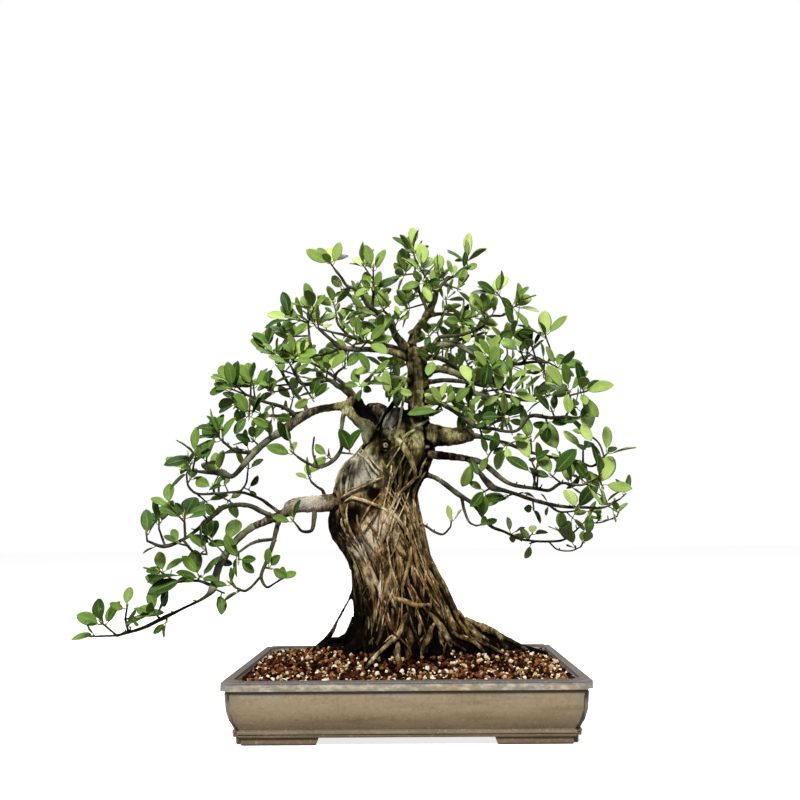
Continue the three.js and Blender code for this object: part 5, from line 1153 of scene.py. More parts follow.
OVER_ROOTS = [
    ([[-53, 212], [-47, 191], [-40, 172], [-34, 153], [-27, 138]], 1.5, 0.3, 0.9),
    ([[-12, 128], [-18, 122], [-25, 118], [-32, 110], [-45, 100], [-52, 93], [-60, 82]], 3.8, 0.8, 0.0),
    ([[6, 162], [3, 155], [-3, 148], [-6, 138], [-12, 126]], 6, 0.72, 0.0),
    ([[-11, 120], [-12, 110], [-14, 100], [-22, 92]], 4, 0.62, 0.0),
    ([[-30, 185], [-25, 182], [-10, 176], [3, 172], [13, 168], [25, 167], [42, 169]], 4.4, 0.72, -0.45),
    ([[36, 156], [40, 152], [46, 143], [54, 133], [60, 122], [67, 112], [72, 98], [80, 84]], 4.6, 0.7, 0.0),
    ([[44, 142], [42, 138], [37, 128], [35, 118], [30, 110], [24, 98], [20, 84]], 5.6, 0.6, 0.1),
    ([[38, 112], [40, 100], [46, 90]], 3, 0.55, 0.0),
    ([[18, 150], [20, 145], [23, 138], [20, 122]], 3.5, 0.6, 0.1),
    ([[60, 172], [63, 165], [66, 155], [70, 145], [74, 132], [84, 116], [96, 98]], 3.6, 0.6, 0.0),
    ([[4, 136], [5, 130], [7, 115], [4, 98], [2, 84]], 4.6, 0.5, 0.25),
    ([[-100, 270], [-95, 262], [-80, 250], [-72, 238], [-62, 215], [-56, 192], [-54, 176]], 5.2, 0.62, 0.0),
    ([[-6, 246], [-8, 240], [-6, 225], [-8, 212], [-14, 198]], 3.2, 0.7, 0.0),
    ([[-14, 236], [-20, 225], [-28, 205], [-33, 190], [-38, 176]], 3.2, 0.68, 0.0),
    ([[6, 236], [10, 228], [15, 222], [24, 214]], 3.0, 0.62, 0.0),
    ([[-98, 330], [-92, 334], [-85, 336], [-75, 334], [-62, 330], [-50, 325], [-30, 315], [-14, 300]], 2.9,
     0.8, -0.05),
    ([[-6, 404], [-8, 395], [-7, 375], [-8, 348], [-4, 336]], 3.6, 0.42, 0.45),
    ([[-32, 318], [-20, 308], [-8, 295], [2, 280]], 3.8, 0.72, -0.05),
    ([[-8, 428], [0, 435], [15, 445], [30, 457], [46, 466]], 2.8, 0.85, 0.0),
    ([[8, 262], [8, 250], [6, 238], [2, 222], [-2, 208], [-6, 195], [-2, 180]], 3.0, 0.8, 0.0),
    ([[-50, 126], [-52, 118], [-58, 108], [-64, 94]], 3.2, 0.4, 0.3),
    ([[12, 264], [14, 255], [17, 240], [20, 222], [26, 206]], 3.0, 0.6, 0.0),
    ([[66, 150], [76, 140], [90, 126], [106, 117], [124, 108], [142, 98]], 4.2, 0.5, 0.0),
    ([[15, 190], [17, 175], [16, 165], [14, 150]], 2.0, 0.62, 0.1),
    ([[39, 190], [39, 175], [38, 160]], 1.6, 0.66, 0.0),
    ([[-48, 180], [-45, 172], [-38, 165], [-33, 155], [-30, 145], [-27, 135], [-22, 128], [-15, 122],
      [-5, 110]], 1.8, 0.45, 0.9),
    ([[-43, 170], [-42, 160], [-41, 145], [-41, 125], [-45, 115], [-50, 108], [-49, 94]], 1.5, 0.5, 0.7),
    ([[-52, 200], [-50, 188], [-49, 170], [-48, 150], [-47, 134]], 1.8, 0.55, 0.4),
    ([[-76, 196], [-73, 188], [-70, 175], [-69, 160], [-64, 155], [-61, 148], [-60, 138], [-62, 128],
      [-66, 112]], 2.0, 0.5, 0.4),
    ([[-80, 192], [-79, 185], [-77, 170], [-76, 155], [-74, 138]], 2.0, 0.46, 0.3),
    ([[-70, 188], [-68, 180], [-64, 168], [-61, 160], [-60, 146]], 1.7, 0.55, 0.2),
    ([[-3, 120], [0, 113], [4, 105], [10, 92]], 1.3, 0.6, 0.5),
    ([[-92, 292], [-90, 285], [-82, 265], [-72, 248], [-62, 235], [-52, 215], [-48, 203], [-42, 188],
      [-38, 172]], 2.0, 0.7, 0.1),
    ([[-95, 300], [-95, 290], [-96, 262], [-95, 246]], 1.8, 0.5, 0.2),
    ([[-112, 280], [-110, 275], [-103, 268], [-95, 260]], 2.6, 0.6, 0.0),
    ([[-18, 262], [-15, 252], [-13, 235], [-12, 215], [-11, 196]], 2.2, 0.62, 0.1),
    ([[0, 308], [0, 300], [-1, 270], [-2, 248]], 1.5, 0.66, 0.2),
    ([[32, 242], [32, 235], [31, 215], [30, 200], [28, 190], [27, 174]], 1.8, 0.6, 0.0),
    ([[28, 236], [33, 232], [40, 228], [49, 221]], 2.2, 0.55, 0.0),
    ([[12, 436], [8, 425], [0, 405], [-8, 390], [-15, 375], [-22, 358], [-28, 345], [-33, 332]], 1.5, 0.62,
     -0.4),
    ([[16, 368], [10, 362], [-3, 350], [-10, 342], [-22, 320], [-30, 308], [-40, 288]], 2.0, 0.7, 0.2),
    ([[32, 374], [28, 370], [20, 368], [12, 360], [0, 350], [-8, 338]], 2.0, 0.55, 0.3),
    ([[-116, 328], [-110, 333], [-98, 340], [-85, 347], [-72, 352], [-55, 360], [-42, 366], [-22, 370]],
     1.9, 0.6, 0.1),
    ([[-96, 346], [-90, 350], [-75, 355], [-60, 362], [-48, 370]], 1.5, 0.6, 0.1),
    ([[-103, 336], [-103, 345], [-103, 370], [-97, 388]], 2.2, 0.66, 0.0),
    ([[-96, 336], [-95, 345], [-93, 365], [-80, 400], [-74, 412]], 2.2, 0.7, 0.0),
    ([[-88, 344], [-88, 352], [-84, 388]], 2.0, 0.7, 0.0),
    ([[-110, 386], [-111, 375], [-111, 355], [-106, 330], [-102, 315], [-95, 295], [-92, 272]], 2.6, 0.5,
     0.1),
    ([[-80, 414], [-75, 408], [-60, 395], [-50, 382], [-38, 368]], 2.0, 0.85, 0.0),
    ([[-74, 418], [-58, 402], [-46, 388], [-30, 372]], 1.6, 0.8, 0.0),
    ([[19, 360], [19, 350], [19, 335], [22, 315], [26, 300], [31, 286]], 2.0, 0.5, 0.6),
    ([[0, 328], [2, 320], [8, 308], [15, 294]], 2.0, 0.66, 0.2),
    ([[-64, 302], [-60, 296], [-46, 280], [-38, 262], [-34, 240], [-32, 220]], 1.6, 0.6, 0.4),
    ([[-18, 304], [-20, 300], [-30, 282], [-36, 268], [-46, 248]], 1.6, 0.55, 0.5),
    ([[20, 300], [24, 290], [30, 270], [36, 250], [44, 232], [52, 210]], 2.2, 0.55, -0.3),
    ([[-6, 352], [-4, 348], [2, 330], [8, 318], [16, 300], [22, 282]], 1.6, 0.6, 0.3),
    ([[-74, 292], [-70, 300], [-60, 318], [-44, 338], [-26, 354]], 1.4, 0.7, 0.3),
    ([[-38, 398], [-28, 380], [-18, 362], [-8, 344]], 2.4, 0.5, -0.3),
    ([[-24, 404], [-18, 388], [-16, 366], [-14, 344], [-6, 326]], 2.0, 0.45, -0.4),
    ([[22, 404], [14, 388], [6, 372], [-2, 356]], 1.8, 0.5, -0.2),
    ([[-12, 448], [-6, 430], [2, 412], [10, 396], [16, 378]], 2.6, 0.55, -0.2),
    ([[36, 400], [28, 384], [24, 366], [24, 346], [28, 326]], 2.0, 0.42, -0.2),
    ([[-54, 290], [-50, 262], [-46, 236], [-44, 212]], 1.2, 0.5, 0.3),
    ([[-92, 250], [-86, 232], [-82, 212], [-78, 196]], 1.8, 0.55, 0.2),
    ([[-86, 246], [-78, 226], [-72, 206], [-66, 188]], 1.5, 0.6, 0.2),
    ([[38, 262], [42, 244], [50, 226], [58, 206]], 2.0, 0.5, -0.5),
    ([[-30, 150], [-34, 138], [-40, 124], [-46, 108], [-58, 90]], 2.4, 0.42, 0.5),
    ([[10, 116], [14, 106], [14, 94], [10, 84]], 2.4, 0.5, 0.1),
    ([[50, 122], [54, 110], [58, 98], [62, 86]], 2.4, 0.5, 0.0),
    ([[28, 122], [20, 112], [14, 102]], 2.0, 0.55, 0.1),
    ([[72, 122], [84, 110], [98, 102], [116, 94]], 3.0, 0.45, 0.0),
    ([[-4, 106], [-2, 98], [-4, 86]], 2.0, 0.4, 0.2),
    ([[84, 120], [100, 112], [118, 104], [132, 96]], 2.4, 0.5, 0.1),
    ([[-13, 109], [-14, 98], [-12, 84], [-7, 70]], 4.4, 0.6, 0.0),
    ([[23, 147], [21, 137], [20, 122]], 3.4, 0.66, 0.0),
    ([[43, 140], [37, 128], [32, 115], [24, 99], [20, 88]], 5.2, 0.58, 0.35),
    ([[40, 154], [49, 142], [58, 129], [65, 115], [69, 106], [72, 96]], 4.8, 0.72, 0.0),
    ([[66, 158], [68, 145], [71, 136]], 3.0, 0.7, 0.0),
    ([[50, 128], [56, 113], [61, 101]], 2.4, 0.6, 0.1),
    ([[39, 119], [41, 108], [42, 98]], 2.6, 0.5, 0.0),
    ([[6, 131], [10, 115], [15, 101]], 2.6, 0.4, 0.4),
    ([[-78, 182], [-75, 161], [-73, 143]], 1.5, 0.8, 0.0),
    ([[-72, 181], [-68, 159], [-60, 148], [-59, 137], [-64, 120]], 1.6, 0.85, 0.0),
    ([[-49, 188], [-48, 166], [-48, 144]], 1.6, 0.75, 0.0),
    ([[-53, 119], [-57, 107], [-60, 98]], 4.0, 0.45, 0.2),
    ([[-24, 452], [-16, 438], [-8, 426], [3, 410], [10, 396], [15, 381], [18, 366]], 5.4, 0.78, -0.1),
    ([[44, 456], [46, 438], [48, 419], [49, 401]], 1.6, 0.05, 0.6),
    ([[10, 438], [11, 420], [11, 400]], 1.4, 0.6, 0.0),
]

# A thin red root that crosses the others in front, as way points with a depth and a radius, then brightness
RED_ROOTS = [
    ([[-34, 153, -30, 1.2], [-27, 137, -36, 1.3], [-19, 126, -44, 1.3], [-7, 114, -50, 1.2],
      [2, 104, -52, 1.1], [8, 92, -52, 1]], 0.45),
]

# Thin roots over the dark masses at the foot, in the same form
FOOT_ROOTS = [
    ([[6, 158, -22, 3.4], [1, 148, -25, 4.2], [-6, 135, -29, 4.5], [-14, 122, -36, 4.1],
      [-30, 108, -47, 3.5], [-46, 94, -57, 3.0], [-58, 81, -65, 2.6], [-63, 73, -70, 2.2]], 0.76),
    ([[-13, 110, -38, 3], [-15, 98, -44, 4.6], [-14, 86, -48, 5.2], [-9, 76, -50, 4.4]], 0.55),
    ([[81, 158, 4, 3.4], [91, 143, 0, 4.4], [102, 131, -2, 5], [111, 122, -4, 4.6], [122, 116, -4, 3.4]],
     0.55),
    ([[92, 146, 14, 4], [108, 137, 12, 6], [126, 130, 12, 6.4], [140, 124, 12, 5], [150, 114, 10, 4]], 0.6),
    ([[137, 126, 14, 3.4], [152, 118, 16, 3.4], [172, 108, 16, 3], [188, 98, 16, 2.6]], 0.3),
    ([[134, 116, 24, 7], [152, 110, 30, 9], [172, 101, 34, 9], [194, 95, 38, 8], [216, 90, 42, 6]], -0.7),
    ([[72, 126, -14, 2.6], [83, 119, -18, 3], [100, 113, -20, 3.4], [112, 105, -22, 2.6],
      [120, 96, -22, 2.2]], 0.42),
    ([[82, 122, -6, 2], [105, 115, -12, 2.6], [127, 106, -14, 2.6], [149, 94, -16, 2]], 0.5),
    ([[73, 167, -2, 2.6], [80, 147, -6, 2.8], [91, 131, -10, 2.6], [100, 118, -12, 2.2]], 0.45),
    ([[96, 128, -6, 2], [112, 116, -12, 2.2], [130, 104, -16, 2], [144, 94, -18, 1.6]], 0.25),
    ([[60, 120, -16, 2], [76, 108, -24, 2.2], [92, 98, -28, 1.8]], 0.3),
    ([[-84, 150, 16, 2], [-90, 134, 12, 2.2], [-98, 118, 8, 2], [-104, 102, 6, 1.8]], 0.3),
    ([[-70, 132, 0, 2.4], [-82, 114, -8, 2.6], [-96, 100, -12, 2.2]], 0.12),
    ([[-88, 128, 12, 3], [-102, 118, 14, 3.4], [-118, 116, 16, 3.4], [-134, 106, 16, 3]], 0.15),
    ([[-64, 116, -8, 1.6], [-74, 104, -14, 1.8], [-86, 94, -18, 1.4]], 0.4),
]

# Roots and rods that hang clear, in the same form
CLEAR_ROOTS = [
    ([[38, 246, 12, 0.9], [46, 228, 10, 1.8], [52, 214, 8, 2.3], [58, 204, 6, 2.6], [66, 188, 2, 2.6],
      [73, 172, 0, 2.6], [81, 155, -2, 2.6], [92, 141, -4, 2.4], [108, 128, -6, 2.2], [128, 112, -8, 2.0]],
     0.5),
    ([[-110, 326, 10, 5], [-115, 312, 12, 7], [-116, 300, 12, 8], [-115, 288, 12, 8], [-110, 275, 12, 8],
      [-102, 263, 12, 7.4], [-94, 250, 12, 6.4], [-89, 238, 12, 5], [-86, 224, 12, 3]], 0.05),
    ([[4, 524, 10, 2.6], [1, 508, 4, 2.5], [-2, 492, 0, 2.4], [-8, 457, -6, 2.2], [-11, 438, -4, 2.0]],
     0.85),
    ([[-40, 434, -2, 1.8], [-38, 454, -6, 1.9], [-33, 469, -6, 2.4], [-23, 483, -2, 3.6],
      [-13, 496, 6, 4.4], [-2, 512, 20, 4.2]], -0.35),
    ([[-50, 448, -6, 1.6], [-40, 462, -14, 1.4], [-34, 476, -18, 1.1]], 0.75),
    ([[-30, 384, -52, 1.2], [-6, 420, -50, 1.3], [4, 440, -40, 1.2]], 0.6),
]

# Dead wood between the column and the left fork, as way points with a depth and a radius
DEAD_WOOD = [
    [[-22, 424, 24, 18], [-19, 446, 25, 21], [-15, 462, 28, 20], [-9, 476, 31, 13]],
    [[-60, 482, 50, 10], [-50, 480, 48, 13], [-38, 474, 44, 15], [-30, 464, 40, 14]],
    [[-78, 500, 58, 7], [-72, 486, 56, 9], [-62, 466, 52, 12], [-52, 448, 46, 14]],
    [[-88, 504, 58, 7], [-80, 490, 57, 8], [-70, 474, 54, 9]],
    [[2, 434, 32, 16], [4, 462, 34, 14]],
]
# Tones of the dead wood; the near-black tones of the third and fourth pieces, at the back, are painted shade
DEAD_TONES = [0.25, -0.12, -0.8, -0.7, -0.2]
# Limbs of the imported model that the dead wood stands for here, by their place in its list
DEAD_LIMBS = (4, 5, 6)

# Root masses that fill the foot of the trunk, made dark as painted shade, as way points with a depth and a
# radius
FOOT_MASSES = [
    [[66, 150, 26, 18], [86, 128, 22, 16], [112, 112, 20, 14], [140, 104, 18, 12], [166, 98, 16, 9]],
    [[60, 128, 4, 16], [84, 108, -6, 14], [112, 98, -8, 11], [140, 92, -8, 8]],
    [[-66, 140, 30, 16], [-86, 118, 28, 14], [-104, 108, 26, 12], [-124, 100, 24, 10]],
    [[-62, 124, 4, 14], [-82, 102, -4, 12], [-104, 94, -4, 9]],
]
# Painted shade: the tone that makes the foot masses dark
FOOT_SHADE_TONE = -0.5

# Parts of the bark with a tone of their own, and dark parts with painted shade, as seen from the front:
# x, z, half width, half height, brightness, greenness
BARK_TONE_AND_SHADE_PATCHES = [
    (-56, 266, 22, 34, 0.74, 0.0), (-68, 374, 22, 32, 0.8, 0.0), (-44, 392, 14, 20, 0.4, 0.0),
    (-34, 296, 26, 28, 0.5, 0.0), (-10, 262, 20, 30, 0.4, 0.05), (26, 424, 18, 26, 0.48, 0.25),
    (26, 520, 16, 50, 0.1, 0.35), (42, 268, 10, 26, 0.05, 0.8), (50, 192, 9, 18, 0.0, 0.9),
    (30, 232, 16, 22, 0.14, 0.4), (-78, 150, 22, 44, -0.4, 0.0), (-98, 236, 16, 60, -0.08, -0.1),
    (-79, 311, 15, 13, -0.8, -0.9), (72, 404, 26, 8, -0.6, 0.0), (-114, 286, 16, 34, -0.4, -0.4),
    (-98, 206, 12, 50, -0.4, -0.3), (-40, 408, 12, 10, -0.2, 0.1), (-50, 344, 9, 8, -0.7, 0.1),
    (50, 206, 12, 56, -0.05, 0.7), (34, 262, 12, 40, 0.0, 0.45), (0, 214, 26, 44, 0.16, 0.1),
    (-34, 180, 16, 26, 0.12, 0.0), (96, 122, 26, 12, 0.12, 0.25), (-36, 384, 9, 26, -0.35, 0.15),
    (28, 372, 14, 14, -0.5, 0.1), (-24, 462, 16, 20, 0.16, 0.0), (0, 470, 9, 18, -0.7, 0.0),
    (-66, 490, 10, 20, -0.5, 0.0), (-16, 394, 12, 34, -0.2, 0.3), (-92, 474, 16, 18, 0.7, 0.15),
    (-68, 448, 12, 16, 0.55, 0.2), (-52, 345, 7, 7, -0.8, 0.0), (20, 160, 44, 12, 0.08, 0.1),
    (-155, 330, 46, 26, 0.72, 0.0), (-70, 430, 18, 22, 0.25, 0.25), (84, 436, 30, 18, 0.22, 0.25),
    (120, 372, 60, 40, -0.05, 0.1), (58, 425, 6, 30, -0.5, 0.0), (10, 346, 22, 26, -0.2, 0.2),
    (0, 590, 90, 60, -0.05, 0.3),
]

FUSED_COUNT = 44
FUSED_SEED = 900
FUSED_STEPS = 22
OVER_COUNT = 150
OVER_SEED = 5000
FINE_COUNT = 84
FINE_SEED = 6400
BUTTRESS_SEED = 700
# How far a root sinks into the bark at its ends, and how thick it still is there
END_DIP = 5.0
BLUNT_END = 0.35
VOXEL = 2.26
CORE_INSET = 3.4
CORE_ROWS = 70
CORE_SIDES = 72
BUTTRESS_ANGLES = [24, 90, 156]
# Reach from the middle as a share of the trunk, height and radius
BUTTRESS_STEPS = [[0.7, 128, 9], [1.02, 110, 7.5], [1.3, 99, 6], [1.55, 84, 4.6]]
BUTTRESS_LOWEST_ROW = 106
WOOD_SPACING = 3.5
ROOT_SPACING = 4.0
# The low left flank of the trunk is nearly black, left of this place and below this height
FLANK_RIGHT = -50
FLANK_TOP = 218
FLANK_SHADE = 0.5
# The bulge on the left, which stays free of fine roots
BULGE_RIGHT = -38
BULGE_FOOT = 236
RED = 0.9
# Roots that end below this height stay thick down to the soil
LOW_ROOT_END = 100


def core_rings(inset):
    rings = []
    heights = [row[0] for row in TRUNK_ROWS]
    for row in range(CORE_ROWS):
        z = heights[0] + (heights[-1] - heights[0]) * row / (CORE_ROWS - 1)
        centre, half, deep = soft_row(z)
        index = float(np.interp(z, heights, range(len(heights))))
        for side in range(CORE_SIDES):
            angle = side / CORE_SIDES * 2 * math.pi
            flute = 1 + 0.045 * math.sin(9 * angle + index * 0.8) + 0.03 * math.sin(5 * angle - index * 0.45)
            rough = 2.2 * wander(math.cos(angle) * 2.6, math.sin(angle) * 2.6, z * 0.03)
            rings.append([centre[0] + (half * flute - inset + rough) * math.cos(angle),
                          centre[1] + (deep * flute - inset + rough) * math.sin(angle), centre[2]])
    return np.array(rings)


def add_core(shape):
    rings = core_rings(CORE_INSET)
    ends = [rings[:CORE_SIDES].mean(0), rings[-CORE_SIDES:].mean(0)]
    quads, triangles = tube_faces(CORE_ROWS, CORE_SIDES)
    shape.add(np.concatenate([rings, ends]), quads, triangles, (0, 0, 0))


def surface_point(angle, z, lift):
    """A point at a height on the trunk's outline, lifted off it."""
    centre, half, deep = soft_row(z)
    return np.array([centre[0] + (half + lift) * math.cos(angle), centre[1] + (deep + lift) * math.sin(angle),
                     centre[2]])


def fused_roots():
    """Thick roots that run down the trunk all round it, fused into it: points, radii and brightness."""
    ways = []
    for index in range(FUSED_COUNT):
        draw = Draws(FUSED_SEED + index)
        angle = (index + 0.7 * draw()) / FUSED_COUNT * 2 * math.pi
        front = math.sin(angle) < -0.1
        top = draw.between(150, 250) if front else draw.between(220, 420)
        foot = draw.between(76, 92)
        radius = draw.between(2.6, 5.0) * (0.85 if front else 1.0)
        twist = draw.between(-0.25, 0.5)
        phase = draw.between(0, 6.28)
        points = []
        radii = []
        for step in range(FUSED_STEPS + 1):
            share = step / FUSED_STEPS
            z = top + (foot - top) * share
            turn = angle + twist * (1 - share) + 0.07 * math.sin(phase + 5 * share)
            flare = 12 * max(0.0, (112 - z) / 30) ** 1.5
            thick = radius * (0.45 + 0.7 * share)
            points.append(surface_point(turn, z, flare - 0.7 * thick))
            radii.append(thick)
        ways.append((points, radii, draw.between(-0.5, -0.1) if front else draw.between(-0.2, 0.1)))
    return ways


def bark_way(way, radius):
    """A root's points on the bark, sinking into it at both ends."""
    total = sum(math.hypot(x1 - x0, z1 - z0) for (x0, z0), (x1, z1) in zip(way, way[1:]))
    curve, _ = smooth_way([(x, 0.0, z) for x, z in way], [radius] * len(way), ROOT_SPACING)
    points = []
    for index, (x, _, z) in enumerate(curve):
        share = index / (len(curve) - 1)
        ends = min(share, 1 - share) * total
        sunk = 0.1 + END_DIP / radius * max(0.0, 1 - ends / (5 * radius + 5))
        off = np.array([0.0, 0.7 * wander(x * 0.08, z * 0.08, radius), 0.0])
        points.append(on_bark(x, z, radius, sunk) + off)
    return points


def ended(count, radius, length):
    """Radii of a root that thins towards both ends."""
    share = np.linspace(0, 1, count)
    reach = np.minimum(share, 1 - share) * length
    return radius * (BLUNT_END + (1 - BLUNT_END) * np.minimum(1, reach / (6 * radius + 4)) ** 0.7)


def buttress_ways():
    ways = []
    for index, degrees in enumerate(BUTTRESS_ANGLES):
        draw = Draws(BUTTRESS_SEED + index)
        angle = math.radians(degrees)
        way = []
        for reach, z, radius in BUTTRESS_STEPS:
            centre, half, deep = trunk_row(max(BUTTRESS_LOWEST_ROW, z))
            x = centre[0] + math.cos(angle) * half * reach + 8 * (draw() - 0.5)
            way.append((seen(x, z, centre[1] + math.sin(angle) * deep * reach), radius))
        points, radii = smooth_way([point for point, _ in way], [radius for _, radius in way], WOOD_SPACING)
        ways.append((points, radii, 0.0))
    return ways


def held_stretches():
    """The first stretch of each leafy branch, up to its cut."""
    ways = []
    for name, hold, stems, _ in SPRAYS:
        way = stems[0][:hold + 1]
        slimmer = SLIMMER.get(name, 1.0)
        points, radii = smooth_way([seen(*point[:3]) for point in way],
                                   [looks_radius(point[3]) * slimmer * 1.03 for point in way], WOOD_SPACING)
        cut = seen(*stems[0][hold - 1][:3])
        nearest = int(np.argmin(np.linalg.norm(points - cut, axis=1)))
        ways.append((points[:nearest + 2], radii[:nearest + 2], 0.0))
    return ways


def wood_ways():
    """Every limb and thick root that is fused into the trunk: points, radii and brightness."""
    limbs = [way for index, way in enumerate(THICK_LIMBS + FREE_ROOTS) if index not in DEAD_LIMBS]
    ways = []
    for way in limbs:
        points, radii = curve_through(way, WOOD_SPACING)
        ways.append((points, radii * 0.93, 0.05))
    for way, tone in zip(DEAD_WOOD + FOOT_MASSES, DEAD_TONES + [FOOT_SHADE_TONE] * len(FOOT_MASSES)):
        ways.append((*curve_through(way, WOOD_SPACING), tone))
    return ways + fused_roots() + buttress_ways() + held_stretches()


def remeshed(piece, voxel_mm):
    """One skin round all the closed bodies of a piece."""
    remesh = piece.modifiers.new("fuse", "REMESH")
    remesh.mode = "VOXEL"
    remesh.voxel_size = voxel_mm * MM
    remesh.adaptivity = 0.0
    bpy.context.view_layer.update()
    graph = bpy.context.evaluated_depsgraph_get()
    mesh = bpy.data.meshes.new_from_object(piece.evaluated_get(graph))
    piece.modifiers.clear()
    old = piece.data
    piece.data = mesh
    bpy.data.meshes.remove(old)
    return mesh


def relaxed(points, edges, rounds):
    """Each point moved towards the middle of its neighbours, over and over."""
    count = np.bincount(edges.ravel(), minlength=len(points))[:, None]
    now = points.copy()
    for _ in range(rounds):
        total = np.zeros_like(now)
        for axis in range(3):
            total[:, axis] = (np.bincount(edges[:, 0], now[edges[:, 1], axis], len(points))
                              + np.bincount(edges[:, 1], now[edges[:, 0], axis], len(points)))
        now = 0.5 * now + 0.5 * total / np.maximum(count, 1)
    return now


def mesh_arrays(mesh):
    """A mesh's points in millimetres, its normals and its edges."""
    points = np.empty(len(mesh.vertices) * 3)
    mesh.vertices.foreach_get("co", points)
    normals = np.empty(len(mesh.vertices) * 3)
    mesh.vertices.foreach_get("normal", normals)
    edges = np.empty(len(mesh.edges) * 2, np.int32)
    mesh.edges.foreach_get("vertices", edges)
    points = (points.reshape(-1, 3) - ORIGIN) / MM
    return points, normals.reshape(-1, 3), edges.reshape(-1, 2)


def as_seen(points):
    """x and z of points on the plane through the middle of the tray, seen from the front."""
    scale = (points[:, 1] - EYE[1]) / -EYE[1]
    return EYE[0] + (points[:, 0] - EYE[0]) / scale, EYE[2] + (points[:, 2] - EYE[2]) / scale


def patch_values(points, normals):
    """Brightness, the dark part of it painted shade, and greenness that the bark patches bring to each point.
    """
    x, z = as_seen(points)
    bright = np.zeros(len(points))
    green = np.zeros(len(points))
    facing = np.clip(0.6 - normals[:, 1], 0, 1)
    for middle_x, middle_z, wide, high, light, moss in BARK_TONE_AND_SHADE_PATCHES:
        near = np.exp(-(((x - middle_x) / wide) ** 2 + ((z - middle_z) / high) ** 2)) * facing
        # Patches with a brightness below 0 bring painted shade
        bright += light * near
        green += moss * near
    return bright, green


def way_values(points, ways):
    """Each point's tone from its nearest way, its grain, and 1 where it lies between ways."""
    lines = KDTree(sum(len(way[0]) for way in ways))
    owners = []
    for owner, (way, _, _) in enumerate(ways):
        for place in way:
            lines.insert(place, len(owners))
            owners.append(owner)
    lines.balance()
    tones, grain, between = np.empty((3, len(points)))
    for index, point in enumerate(points):
        _, nearest, distance = lines.find(point)
        owner = owners[nearest]
        radius = float(ways[owner][1][0])
        on_way = distance < radius * 2.2 + 2
        tones[index] = ways[owner][2] if on_way else -0.05
        between[index] = 0.0 if on_way else 1.0
        x, y, z = point
        grain[index] = (0.5 * wander(x * 0.14 + owner, y * 0.14, z * 0.04)
                        + 0.5 * wander(x * 0.32, y * 0.32 + owner, z * 0.11)
                        + 0.45 * wander(x * 0.8, y * 0.8, z * 0.4))
    return tones, grain, between


def make_trunk(materials):
    shape = Shape()
    add_core(shape)
    ways = wood_ways()
    for seed, (points, radii, _) in enumerate(ways):
        add_tube(shape, points, radii, 14, (0, 0, 0), rough=0.12, seed=seed)
    trunk = shape.make("trunk_wood", materials["trunk"])
    mesh = remeshed(trunk, VOXEL)
    points, normals, edges = mesh_arrays(mesh)
    soft = relaxed(points, edges, 3)
    softer = relaxed(points, edges, 16)
    hollow = ((softer - points) * normals).sum(1)
    tones, grain, between = way_values(points, ways)
    bright, green = patch_values(points, normals)
    low = np.clip((215 - points[:, 2]) / 110, 0, 1)
    # How hollow each place is, which the material turns into painted shade in hollows and painted highlights
    # on ridges
    cavity = np.clip(hollow / 1.5, -1, 1)
    lift = grain * 1.05 - np.clip(hollow, 0, 3) * 0.6
    places = (soft + normals * lift[:, None]) * MM + ORIGIN
    mesh.vertices.foreach_set("co", places.astype(np.float32).ravel())
    # Painted shade: the foot of the trunk is made darker, most of all between the roots
    bright = 0.38 + tones + bright - (0.46 + 0.55 * between) * low + 0.25 * grain
    keep_details(mesh, np.column_stack([bright, cavity, green]))
    mesh.polygons.foreach_set("use_smooth", np.full(len(mesh.polygons), True))
    mesh.materials.clear()
    mesh.materials.append(materials["trunk"])
    mesh.update()
    keep_piece(trunk, "bark", "trunk")


def make_roots(materials):
    """The thin roots that lie on the trunk or hang clear of it, an old cut and the dead wood's ridges."""
    roots = Shape()
    for seed, (way, radius, bright, red) in enumerate(OVER_ROOTS):
        points = bark_way(way, radius)
        length = float(np.linalg.norm(np.diff(points, axis=0), axis=1).sum())
        radii = ended(len(points), radius, length)
        if min(z for _, z in way) < LOW_ROOT_END:
            lower_half = np.arange(len(points)) > len(points) / 2
            radii = np.maximum(radii, np.where(lower_half, radius * 0.8, 0))
        add_tube(roots, points, radii, 10, root_detail(points, bright, red), rough=0.2, seed=seed)
    for group, first_seed, rough, red in ((CLEAR_ROOTS, 90, 0.18, 0.0), (FOOT_ROOTS, 130, 0.2, 0.0),
                                          (RED_ROOTS, 130 + len(FOOT_ROOTS), 0.2, RED)):
        for seed, (way, bright) in enumerate(group):
            points, radii = curve_through(way, ROOT_SPACING)
            details = root_detail(points, bright, red)
            add_tube(roots, points, radii, 9, details, rough=rough, seed=first_seed + seed)
    add_over_roots(roots)
    add_fine_roots(roots)
    add_cut_stub(roots)
    add_ridges(roots)
    keep_piece(roots.make("over_roots", materials["trunk"]), "bark")


CUT_STUB = (-31, 421)
STUB_RADIUS = 8.6
CHIP_COUNT = 14
CHIP_SEED = 640


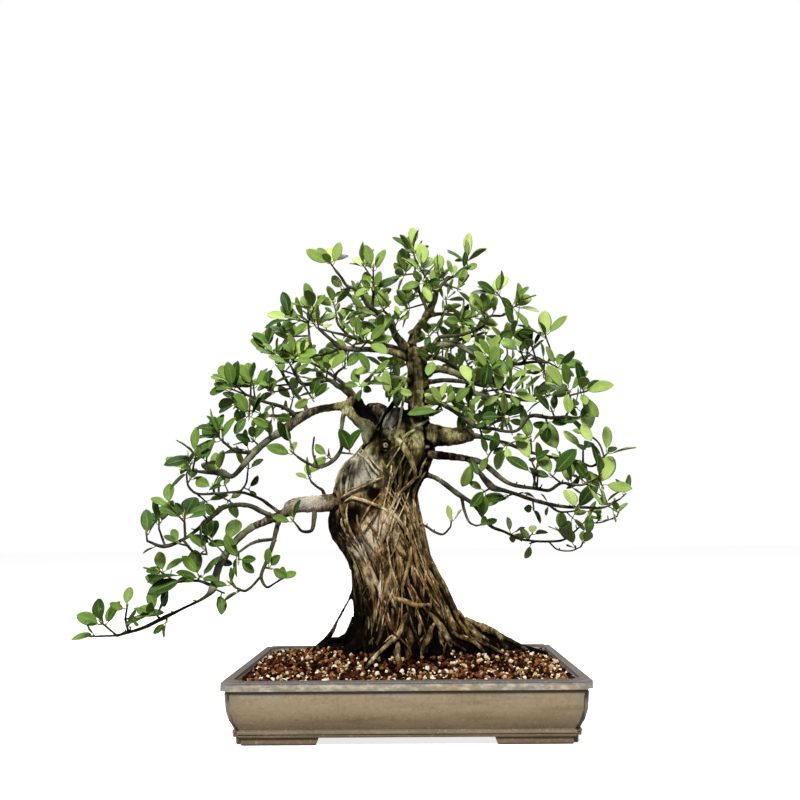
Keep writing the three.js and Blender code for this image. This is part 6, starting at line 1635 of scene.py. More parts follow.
def add_cut_stub(roots):
    """An old cut that faces the front: a dark ring of bark round pale wood."""
    centre = on_bark(*CUT_STUB, 1, 0) + np.array([0.0, -1.5, 0.0])
    turns = np.linspace(0, 2 * math.pi, 17)
    for radius, thick, bright, back in ((STUB_RADIUS, 2.3, 0.3, 0.0), (STUB_RADIUS - 2.6, 2.2, -1.2, 1.2)):
        ring = [centre + np.array([radius * math.cos(turn), 0.12 * radius * math.cos(turn) - back,
                                   radius * math.sin(turn)]) for turn in turns]
        add_tube(roots, ring, [thick] * len(ring), 8, (bright, -0.1, 0.1), rough=0.25, seed=60)
    plug = [centre + np.array([0.0, back, 0.0]) for back in (3.0, -1.4, -2.6)]
    add_tube(roots, plug, [4.6, 4.6, 3.8], 12, (1.1, 0.0, -0.2), rough=0.3, seed=61, tip=0.1)
    for chip in range(CHIP_COUNT):
        draw = Draws(CHIP_SEED + chip)
        turn = draw.between(0, 2 * math.pi)
        out = draw.between(1.0, 5.2)
        foot = centre + np.array([out * math.cos(turn), -1.6 - draw(), out * math.sin(turn)])
        way = [foot, foot + np.array([draw.between(-3, 3), -0.4, draw.between(-3, 3)])]
        radii = [draw.between(0.7, 1.3)] * 2
        details = (draw.between(0.2, 1.3), -0.1, -draw.between(0.0, 0.9))
        add_tube(roots, way, radii, 6, details, rough=0.3, seed=700 + chip)


RIDGE_COUNT = 11
RIDGE_SEED = 7600
RIDGE_STEPS = 8
RIDGE_MIDDLE = (-17, 455, 26)
RIDGE_REACH = (17, 26, 20)


def add_ridges(roots):
    """Weathered ridges that run up the face of the dead wood."""
    middle = seen(*RIDGE_MIDDLE)
    for ridge in range(RIDGE_COUNT):
        draw = Draws(RIDGE_SEED + ridge)
        share = (ridge + 0.5) / RIDGE_COUNT * 2 - 1
        points = []
        for step in range(RIDGE_STEPS + 1):
            along = step / RIDGE_STEPS * 2 - 1
            wide = math.sqrt(max(0.05, 1 - 0.7 * along * along))
            across = share * wide * 0.96
            out = math.sqrt(max(0.0, 1 - across * across)) * math.sqrt(max(0.0, 1 - 0.55 * along * along))
            sideways = across * RIDGE_REACH[0] + 7 * along + 1.2 * wander(step * 0.5, ridge, 0)
            points.append(middle + np.array([sideways, -out * RIDGE_REACH[2], along * RIDGE_REACH[1]]))
        points, radii = smooth_way(points, [draw.between(1.4, 2.6)] * len(points), 3.0)
        bright = draw.between(0.5, 0.9) if share < 0.25 else draw.between(-0.3, 0.1)
        add_tube(roots, points, radii, 8, (bright, -0.1, 0.0), rough=0.25, seed=ridge + 900)


def root_detail(points, bright, red):
    """Brightness wanders along a root, and a red root counts as less than green."""
    tones = [bright + 0.02 + 0.2 * wander(index * 0.35, bright * 9, red) for index in range(len(points))]
    tones = np.array(tones) - [FLANK_SHADE * clamp((FLANK_RIGHT - point[0]) / 14)
                               * clamp((FLANK_TOP - point[2]) / 45) for point in points]
    return np.column_stack([tones, np.full(len(points), -0.1), np.full(len(points), -red)])


def add_over_roots(roots):
    """Thinner roots laid on the bark all round, running down and a little to the right."""
    for seed in range(OVER_COUNT):
        draw = Draws(OVER_SEED + seed)
        angle = (seed + draw()) / OVER_COUNT * 2 * math.pi * 7
        front = math.sin(angle) < -0.15
        top = draw.between(150, 330) if front else draw.between(160, 430)
        length = draw.between(50, 150)
        foot = max(86, top - length)
        slant = draw.between(-0.25, 0.55) * (1 if front else draw.between(-1, 1))
        radius = draw.between(1.0, 2.9) * (0.8 if front else 1.0)
        phase = draw.between(0, 6.28)
        bright = draw.between(0.1, 0.5) if front else draw.between(0.3, 0.65)
        red = draw.between(-0.4, 0.5)
        points = []
        steps = max(8, int((top - foot) / 5))
        for step in range(steps + 1):
            share = step / steps
            ends = min(share, 1 - share) * (top - foot)
            dip = 0.15 * radius + END_DIP * max(0.0, 1 - ends / (5 * radius + 5))
            turn = angle + slant * share + 0.04 * math.sin(phase + 6 * share)
            z = top + (foot - top) * share
            flare = 10 * max(0.0, (110 - z) / 30) ** 1.5
            points.append(surface_point(turn, z, flare - dip - 0.6 + 0.5 * math.sin(phase + 9 * share)))
        radii = ended(len(points), radius, top - foot)
        details = root_detail(points, bright, red)
        # Painted shade: roots are darker towards the foot of the trunk
        details[:, 0] += [0.34 * clamp((point[2] - 130) / 80) - 0.04 for point in points]
        add_tube(roots, points, radii, 8, details, rough=0.2, seed=seed + 200)


def add_fine_roots(roots):
    """Hair-thin pale roots that cross the front of the trunk at a slant."""
    for seed in range(FINE_COUNT):
        draw = Draws(FINE_SEED + seed)
        top = draw.between(170, 405)
        length = draw.between(36, 120)
        foot = max(92, top - length)
        centre, half, _ = trunk_row((top + foot) / 2)
        x = centre[0] + half * draw.between(-0.8, 0.85)
        slant = draw.between(-0.5, 0.5) + (0.25 if draw() < 0.5 else -0.1)
        if x < BULGE_RIGHT and top > BULGE_FOOT and draw() < 0.85:
            continue
        phase = draw.between(0, 6.28)
        points = []
        steps = max(7, int((top - foot) / 6))
        for step in range(steps + 1):
            share = step / steps
            z = top + (foot - top) * share
            points.append([x + slant * (top - z) + 2.4 * math.sin(phase + 5 * share), z])
        radius = draw.between(0.8, 1.5)
        way = bark_way(points, radius)
        # Painted shade: fine roots that start low are darker, and darker still near the foot
        bright = draw.between(0.35, 0.95) - 0.35 * clamp((200 - top) / 60)
        details = root_detail(way, bright, draw.between(-0.15, 0.1))
        details[:, 0] -= [0.4 * clamp((150 - point[2]) / 50) for point in way]
        add_tube(roots, way, ended(len(way), radius, length), 6, details, rough=0.2, seed=seed + 400)


# Materials, each from nodes

class Nodes:
    """A material's nodes, made one after another."""

    def __init__(self, name, roughness, specular=0.5):
        self.material = bpy.data.materials.new(name)
        self.material.use_nodes = True
        self.tree = self.material.node_tree
        self.shader = self.tree.nodes["Principled BSDF"]
        self.shader.inputs["Roughness"].default_value = roughness
        self.shader.inputs["Specular IOR Level"].default_value = specular

    def link(self, source, target):
        self.tree.links.new(source, target)

    def node(self, kind, **settings):
        node = self.tree.nodes.new(kind)
        for name, value in settings.items():
            setattr(node, name, value)
        return node

    def feed(self, socket, value):
        """Give a socket a number, a colour or what another node puts out."""
        if isinstance(value, tuple):
            socket.default_value = (*value, 1)
        elif isinstance(value, (int, float)):
            socket.default_value = value
        else:
            self.link(value, socket)

    def math(self, operation, first, second=None, clamp=False):
        node = self.node("ShaderNodeMath", operation=operation, use_clamp=clamp)
        self.feed(node.inputs[0], first)
        if second is not None:
            self.feed(node.inputs[1], second)
        return node.outputs[0]

    def times(self, first, second, clamp=False):
        return self.math("MULTIPLY", first, second, clamp)

    def past(self, value, start, gain):
        """How far a value is past its start, times a gain, kept between 0 and 1."""
        return self.times(self.math("SUBTRACT", value, start), gain, clamp=True)

    def short_of(self, value, end, gain):
        """How far a value is short of its end, times a gain, kept between 0 and 1."""
        return self.times(self.math("SUBTRACT", end, value), gain, clamp=True)

    def swayed(self, value, by, amount, middle=0.5, clamp=False):
        """A value moved up and down by a noise."""
        return self.math("ADD", value, self.times(self.math("SUBTRACT", by, middle), amount), clamp)

    def mix(self, share, under, over, blend="MIX"):
        """One colour mixed into another. Sockets 6 and 7 and output 2 are the ones for colours."""
        node = self.node("ShaderNodeMix", data_type="RGBA", blend_type=blend)
        for place, value in ((0, share), (6, under), (7, over)):
            self.feed(node.inputs[place], value)
        return node.outputs[2]

    def paint(self, under, share, amount, colour):
        """A colour laid over another, by a share of its full amount."""
        return self.mix(self.times(share, amount), under, colour)

    def tinted(self, under, share, tint):
        """A colour multiplied by a tint, by a share."""
        return self.mix(share, under, self.mix(1.0, under, tint, "MULTIPLY"))

    def ramp(self, value, stops):
        node = self.node("ShaderNodeValToRGB")
        while len(node.color_ramp.elements) < len(stops):
            node.color_ramp.elements.new(0.5)
        for element, (place, colour) in zip(node.color_ramp.elements, stops):
            element.position = place
            element.color = (*colour, 1)
        self.link(value, node.inputs[0])
        return node.outputs[0]

    def grey(self, colour):
        """The same colour with less of its hue."""
        node = self.node("ShaderNodeHueSaturation")
        node.inputs["Saturation"].default_value = GREY_SATURATION
        self.link(colour, node.inputs["Color"])
        return node.outputs[0]

    def coordinates(self, scale=(1, 1, 1)):
        source = self.node("ShaderNodeTexCoord").outputs["Object"]
        mapping = self.node("ShaderNodeMapping")
        mapping.inputs["Scale"].default_value = scale
        self.link(source, mapping.inputs["Vector"])
        return mapping.outputs[0]

    def noise(self, scale, detail=4.0, stretch=(1, 1, 1), roughness=0.55):
        node = self.node("ShaderNodeTexNoise")
        node.inputs["Scale"].default_value = scale
        node.inputs["Detail"].default_value = detail
        node.inputs["Roughness"].default_value = roughness
        self.link(self.coordinates(stretch), node.inputs["Vector"])
        return node.outputs["Fac"]

    def split(self, vector):
        node = self.node("ShaderNodeSeparateXYZ")
        self.link(vector, node.inputs[0])
        return node.outputs

    def detail(self):
        """The three numbers kept at each vertex."""
        return self.split(self.node("ShaderNodeAttribute", attribute_name="detail").outputs["Vector"])

    def distance_to(self, point):
        node = self.node("ShaderNodeVectorMath", operation="DISTANCE")
        self.link(self.coordinates(), node.inputs[0])
        node.inputs[1].default_value = tuple(float(value) for value in point)
        return node.outputs["Value"]

    def colour(self, value):
        self.link(value, self.shader.inputs["Base Color"])

    def bump(self, height, strength, distance):
        node = self.node("ShaderNodeBump")
        node.inputs["Strength"].default_value = strength
        node.inputs["Distance"].default_value = distance
        self.link(height, node.inputs["Height"])
        self.link(node.outputs[0], self.shader.inputs["Normal"])


def srgb(red, green, blue):
    """A colour given as on a screen, 0 to 255, for a shader."""
    def linear(value):
        share = value / 255
        return share / 12.92 if share <= 0.04045 else ((share + 0.055) / 1.055) ** 2.4
    return tuple(linear(value) for value in (red, green, blue))


GREY_SATURATION = 0.45
BLADE_STOPS = [
    (0.0, srgb(14, 44, 6)), (0.25, srgb(50, 84, 24)), (0.5, srgb(99, 127, 54)), (0.75, srgb(138, 160, 82)),
    (1.0, srgb(160, 182, 102)),
]
STALK_STOPS = [(0.0, srgb(80, 92, 36)), (1.0, srgb(148, 162, 70))]
# How far apart the veins of a leaf are, along its rib and away from it
VEINS_ALONG = 66.0
VEINS_ACROSS = 17.0


def leaf_material():
    """detail: across the blade from -1 to 1, along it from 0 to 1, and its tone, less UNDER_MARK on its
    underside and plus STALK_MARK on a stalk or bud."""
    nodes = Nodes("ficus leaf", 0.48, 0.12)
    across, along, tone = nodes.detail()
    is_stalk = nodes.math("GREATER_THAN", tone, STALK_MARK - 1.5)
    is_under = nodes.math("LESS_THAN", tone, -0.6)
    tone = nodes.math("SUBTRACT", tone, nodes.times(is_stalk, STALK_MARK))
    tone = nodes.math("ADD", tone, nodes.times(is_under, UNDER_MARK))
    patchy = nodes.noise(60, 4)
    shade = nodes.swayed(tone, patchy, 0.34, clamp=True)
    blade = nodes.ramp(shade, BLADE_STOPS)
    blade = nodes.mix(is_under, blade, nodes.mix(0.4, blade, srgb(142, 158, 92)))
    side = nodes.math("ABSOLUTE", across)
    rib = nodes.math("SUBTRACT", 1.0, nodes.times(side, 10.0), clamp=True)
    rib = nodes.times(rib, nodes.math("SUBTRACT", 1.1, along))
    waves = nodes.math("SUBTRACT", nodes.times(along, VEINS_ALONG), nodes.times(side, VEINS_ACROSS))
    crests = nodes.math("MAXIMUM", nodes.math("SINE", waves), 0.0)
    veins = nodes.times(nodes.math("POWER", crests, 10.0), 0.28)
    line = nodes.math("MAXIMUM", nodes.times(rib, 0.9), veins)
    blade = nodes.mix(line, blade, nodes.mix(0.6, blade, srgb(168, 190, 100)))
    blade = nodes.paint(blade, nodes.math("POWER", side, 8.0), 0.3, srgb(96, 130, 44))
    nodes.colour(nodes.mix(is_stalk, blade, nodes.ramp(shade, STALK_STOPS)))
    height = nodes.math("SUBTRACT", nodes.times(patchy, 0.4), nodes.math("ADD", rib, veins))
    nodes.bump(height, 0.35, 0.0005)
    return nodes.material


BRANCH_STOPS = [
    (0.0, srgb(30, 29, 17)), (0.3, srgb(76, 74, 56)), (0.6, srgb(120, 119, 99)), (1.0, srgb(170, 170, 154)),
]


def bark_material():
    """Wood of the branches. detail: thickness from 0, a thin twig, to 1."""
    nodes = Nodes("branch bark", 0.8, 0.06)
    thick, _, _ = nodes.detail()
    patches = nodes.noise(44, 5)
    fine = nodes.noise(520, 4, (1, 1, 0.6))
    wood = nodes.ramp(nodes.swayed(thick, patches, 1.5, clamp=True), BRANCH_STOPS)
    wood = nodes.mix(nodes.past(fine, 0.5, 3.2), wood, srgb(30, 26, 18))
    lichen = nodes.past(nodes.noise(26, 4), 0.55, 4.0)
    wood = nodes.paint(wood, lichen, 0.7, srgb(84, 94, 46))
    nodes.colour(wood)
    nodes.bump(nodes.math("ADD", fine, patches), 0.7, 0.0014)
    return nodes.material


# Bark is olive from this height up, and grey on the limbs that reach out from the middle, in metres
OLIVE_FROM = float(ORIGIN[2]) + 0.33
LIMBS_MIDDLE = float(ORIGIN[0]) - 0.01
LIMBS_FROM = 0.098
LIMBS_ABOVE = float(ORIGIN[2]) + 0.22
# Bark is more golden to the right of this place, in metres
GOLDEN_FROM = float(ORIGIN[0]) - 0.05
# The dead wood is grey, this far out from its middle
DEAD_MIDDLE = ORIGIN + seen(-22, 470, 24) * MM
DEAD_REACH = 0.044
# Places where the bark is weathered pale, as seen, and how far they reach in metres
PALE_PLACES = [((-72, 376, 6), 0.046), ((-64, 262, 6), 0.036)]
TRUNK_STOPS = [
    (0.0, srgb(3, 1, 0)), (0.22, srgb(20, 13, 6)), (0.42, srgb(64, 49, 26)), (0.62, srgb(120, 104, 70)),
    (0.82, srgb(166, 149, 114)), (1.0, srgb(212, 201, 178)),
]
OLIVE_TINT = (0.83, 1.04, 0.82)
GOLDEN_TINT = (0.86, 0.5, 0.14)
DEAD_TINT = (1.02, 0.96, 1.06)


def trunk_material():
    """Bark of the trunk. detail: brightness, how hollow the place is from -1 to 1, and greenness, which
    is below 0 where the bark is red."""
    nodes = Nodes("trunk bark", 0.84, 0.05)
    bright, hollow, green = nodes.detail()
    long_grain = nodes.noise(170, 5, (1, 1, 0.14))
    patches = nodes.noise(30, 5, (1, 1, 0.6))
    rough = nodes.noise(110, 6, (1, 1, 0.7), 0.7)
    fine = nodes.noise(620, 4, (1, 1, 0.4))
    light = nodes.swayed(nodes.swayed(bright, patches, 1.2), rough, 1.3)
    light = nodes.swayed(light, long_grain, 1.2, clamp=True)
    wood = nodes.ramp(light, TRUNK_STOPS)
    place_x, _, place_z = nodes.split(nodes.coordinates())
    upper = nodes.past(place_z, OLIVE_FROM, 9.0)
    wood = nodes.tinted(wood, upper, OLIVE_TINT)
    golden = nodes.times(nodes.past(nodes.noise(14, 3), 0.46, 5.0), 0.8)
    right = nodes.times(nodes.past(place_x, GOLDEN_FROM, 20.0), 0.3)
    golden = nodes.math("ADD", golden, right, clamp=True)
    golden = nodes.times(golden, nodes.math("SUBTRACT", 1.0, upper))
    wood = nodes.tinted(wood, nodes.times(golden, 0.72), GOLDEN_TINT)
    off_middle = nodes.math("ABSOLUTE", nodes.math("SUBTRACT", place_x, LIMBS_MIDDLE))
    limb = nodes.times(nodes.past(off_middle, LIMBS_FROM, 30.0),
                       nodes.math("GREATER_THAN", place_z, LIMBS_ABOVE))
    wood = nodes.paint(wood, limb, 0.85, nodes.grey(wood))
    dead = nodes.short_of(nodes.distance_to(DEAD_MIDDLE), DEAD_REACH, 90.0)
    wood = nodes.mix(dead, wood, nodes.mix(1.0, nodes.grey(wood), DEAD_TINT, "MULTIPLY"))
    for place, reach in PALE_PLACES:
        pale = nodes.short_of(nodes.distance_to(ORIGIN + seen(*place) * MM), reach, 60.0)
        wood = nodes.paint(wood, pale, 0.75, nodes.grey(wood))
    wood = nodes.tinted(wood, nodes.times(green, -1.0, clamp=True), srgb(206, 150, 120))
    moss = nodes.swayed(green, nodes.noise(48, 4), 1.6, middle=0.6, clamp=True)
    wood = nodes.paint(wood, moss, 0.7, srgb(58, 66, 20))
    # Painted shade: hollows are made near black
    wood = nodes.mix(nodes.past(hollow, -0.02, 3.2), wood, srgb(3, 2, 1))
    # Painted highlight: ridges are made paler where the bark is light
    ridge = nodes.times(nodes.times(hollow, -1.0), 0.5, clamp=True)
    ridge = nodes.times(ridge, nodes.times(light, 1.6, clamp=True))
    wood = nodes.mix(ridge, wood, srgb(178, 160, 122))
    wood = nodes.paint(wood, nodes.past(fine, 0.52, 4.0), 0.75, srgb(26, 18, 12))
    nodes.colour(wood)
    height = nodes.math("ADD", nodes.times(long_grain, 1.2), nodes.times(rough, 1.4))
    nodes.bump(nodes.math("ADD", height, nodes.times(fine, 0.5)), 1.0, 0.0032)
    return nodes.material


def soil_material(name, stops, tints=()):
    """Grains. detail: tone from 0, dark, to 1."""
    nodes = Nodes(name, 0.88, 0.06)
    tone, _, _ = nodes.detail()
    fine = nodes.noise(500, 3)
    colour = nodes.ramp(nodes.swayed(tone, fine, 0.35, clamp=True), stops)
    for scale, stretch, tint in tints:
        colour = nodes.tinted(colour, nodes.past(nodes.noise(scale, 2, stretch), 0.54, 9.0), tint)
    nodes.colour(colour)
    nodes.bump(fine, 0.6, 0.0008)
    return nodes.material


# Painted shade: the tray is darker and greyer from this far out from its middle, in metres
TRAY_END_SHADE_FROM = 0.222
# The lip and its rim start at these shares of the tray's height
LIP_FROM = 0.86
RIM_FROM = 0.955
CLAY_STOPS = [
    (0.0, srgb(104, 87, 68)), (0.3, srgb(138, 119, 92)), (0.62, srgb(157, 138, 110)),
    (0.8, srgb(157, 140, 114)), (0.9, srgb(156, 146, 130)), (1.0, srgb(156, 149, 138)),
]


def tray_material():
    """Clay that is browner towards the foot, with a blotched lip, and painted shade on its rim and on faces
    that point up.
    """
    nodes = Nodes("tray clay", 0.62, 0.35)
    place_x, _, place_z = nodes.split(nodes.coordinates())
    height = nodes.math("DIVIDE", place_z, TRAY_HEIGHT * MM)
    clouds = nodes.noise(9, 5, (1, 1, 2.2))
    streaks = nodes.noise(60, 4, (0.25, 0.25, 2.0))
    fine = nodes.noise(900, 3)
    clay = nodes.ramp(nodes.swayed(height, clouds, 0.7, clamp=True), CLAY_STOPS)
    lip = nodes.math("GREATER_THAN", height, LIP_FROM)
    blotches = nodes.noise(170, 6, (0.4, 1, 1), 0.7)
    dark = nodes.times(lip, nodes.past(blotches, 0.5, 9.0))
    light = nodes.times(lip, nodes.short_of(blotches, 0.5, 9.0))
    _, _, upward = nodes.split(nodes.node("ShaderNodeNewGeometry").outputs["Normal"])
    end = nodes.math("ABSOLUTE", nodes.math("SUBTRACT", place_x, float(ORIGIN[0])))
    for share, amount, colour in (
            (dark, 0.4, srgb(92, 82, 74)),
            (light, 0.7, srgb(198, 190, 172)),
            # Painted shade: the rim and the faces that point up are darker
            (nodes.past(height, RIM_FROM, 60.0), 0.84, srgb(66, 63, 70)),
            (nodes.past(upward, 0.45, 3.0), 0.85, srgb(78, 75, 74)),
            (nodes.past(streaks, 0.5, 3.4), 0.42, srgb(84, 75, 54)),
            (nodes.past(nodes.noise(170, 4), 0.5, 4.0), 0.36, srgb(92, 80, 60)),
            (nodes.past(nodes.noise(300, 3), 0.56, 5.0), 0.34, srgb(196, 184, 158)),
            (nodes.past(fine, 0.58, 5.0), 0.5, srgb(70, 60, 46)),
            # Painted shade towards the ends of the tray
            (nodes.past(end, TRAY_END_SHADE_FROM, 60.0), 0.5, srgb(116, 110, 108))):
        clay = nodes.paint(clay, share, amount, colour)
    nodes.colour(clay)
    nodes.bump(nodes.math("ADD", fine, nodes.times(clouds, 2.0)), 0.25, 0.0008)
    return nodes.material


def plain_material(name, colour, roughness):
    nodes = Nodes(name, roughness)
    nodes.colour(nodes.paint(colour, nodes.noise(30, 3), 0.25, tuple(value * 0.7 for value in colour)))
    return nodes.material


def glowing_material(name, glow, base):
    nodes = Nodes(name, 1.0, 0.0)
    nodes.shader.inputs["Base Color"].default_value = (base, base, base, 1)
    nodes.shader.inputs["Emission Color"].default_value = (1, 1, 1, 1)
    nodes.shader.inputs["Emission Strength"].default_value = glow
    return nodes.material


# Soil: a near-black bed, painted shade between the grains, with loose grains on it

# Hollows in the soil: x, distance in front of the middle, half width, half depth and depth
HOLLOWS = [(-22, 78, 24, 9, 15), (62, 70, 16, 8, 6)]
GRAIN_STEP = 6.2
BED_DROP = 3.4
BED_COLUMNS = 150
BED_ROWS = 102
CORNER_CUT = 13
GRAIN_SEED = 11
PUMICE_COUNT = 300
SMALL_PUMICE_COUNT = 520
SOIL_STOPS = [
    (0.0, srgb(4, 1, 0)), (0.28, srgb(26, 9, 4)), (0.5, srgb(66, 31, 15)), (0.7, srgb(106, 58, 31)),
    (0.86, srgb(134, 94, 56)), (1.0, srgb(164, 136, 96)),
]
# Scale and stretch of the noise, and the colour that it brings: olive grains and dark red ones
SOIL_TINTS = [(120, (1, 1, 1.3), (0.96, 1.5, 1.1)), (150, (1.2, 1, 1), (0.92, 0.5, 0.5))]
PUMICE_STOPS = [(0.0, srgb(120, 92, 58)), (0.35, srgb(176, 150, 108)), (0.7, srgb(210, 196, 164)),
                (1.0, srgb(232, 226, 208))]


def bed_height(x, y):
    height = soil_height(x, y)
    for middle_x, forward, wide, deep, down in HOLLOWS:
        height = height - down * math.exp(-(((x - middle_x) / wide) ** 2 + ((y + forward) / deep) ** 2))
    return height


def inside_tray(x, y, margin=0.0):
    """Whether a place is inside the tray's walls, with its cut corners."""
    half_x, half_y = INSIDE_X - margin, INSIDE_Y - margin
    if abs(x) > half_x or abs(y) > half_y:
        return False
    return not (abs(x) > half_x - CORNER_CUT and abs(y) > half_y - CORNER_CUT)


def make_bed(materials):
    """The bed under the grains, near black as painted shade between them."""
    shape = Shape()
    half_x, half_y = INSIDE_X + 0.5, INSIDE_Y + 0.5
    xs = np.linspace(-half_x, half_x, BED_COLUMNS)
    ys = np.linspace(-half_y, half_y, BED_ROWS)
    points = np.array([[x, y, bed_height(x, y) - BED_DROP + 0.8 * wander(x * 0.15, y * 0.15, 4.0)]
                       for y in ys for x in xs])
    index = np.arange(BED_ROWS * BED_COLUMNS).reshape(BED_ROWS, BED_COLUMNS)
    keep = np.array([[inside_tray((left + right) / 2, (front + back) / 2) for left, right in zip(xs, xs[1:])]
                     for front, back in zip(ys, ys[1:])])
    quads = np.stack([index[:-1, :-1], index[:-1, 1:], index[1:, 1:], index[1:, :-1]], -1)[keep]
    # Tone 0 paints the bed near black, as shade between the grains
    shape.add(points, quads, [], (0.0, 0.0, 0.0))
    bed = shape.make("soil_bed", materials["soil"])
    keep_piece(bed, "soil", "soil")


def ball_shape():
    """A round form of 20 flat faces."""
    golden = (1 + math.sqrt(5)) / 2
    points = np.array([(-1, golden, 0), (1, golden, 0), (-1, -golden, 0), (1, -golden, 0), (0, -1, golden),
                       (0, 1, golden), (0, -1, -golden), (0, 1, -golden), (golden, 0, -1), (golden, 0, 1),
                       (-golden, 0, -1), (-golden, 0, 1)], float)
    faces = np.array([(0, 11, 5), (0, 5, 1), (0, 1, 7), (0, 7, 10), (0, 10, 11), (1, 5, 9), (5, 11, 4),
                      (11, 10, 2), (10, 7, 6), (7, 1, 8), (3, 9, 4), (3, 4, 2), (3, 2, 6), (3, 6, 8),
                      (3, 8, 9), (4, 9, 5), (2, 4, 11), (6, 2, 10), (8, 6, 7), (9, 8, 1)])
    return points / np.linalg.norm(points[0]), faces


def scattered(shape, places, sizes, tones, seed):
    """Rough grains at the given places."""
    ball, faces = ball_shape()
    random = np.random.default_rng(seed)
    count = len(places)
    stretch = random.uniform(0.72, 1.28, (count, 1, 3))
    rough = random.uniform(0.78, 1.18, (count, len(ball), 1))
    angles = random.uniform(0, 2 * math.pi, (count, 3))
    cos, sin = np.cos(angles), np.sin(angles)
    forms = ball[None, :, :] * stretch * rough
    for turn, (one, other) in enumerate(((0, 1), (1, 2), (0, 2))):
        first = forms[:, :, one] * cos[:, None, turn] - forms[:, :, other] * sin[:, None, turn]
        second = forms[:, :, one] * sin[:, None, turn] + forms[:, :, other] * cos[:, None, turn]
        forms[:, :, one], forms[:, :, other] = first, second
    points = forms * np.asarray(sizes)[:, None, None] + np.asarray(places)[:, None, :]
    triangles = faces[None, :, :] + np.arange(count)[:, None, None] * len(ball)
    details = np.zeros((count, len(ball), 3))
    details[:, :, 0] = np.asarray(tones)[:, None]
    shape.add(points.reshape(-1, 3), [], triangles.reshape(-1, 3), details.reshape(-1, 3))


def in_trunk(x, y, z):
    """Whether a place is well inside the foot of the trunk."""
    centre, half, deep = trunk_row(max(TRUNK_ROWS[0][0], z))
    return ((x - centre[0]) / (half - 6)) ** 2 + ((y - centre[1]) / (deep - 6)) ** 2 < 1


def bed_grains(random):
    """Places, sizes and tones of the clay grains."""
    places, sizes, tones = [], [], []
    for row, y in enumerate(np.arange(-INSIDE_Y + 3, INSIDE_Y - 2, GRAIN_STEP * 0.87)):
        for x in np.arange(-INSIDE_X + 3 + (row % 2) * GRAIN_STEP / 2, INSIDE_X - 2, GRAIN_STEP):
            x_now = x + random.uniform(-1.6, 1.6)
            y_now = y + random.uniform(-1.6, 1.6)
            size = 1.7 + 2.9 * random.beta(1.3, 2.2)
            if not inside_tray(x_now, y_now, size * 0.9):
                continue
            z = bed_height(x_now, y_now) + random.uniform(-3.2, 1.2)
            if in_trunk(x_now, y_now, z):
                continue
            places.append((x_now, y_now, z))
            sizes.append(size)
            tones.append(random.beta(1.5, 1.7))
    return places, sizes, tones


def pumice_grains(random):
    """Places, sizes and tones of the pumice, which lies in loose groups."""
    places, sizes, tones = [], [], []
    while len(places) < PUMICE_COUNT + SMALL_PUMICE_COUNT:
        x = random.uniform(-INSIDE_X + 4, INSIDE_X - 4)
        y = random.uniform(-INSIDE_Y + 4, INSIDE_Y - 4)
        size = random.uniform(2.4, 4.2) if len(places) < PUMICE_COUNT else random.uniform(0.9, 1.9)
        gathered = 0.5 + 0.5 * wander(x * 0.02, y * 0.02, 7.0)
        if not inside_tray(x, y, size) or random.uniform(0, 1) > gathered + 0.25:
            continue
        z = bed_height(x, y) + random.uniform(-0.4, 1.6)
        if in_trunk(x, y, z):
            continue
        places.append((x, y, z))
        sizes.append(size)
        tones.append(random.beta(2.0, 1.3))
    return places, sizes, tones


def make_grains(materials):
    random = np.random.default_rng(GRAIN_SEED)
    places, sizes, tones = bed_grains(random)
    half = len(places) // 2
    for name, start, end in (("soil_grains_front", 0, half), ("soil_grains_back", half, len(places))):
        shape = Shape()
        scattered(shape, places[start:end], sizes[start:end], tones[start:end], 21 + start)
        keep_piece(shape.make(name, materials["soil"], smooth=False), "soil", "soil")
    shape = Shape()
    scattered(shape, *pumice_grains(random), 31)
    keep_piece(shape.make("soil_pumice", materials["pumice"], smooth=False), "soil", "soil")


# Tray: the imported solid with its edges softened

TRAY_BEVEL = 0.9


def make_tray(materials):
    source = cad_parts["pot"]
    tray = bpy.data.objects.new("tray", source.data.copy())
    bpy.context.scene.collection.objects.link(tray)
    tray.matrix_world = source.matrix_world.copy()
    welded = bmesh.new()
    welded.from_mesh(tray.data)
    bmesh.ops.remove_doubles(welded, verts=welded.verts, dist=0.02 * MM)
    bmesh.ops.dissolve_limit(welded, angle_limit=math.radians(1.5), verts=welded.verts, edges=welded.edges)
    welded.to_mesh(tray.data)
    welded.free()
    bevel = tray.modifiers.new("soft edges", "BEVEL")
    bevel.width = TRAY_BEVEL * MM
    bevel.segments = 3
    bevel.limit_method = "ANGLE"
    bevel.angle_limit = math.radians(24)
    bevel.use_clamp_overlap = True
    bevel.harden_normals = False
    for polygon in tray.data.polygons:
        polygon.use_smooth = True
    tray.data.materials.clear()
    tray.data.materials.append(materials["tray"])
    smooth = tray.modifiers.new("flat faces", "WEIGHTED_NORMAL")
    smooth.keep_sharp = True
    keep_piece(tray, "tray_clay", "pot")


# The scene

materials = {
    "leaf": leaf_material(),
    "bark": bark_material(),
    "trunk": trunk_material(),
    "soil": soil_material("clay grains", SOIL_STOPS, SOIL_TINTS),
    "pumice": soil_material("pumice", PUMICE_STOPS),
    "tray": tray_material(),
}

make_tray(materials)
for screen in ("drain_screen_left", "drain_screen_right"):
    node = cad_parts[screen]
    node.data.materials.clear()
    node.data.materials.append(plain_material(screen + " plastic", (0.03, 0.03, 0.03), 0.5))
make_bed(materials)
make_grains(materials)
make_trunk(materials)
make_roots(materials)
for place, spray in enumerate(SPRAYS):
    make_spray(place, spray, materials)
make_small_branches(materials)
make_facing_leaves(materials)


# Floor, light and camera: a pale floor and backdrop that throw little light back

FLOOR_SIZE = 14.0
BACKDROP_SIZE = 24.0


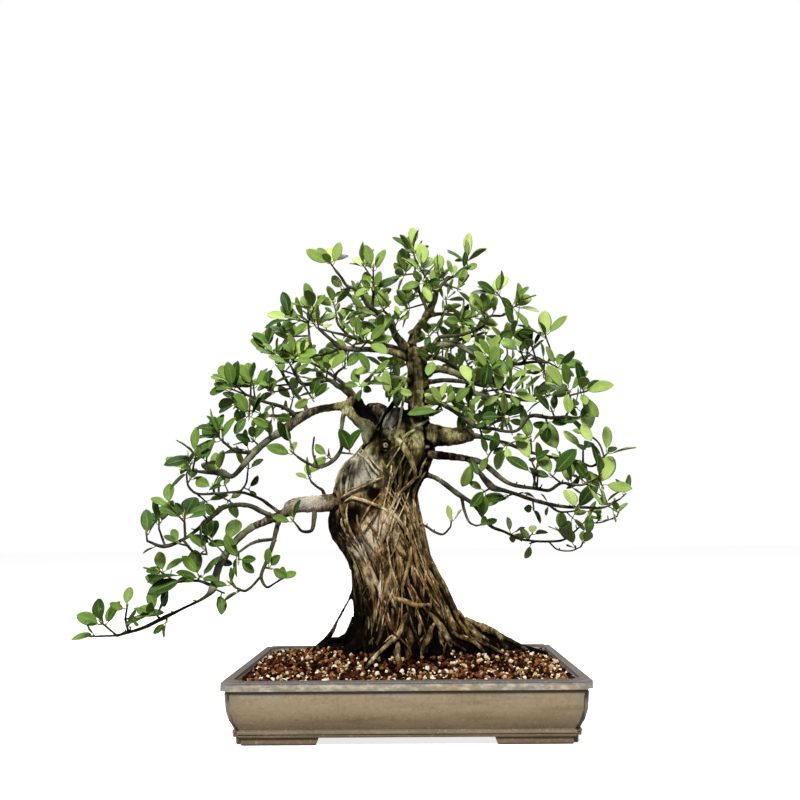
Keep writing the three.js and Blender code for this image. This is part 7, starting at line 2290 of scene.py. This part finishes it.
def only_seen(stage_piece):
    """Keep a stage piece in view, but not its light on the tree."""
    stage_piece.visible_diffuse = False
    stage_piece.visible_glossy = False
    stage_piece.visible_transmission = False


floor_mesh = bpy.data.meshes.new("floor")
corners = [(x * FLOOR_SIZE, y * FLOOR_SIZE, 0) for x, y in ((-1, -1), (1, -1), (1, 1), (-1, 1))]
floor_mesh.from_pydata(corners, [], [(0, 1, 2, 3)])
floor = bpy.data.objects.new("floor", floor_mesh)
bpy.context.scene.collection.objects.link(floor)
floor.location = (ORIGIN[0], ORIGIN[1], ORIGIN[2] - 0.0005)
floor_mesh.materials.append(glowing_material("floor", 0.76, 0.8))
only_seen(floor)

backdrop_mesh = bpy.data.meshes.new("backdrop")
dome = bmesh.new()
bmesh.ops.create_icosphere(dome, subdivisions=4, radius=BACKDROP_SIZE)
dome.to_mesh(backdrop_mesh)
dome.free()
backdrop = bpy.data.objects.new("backdrop", backdrop_mesh)
bpy.context.scene.collection.objects.link(backdrop)
backdrop_mesh.materials.append(glowing_material("backdrop", 1.0, 0.0))
backdrop.visible_shadow = False
only_seen(backdrop)

world = bpy.data.worlds.new("white surround")
bpy.context.scene.world = world
world.use_nodes = True
world.node_tree.nodes["Background"].inputs["Color"].default_value = (1, 1, 1, 1)
world.node_tree.nodes["Background"].inputs["Strength"].default_value = 0.27


def area_light(name, place, target, size, power, colour=(1, 1, 1)):
    data = bpy.data.lights.new(name, "AREA")
    data.shape = "DISK"
    data.size = size
    data.energy = power
    data.color = colour
    lamp = bpy.data.objects.new(name, data)
    bpy.context.scene.collection.objects.link(lamp)
    lamp.location = place
    direction = Vector(target) - Vector(place)
    lamp.rotation_euler = direction.to_track_quat("-Z", "Y").to_euler()


middle = (ORIGIN[0], ORIGIN[1], ORIGIN[2] + 0.35)
area_light("key", (ORIGIN[0] - 0.25, ORIGIN[1] - 1.9, ORIGIN[2] + 2.1), middle, 0.8, 112, (1.0, 0.98, 0.94))
area_light("top", (ORIGIN[0] + 0.3, ORIGIN[1] + 0.5, ORIGIN[2] + 2.6), middle, 1.2, 46)

camera_data = bpy.data.cameras.new("camera")
camera_data.lens = LENS_MM
camera_data.sensor_width = 36
camera_data.clip_end = 60
camera = bpy.data.objects.new("camera", camera_data)
bpy.context.scene.collection.objects.link(camera)
sideways = FORWARD.cross(UPWARD)
turn = Matrix((sideways, UPWARD, -FORWARD)).transposed().to_4x4()
camera.matrix_world = Matrix.Translation(Vector(EYE * MM + ORIGIN)) @ turn
bpy.context.scene.camera = camera
bpy.context.scene.view_settings.view_transform = "Standard"
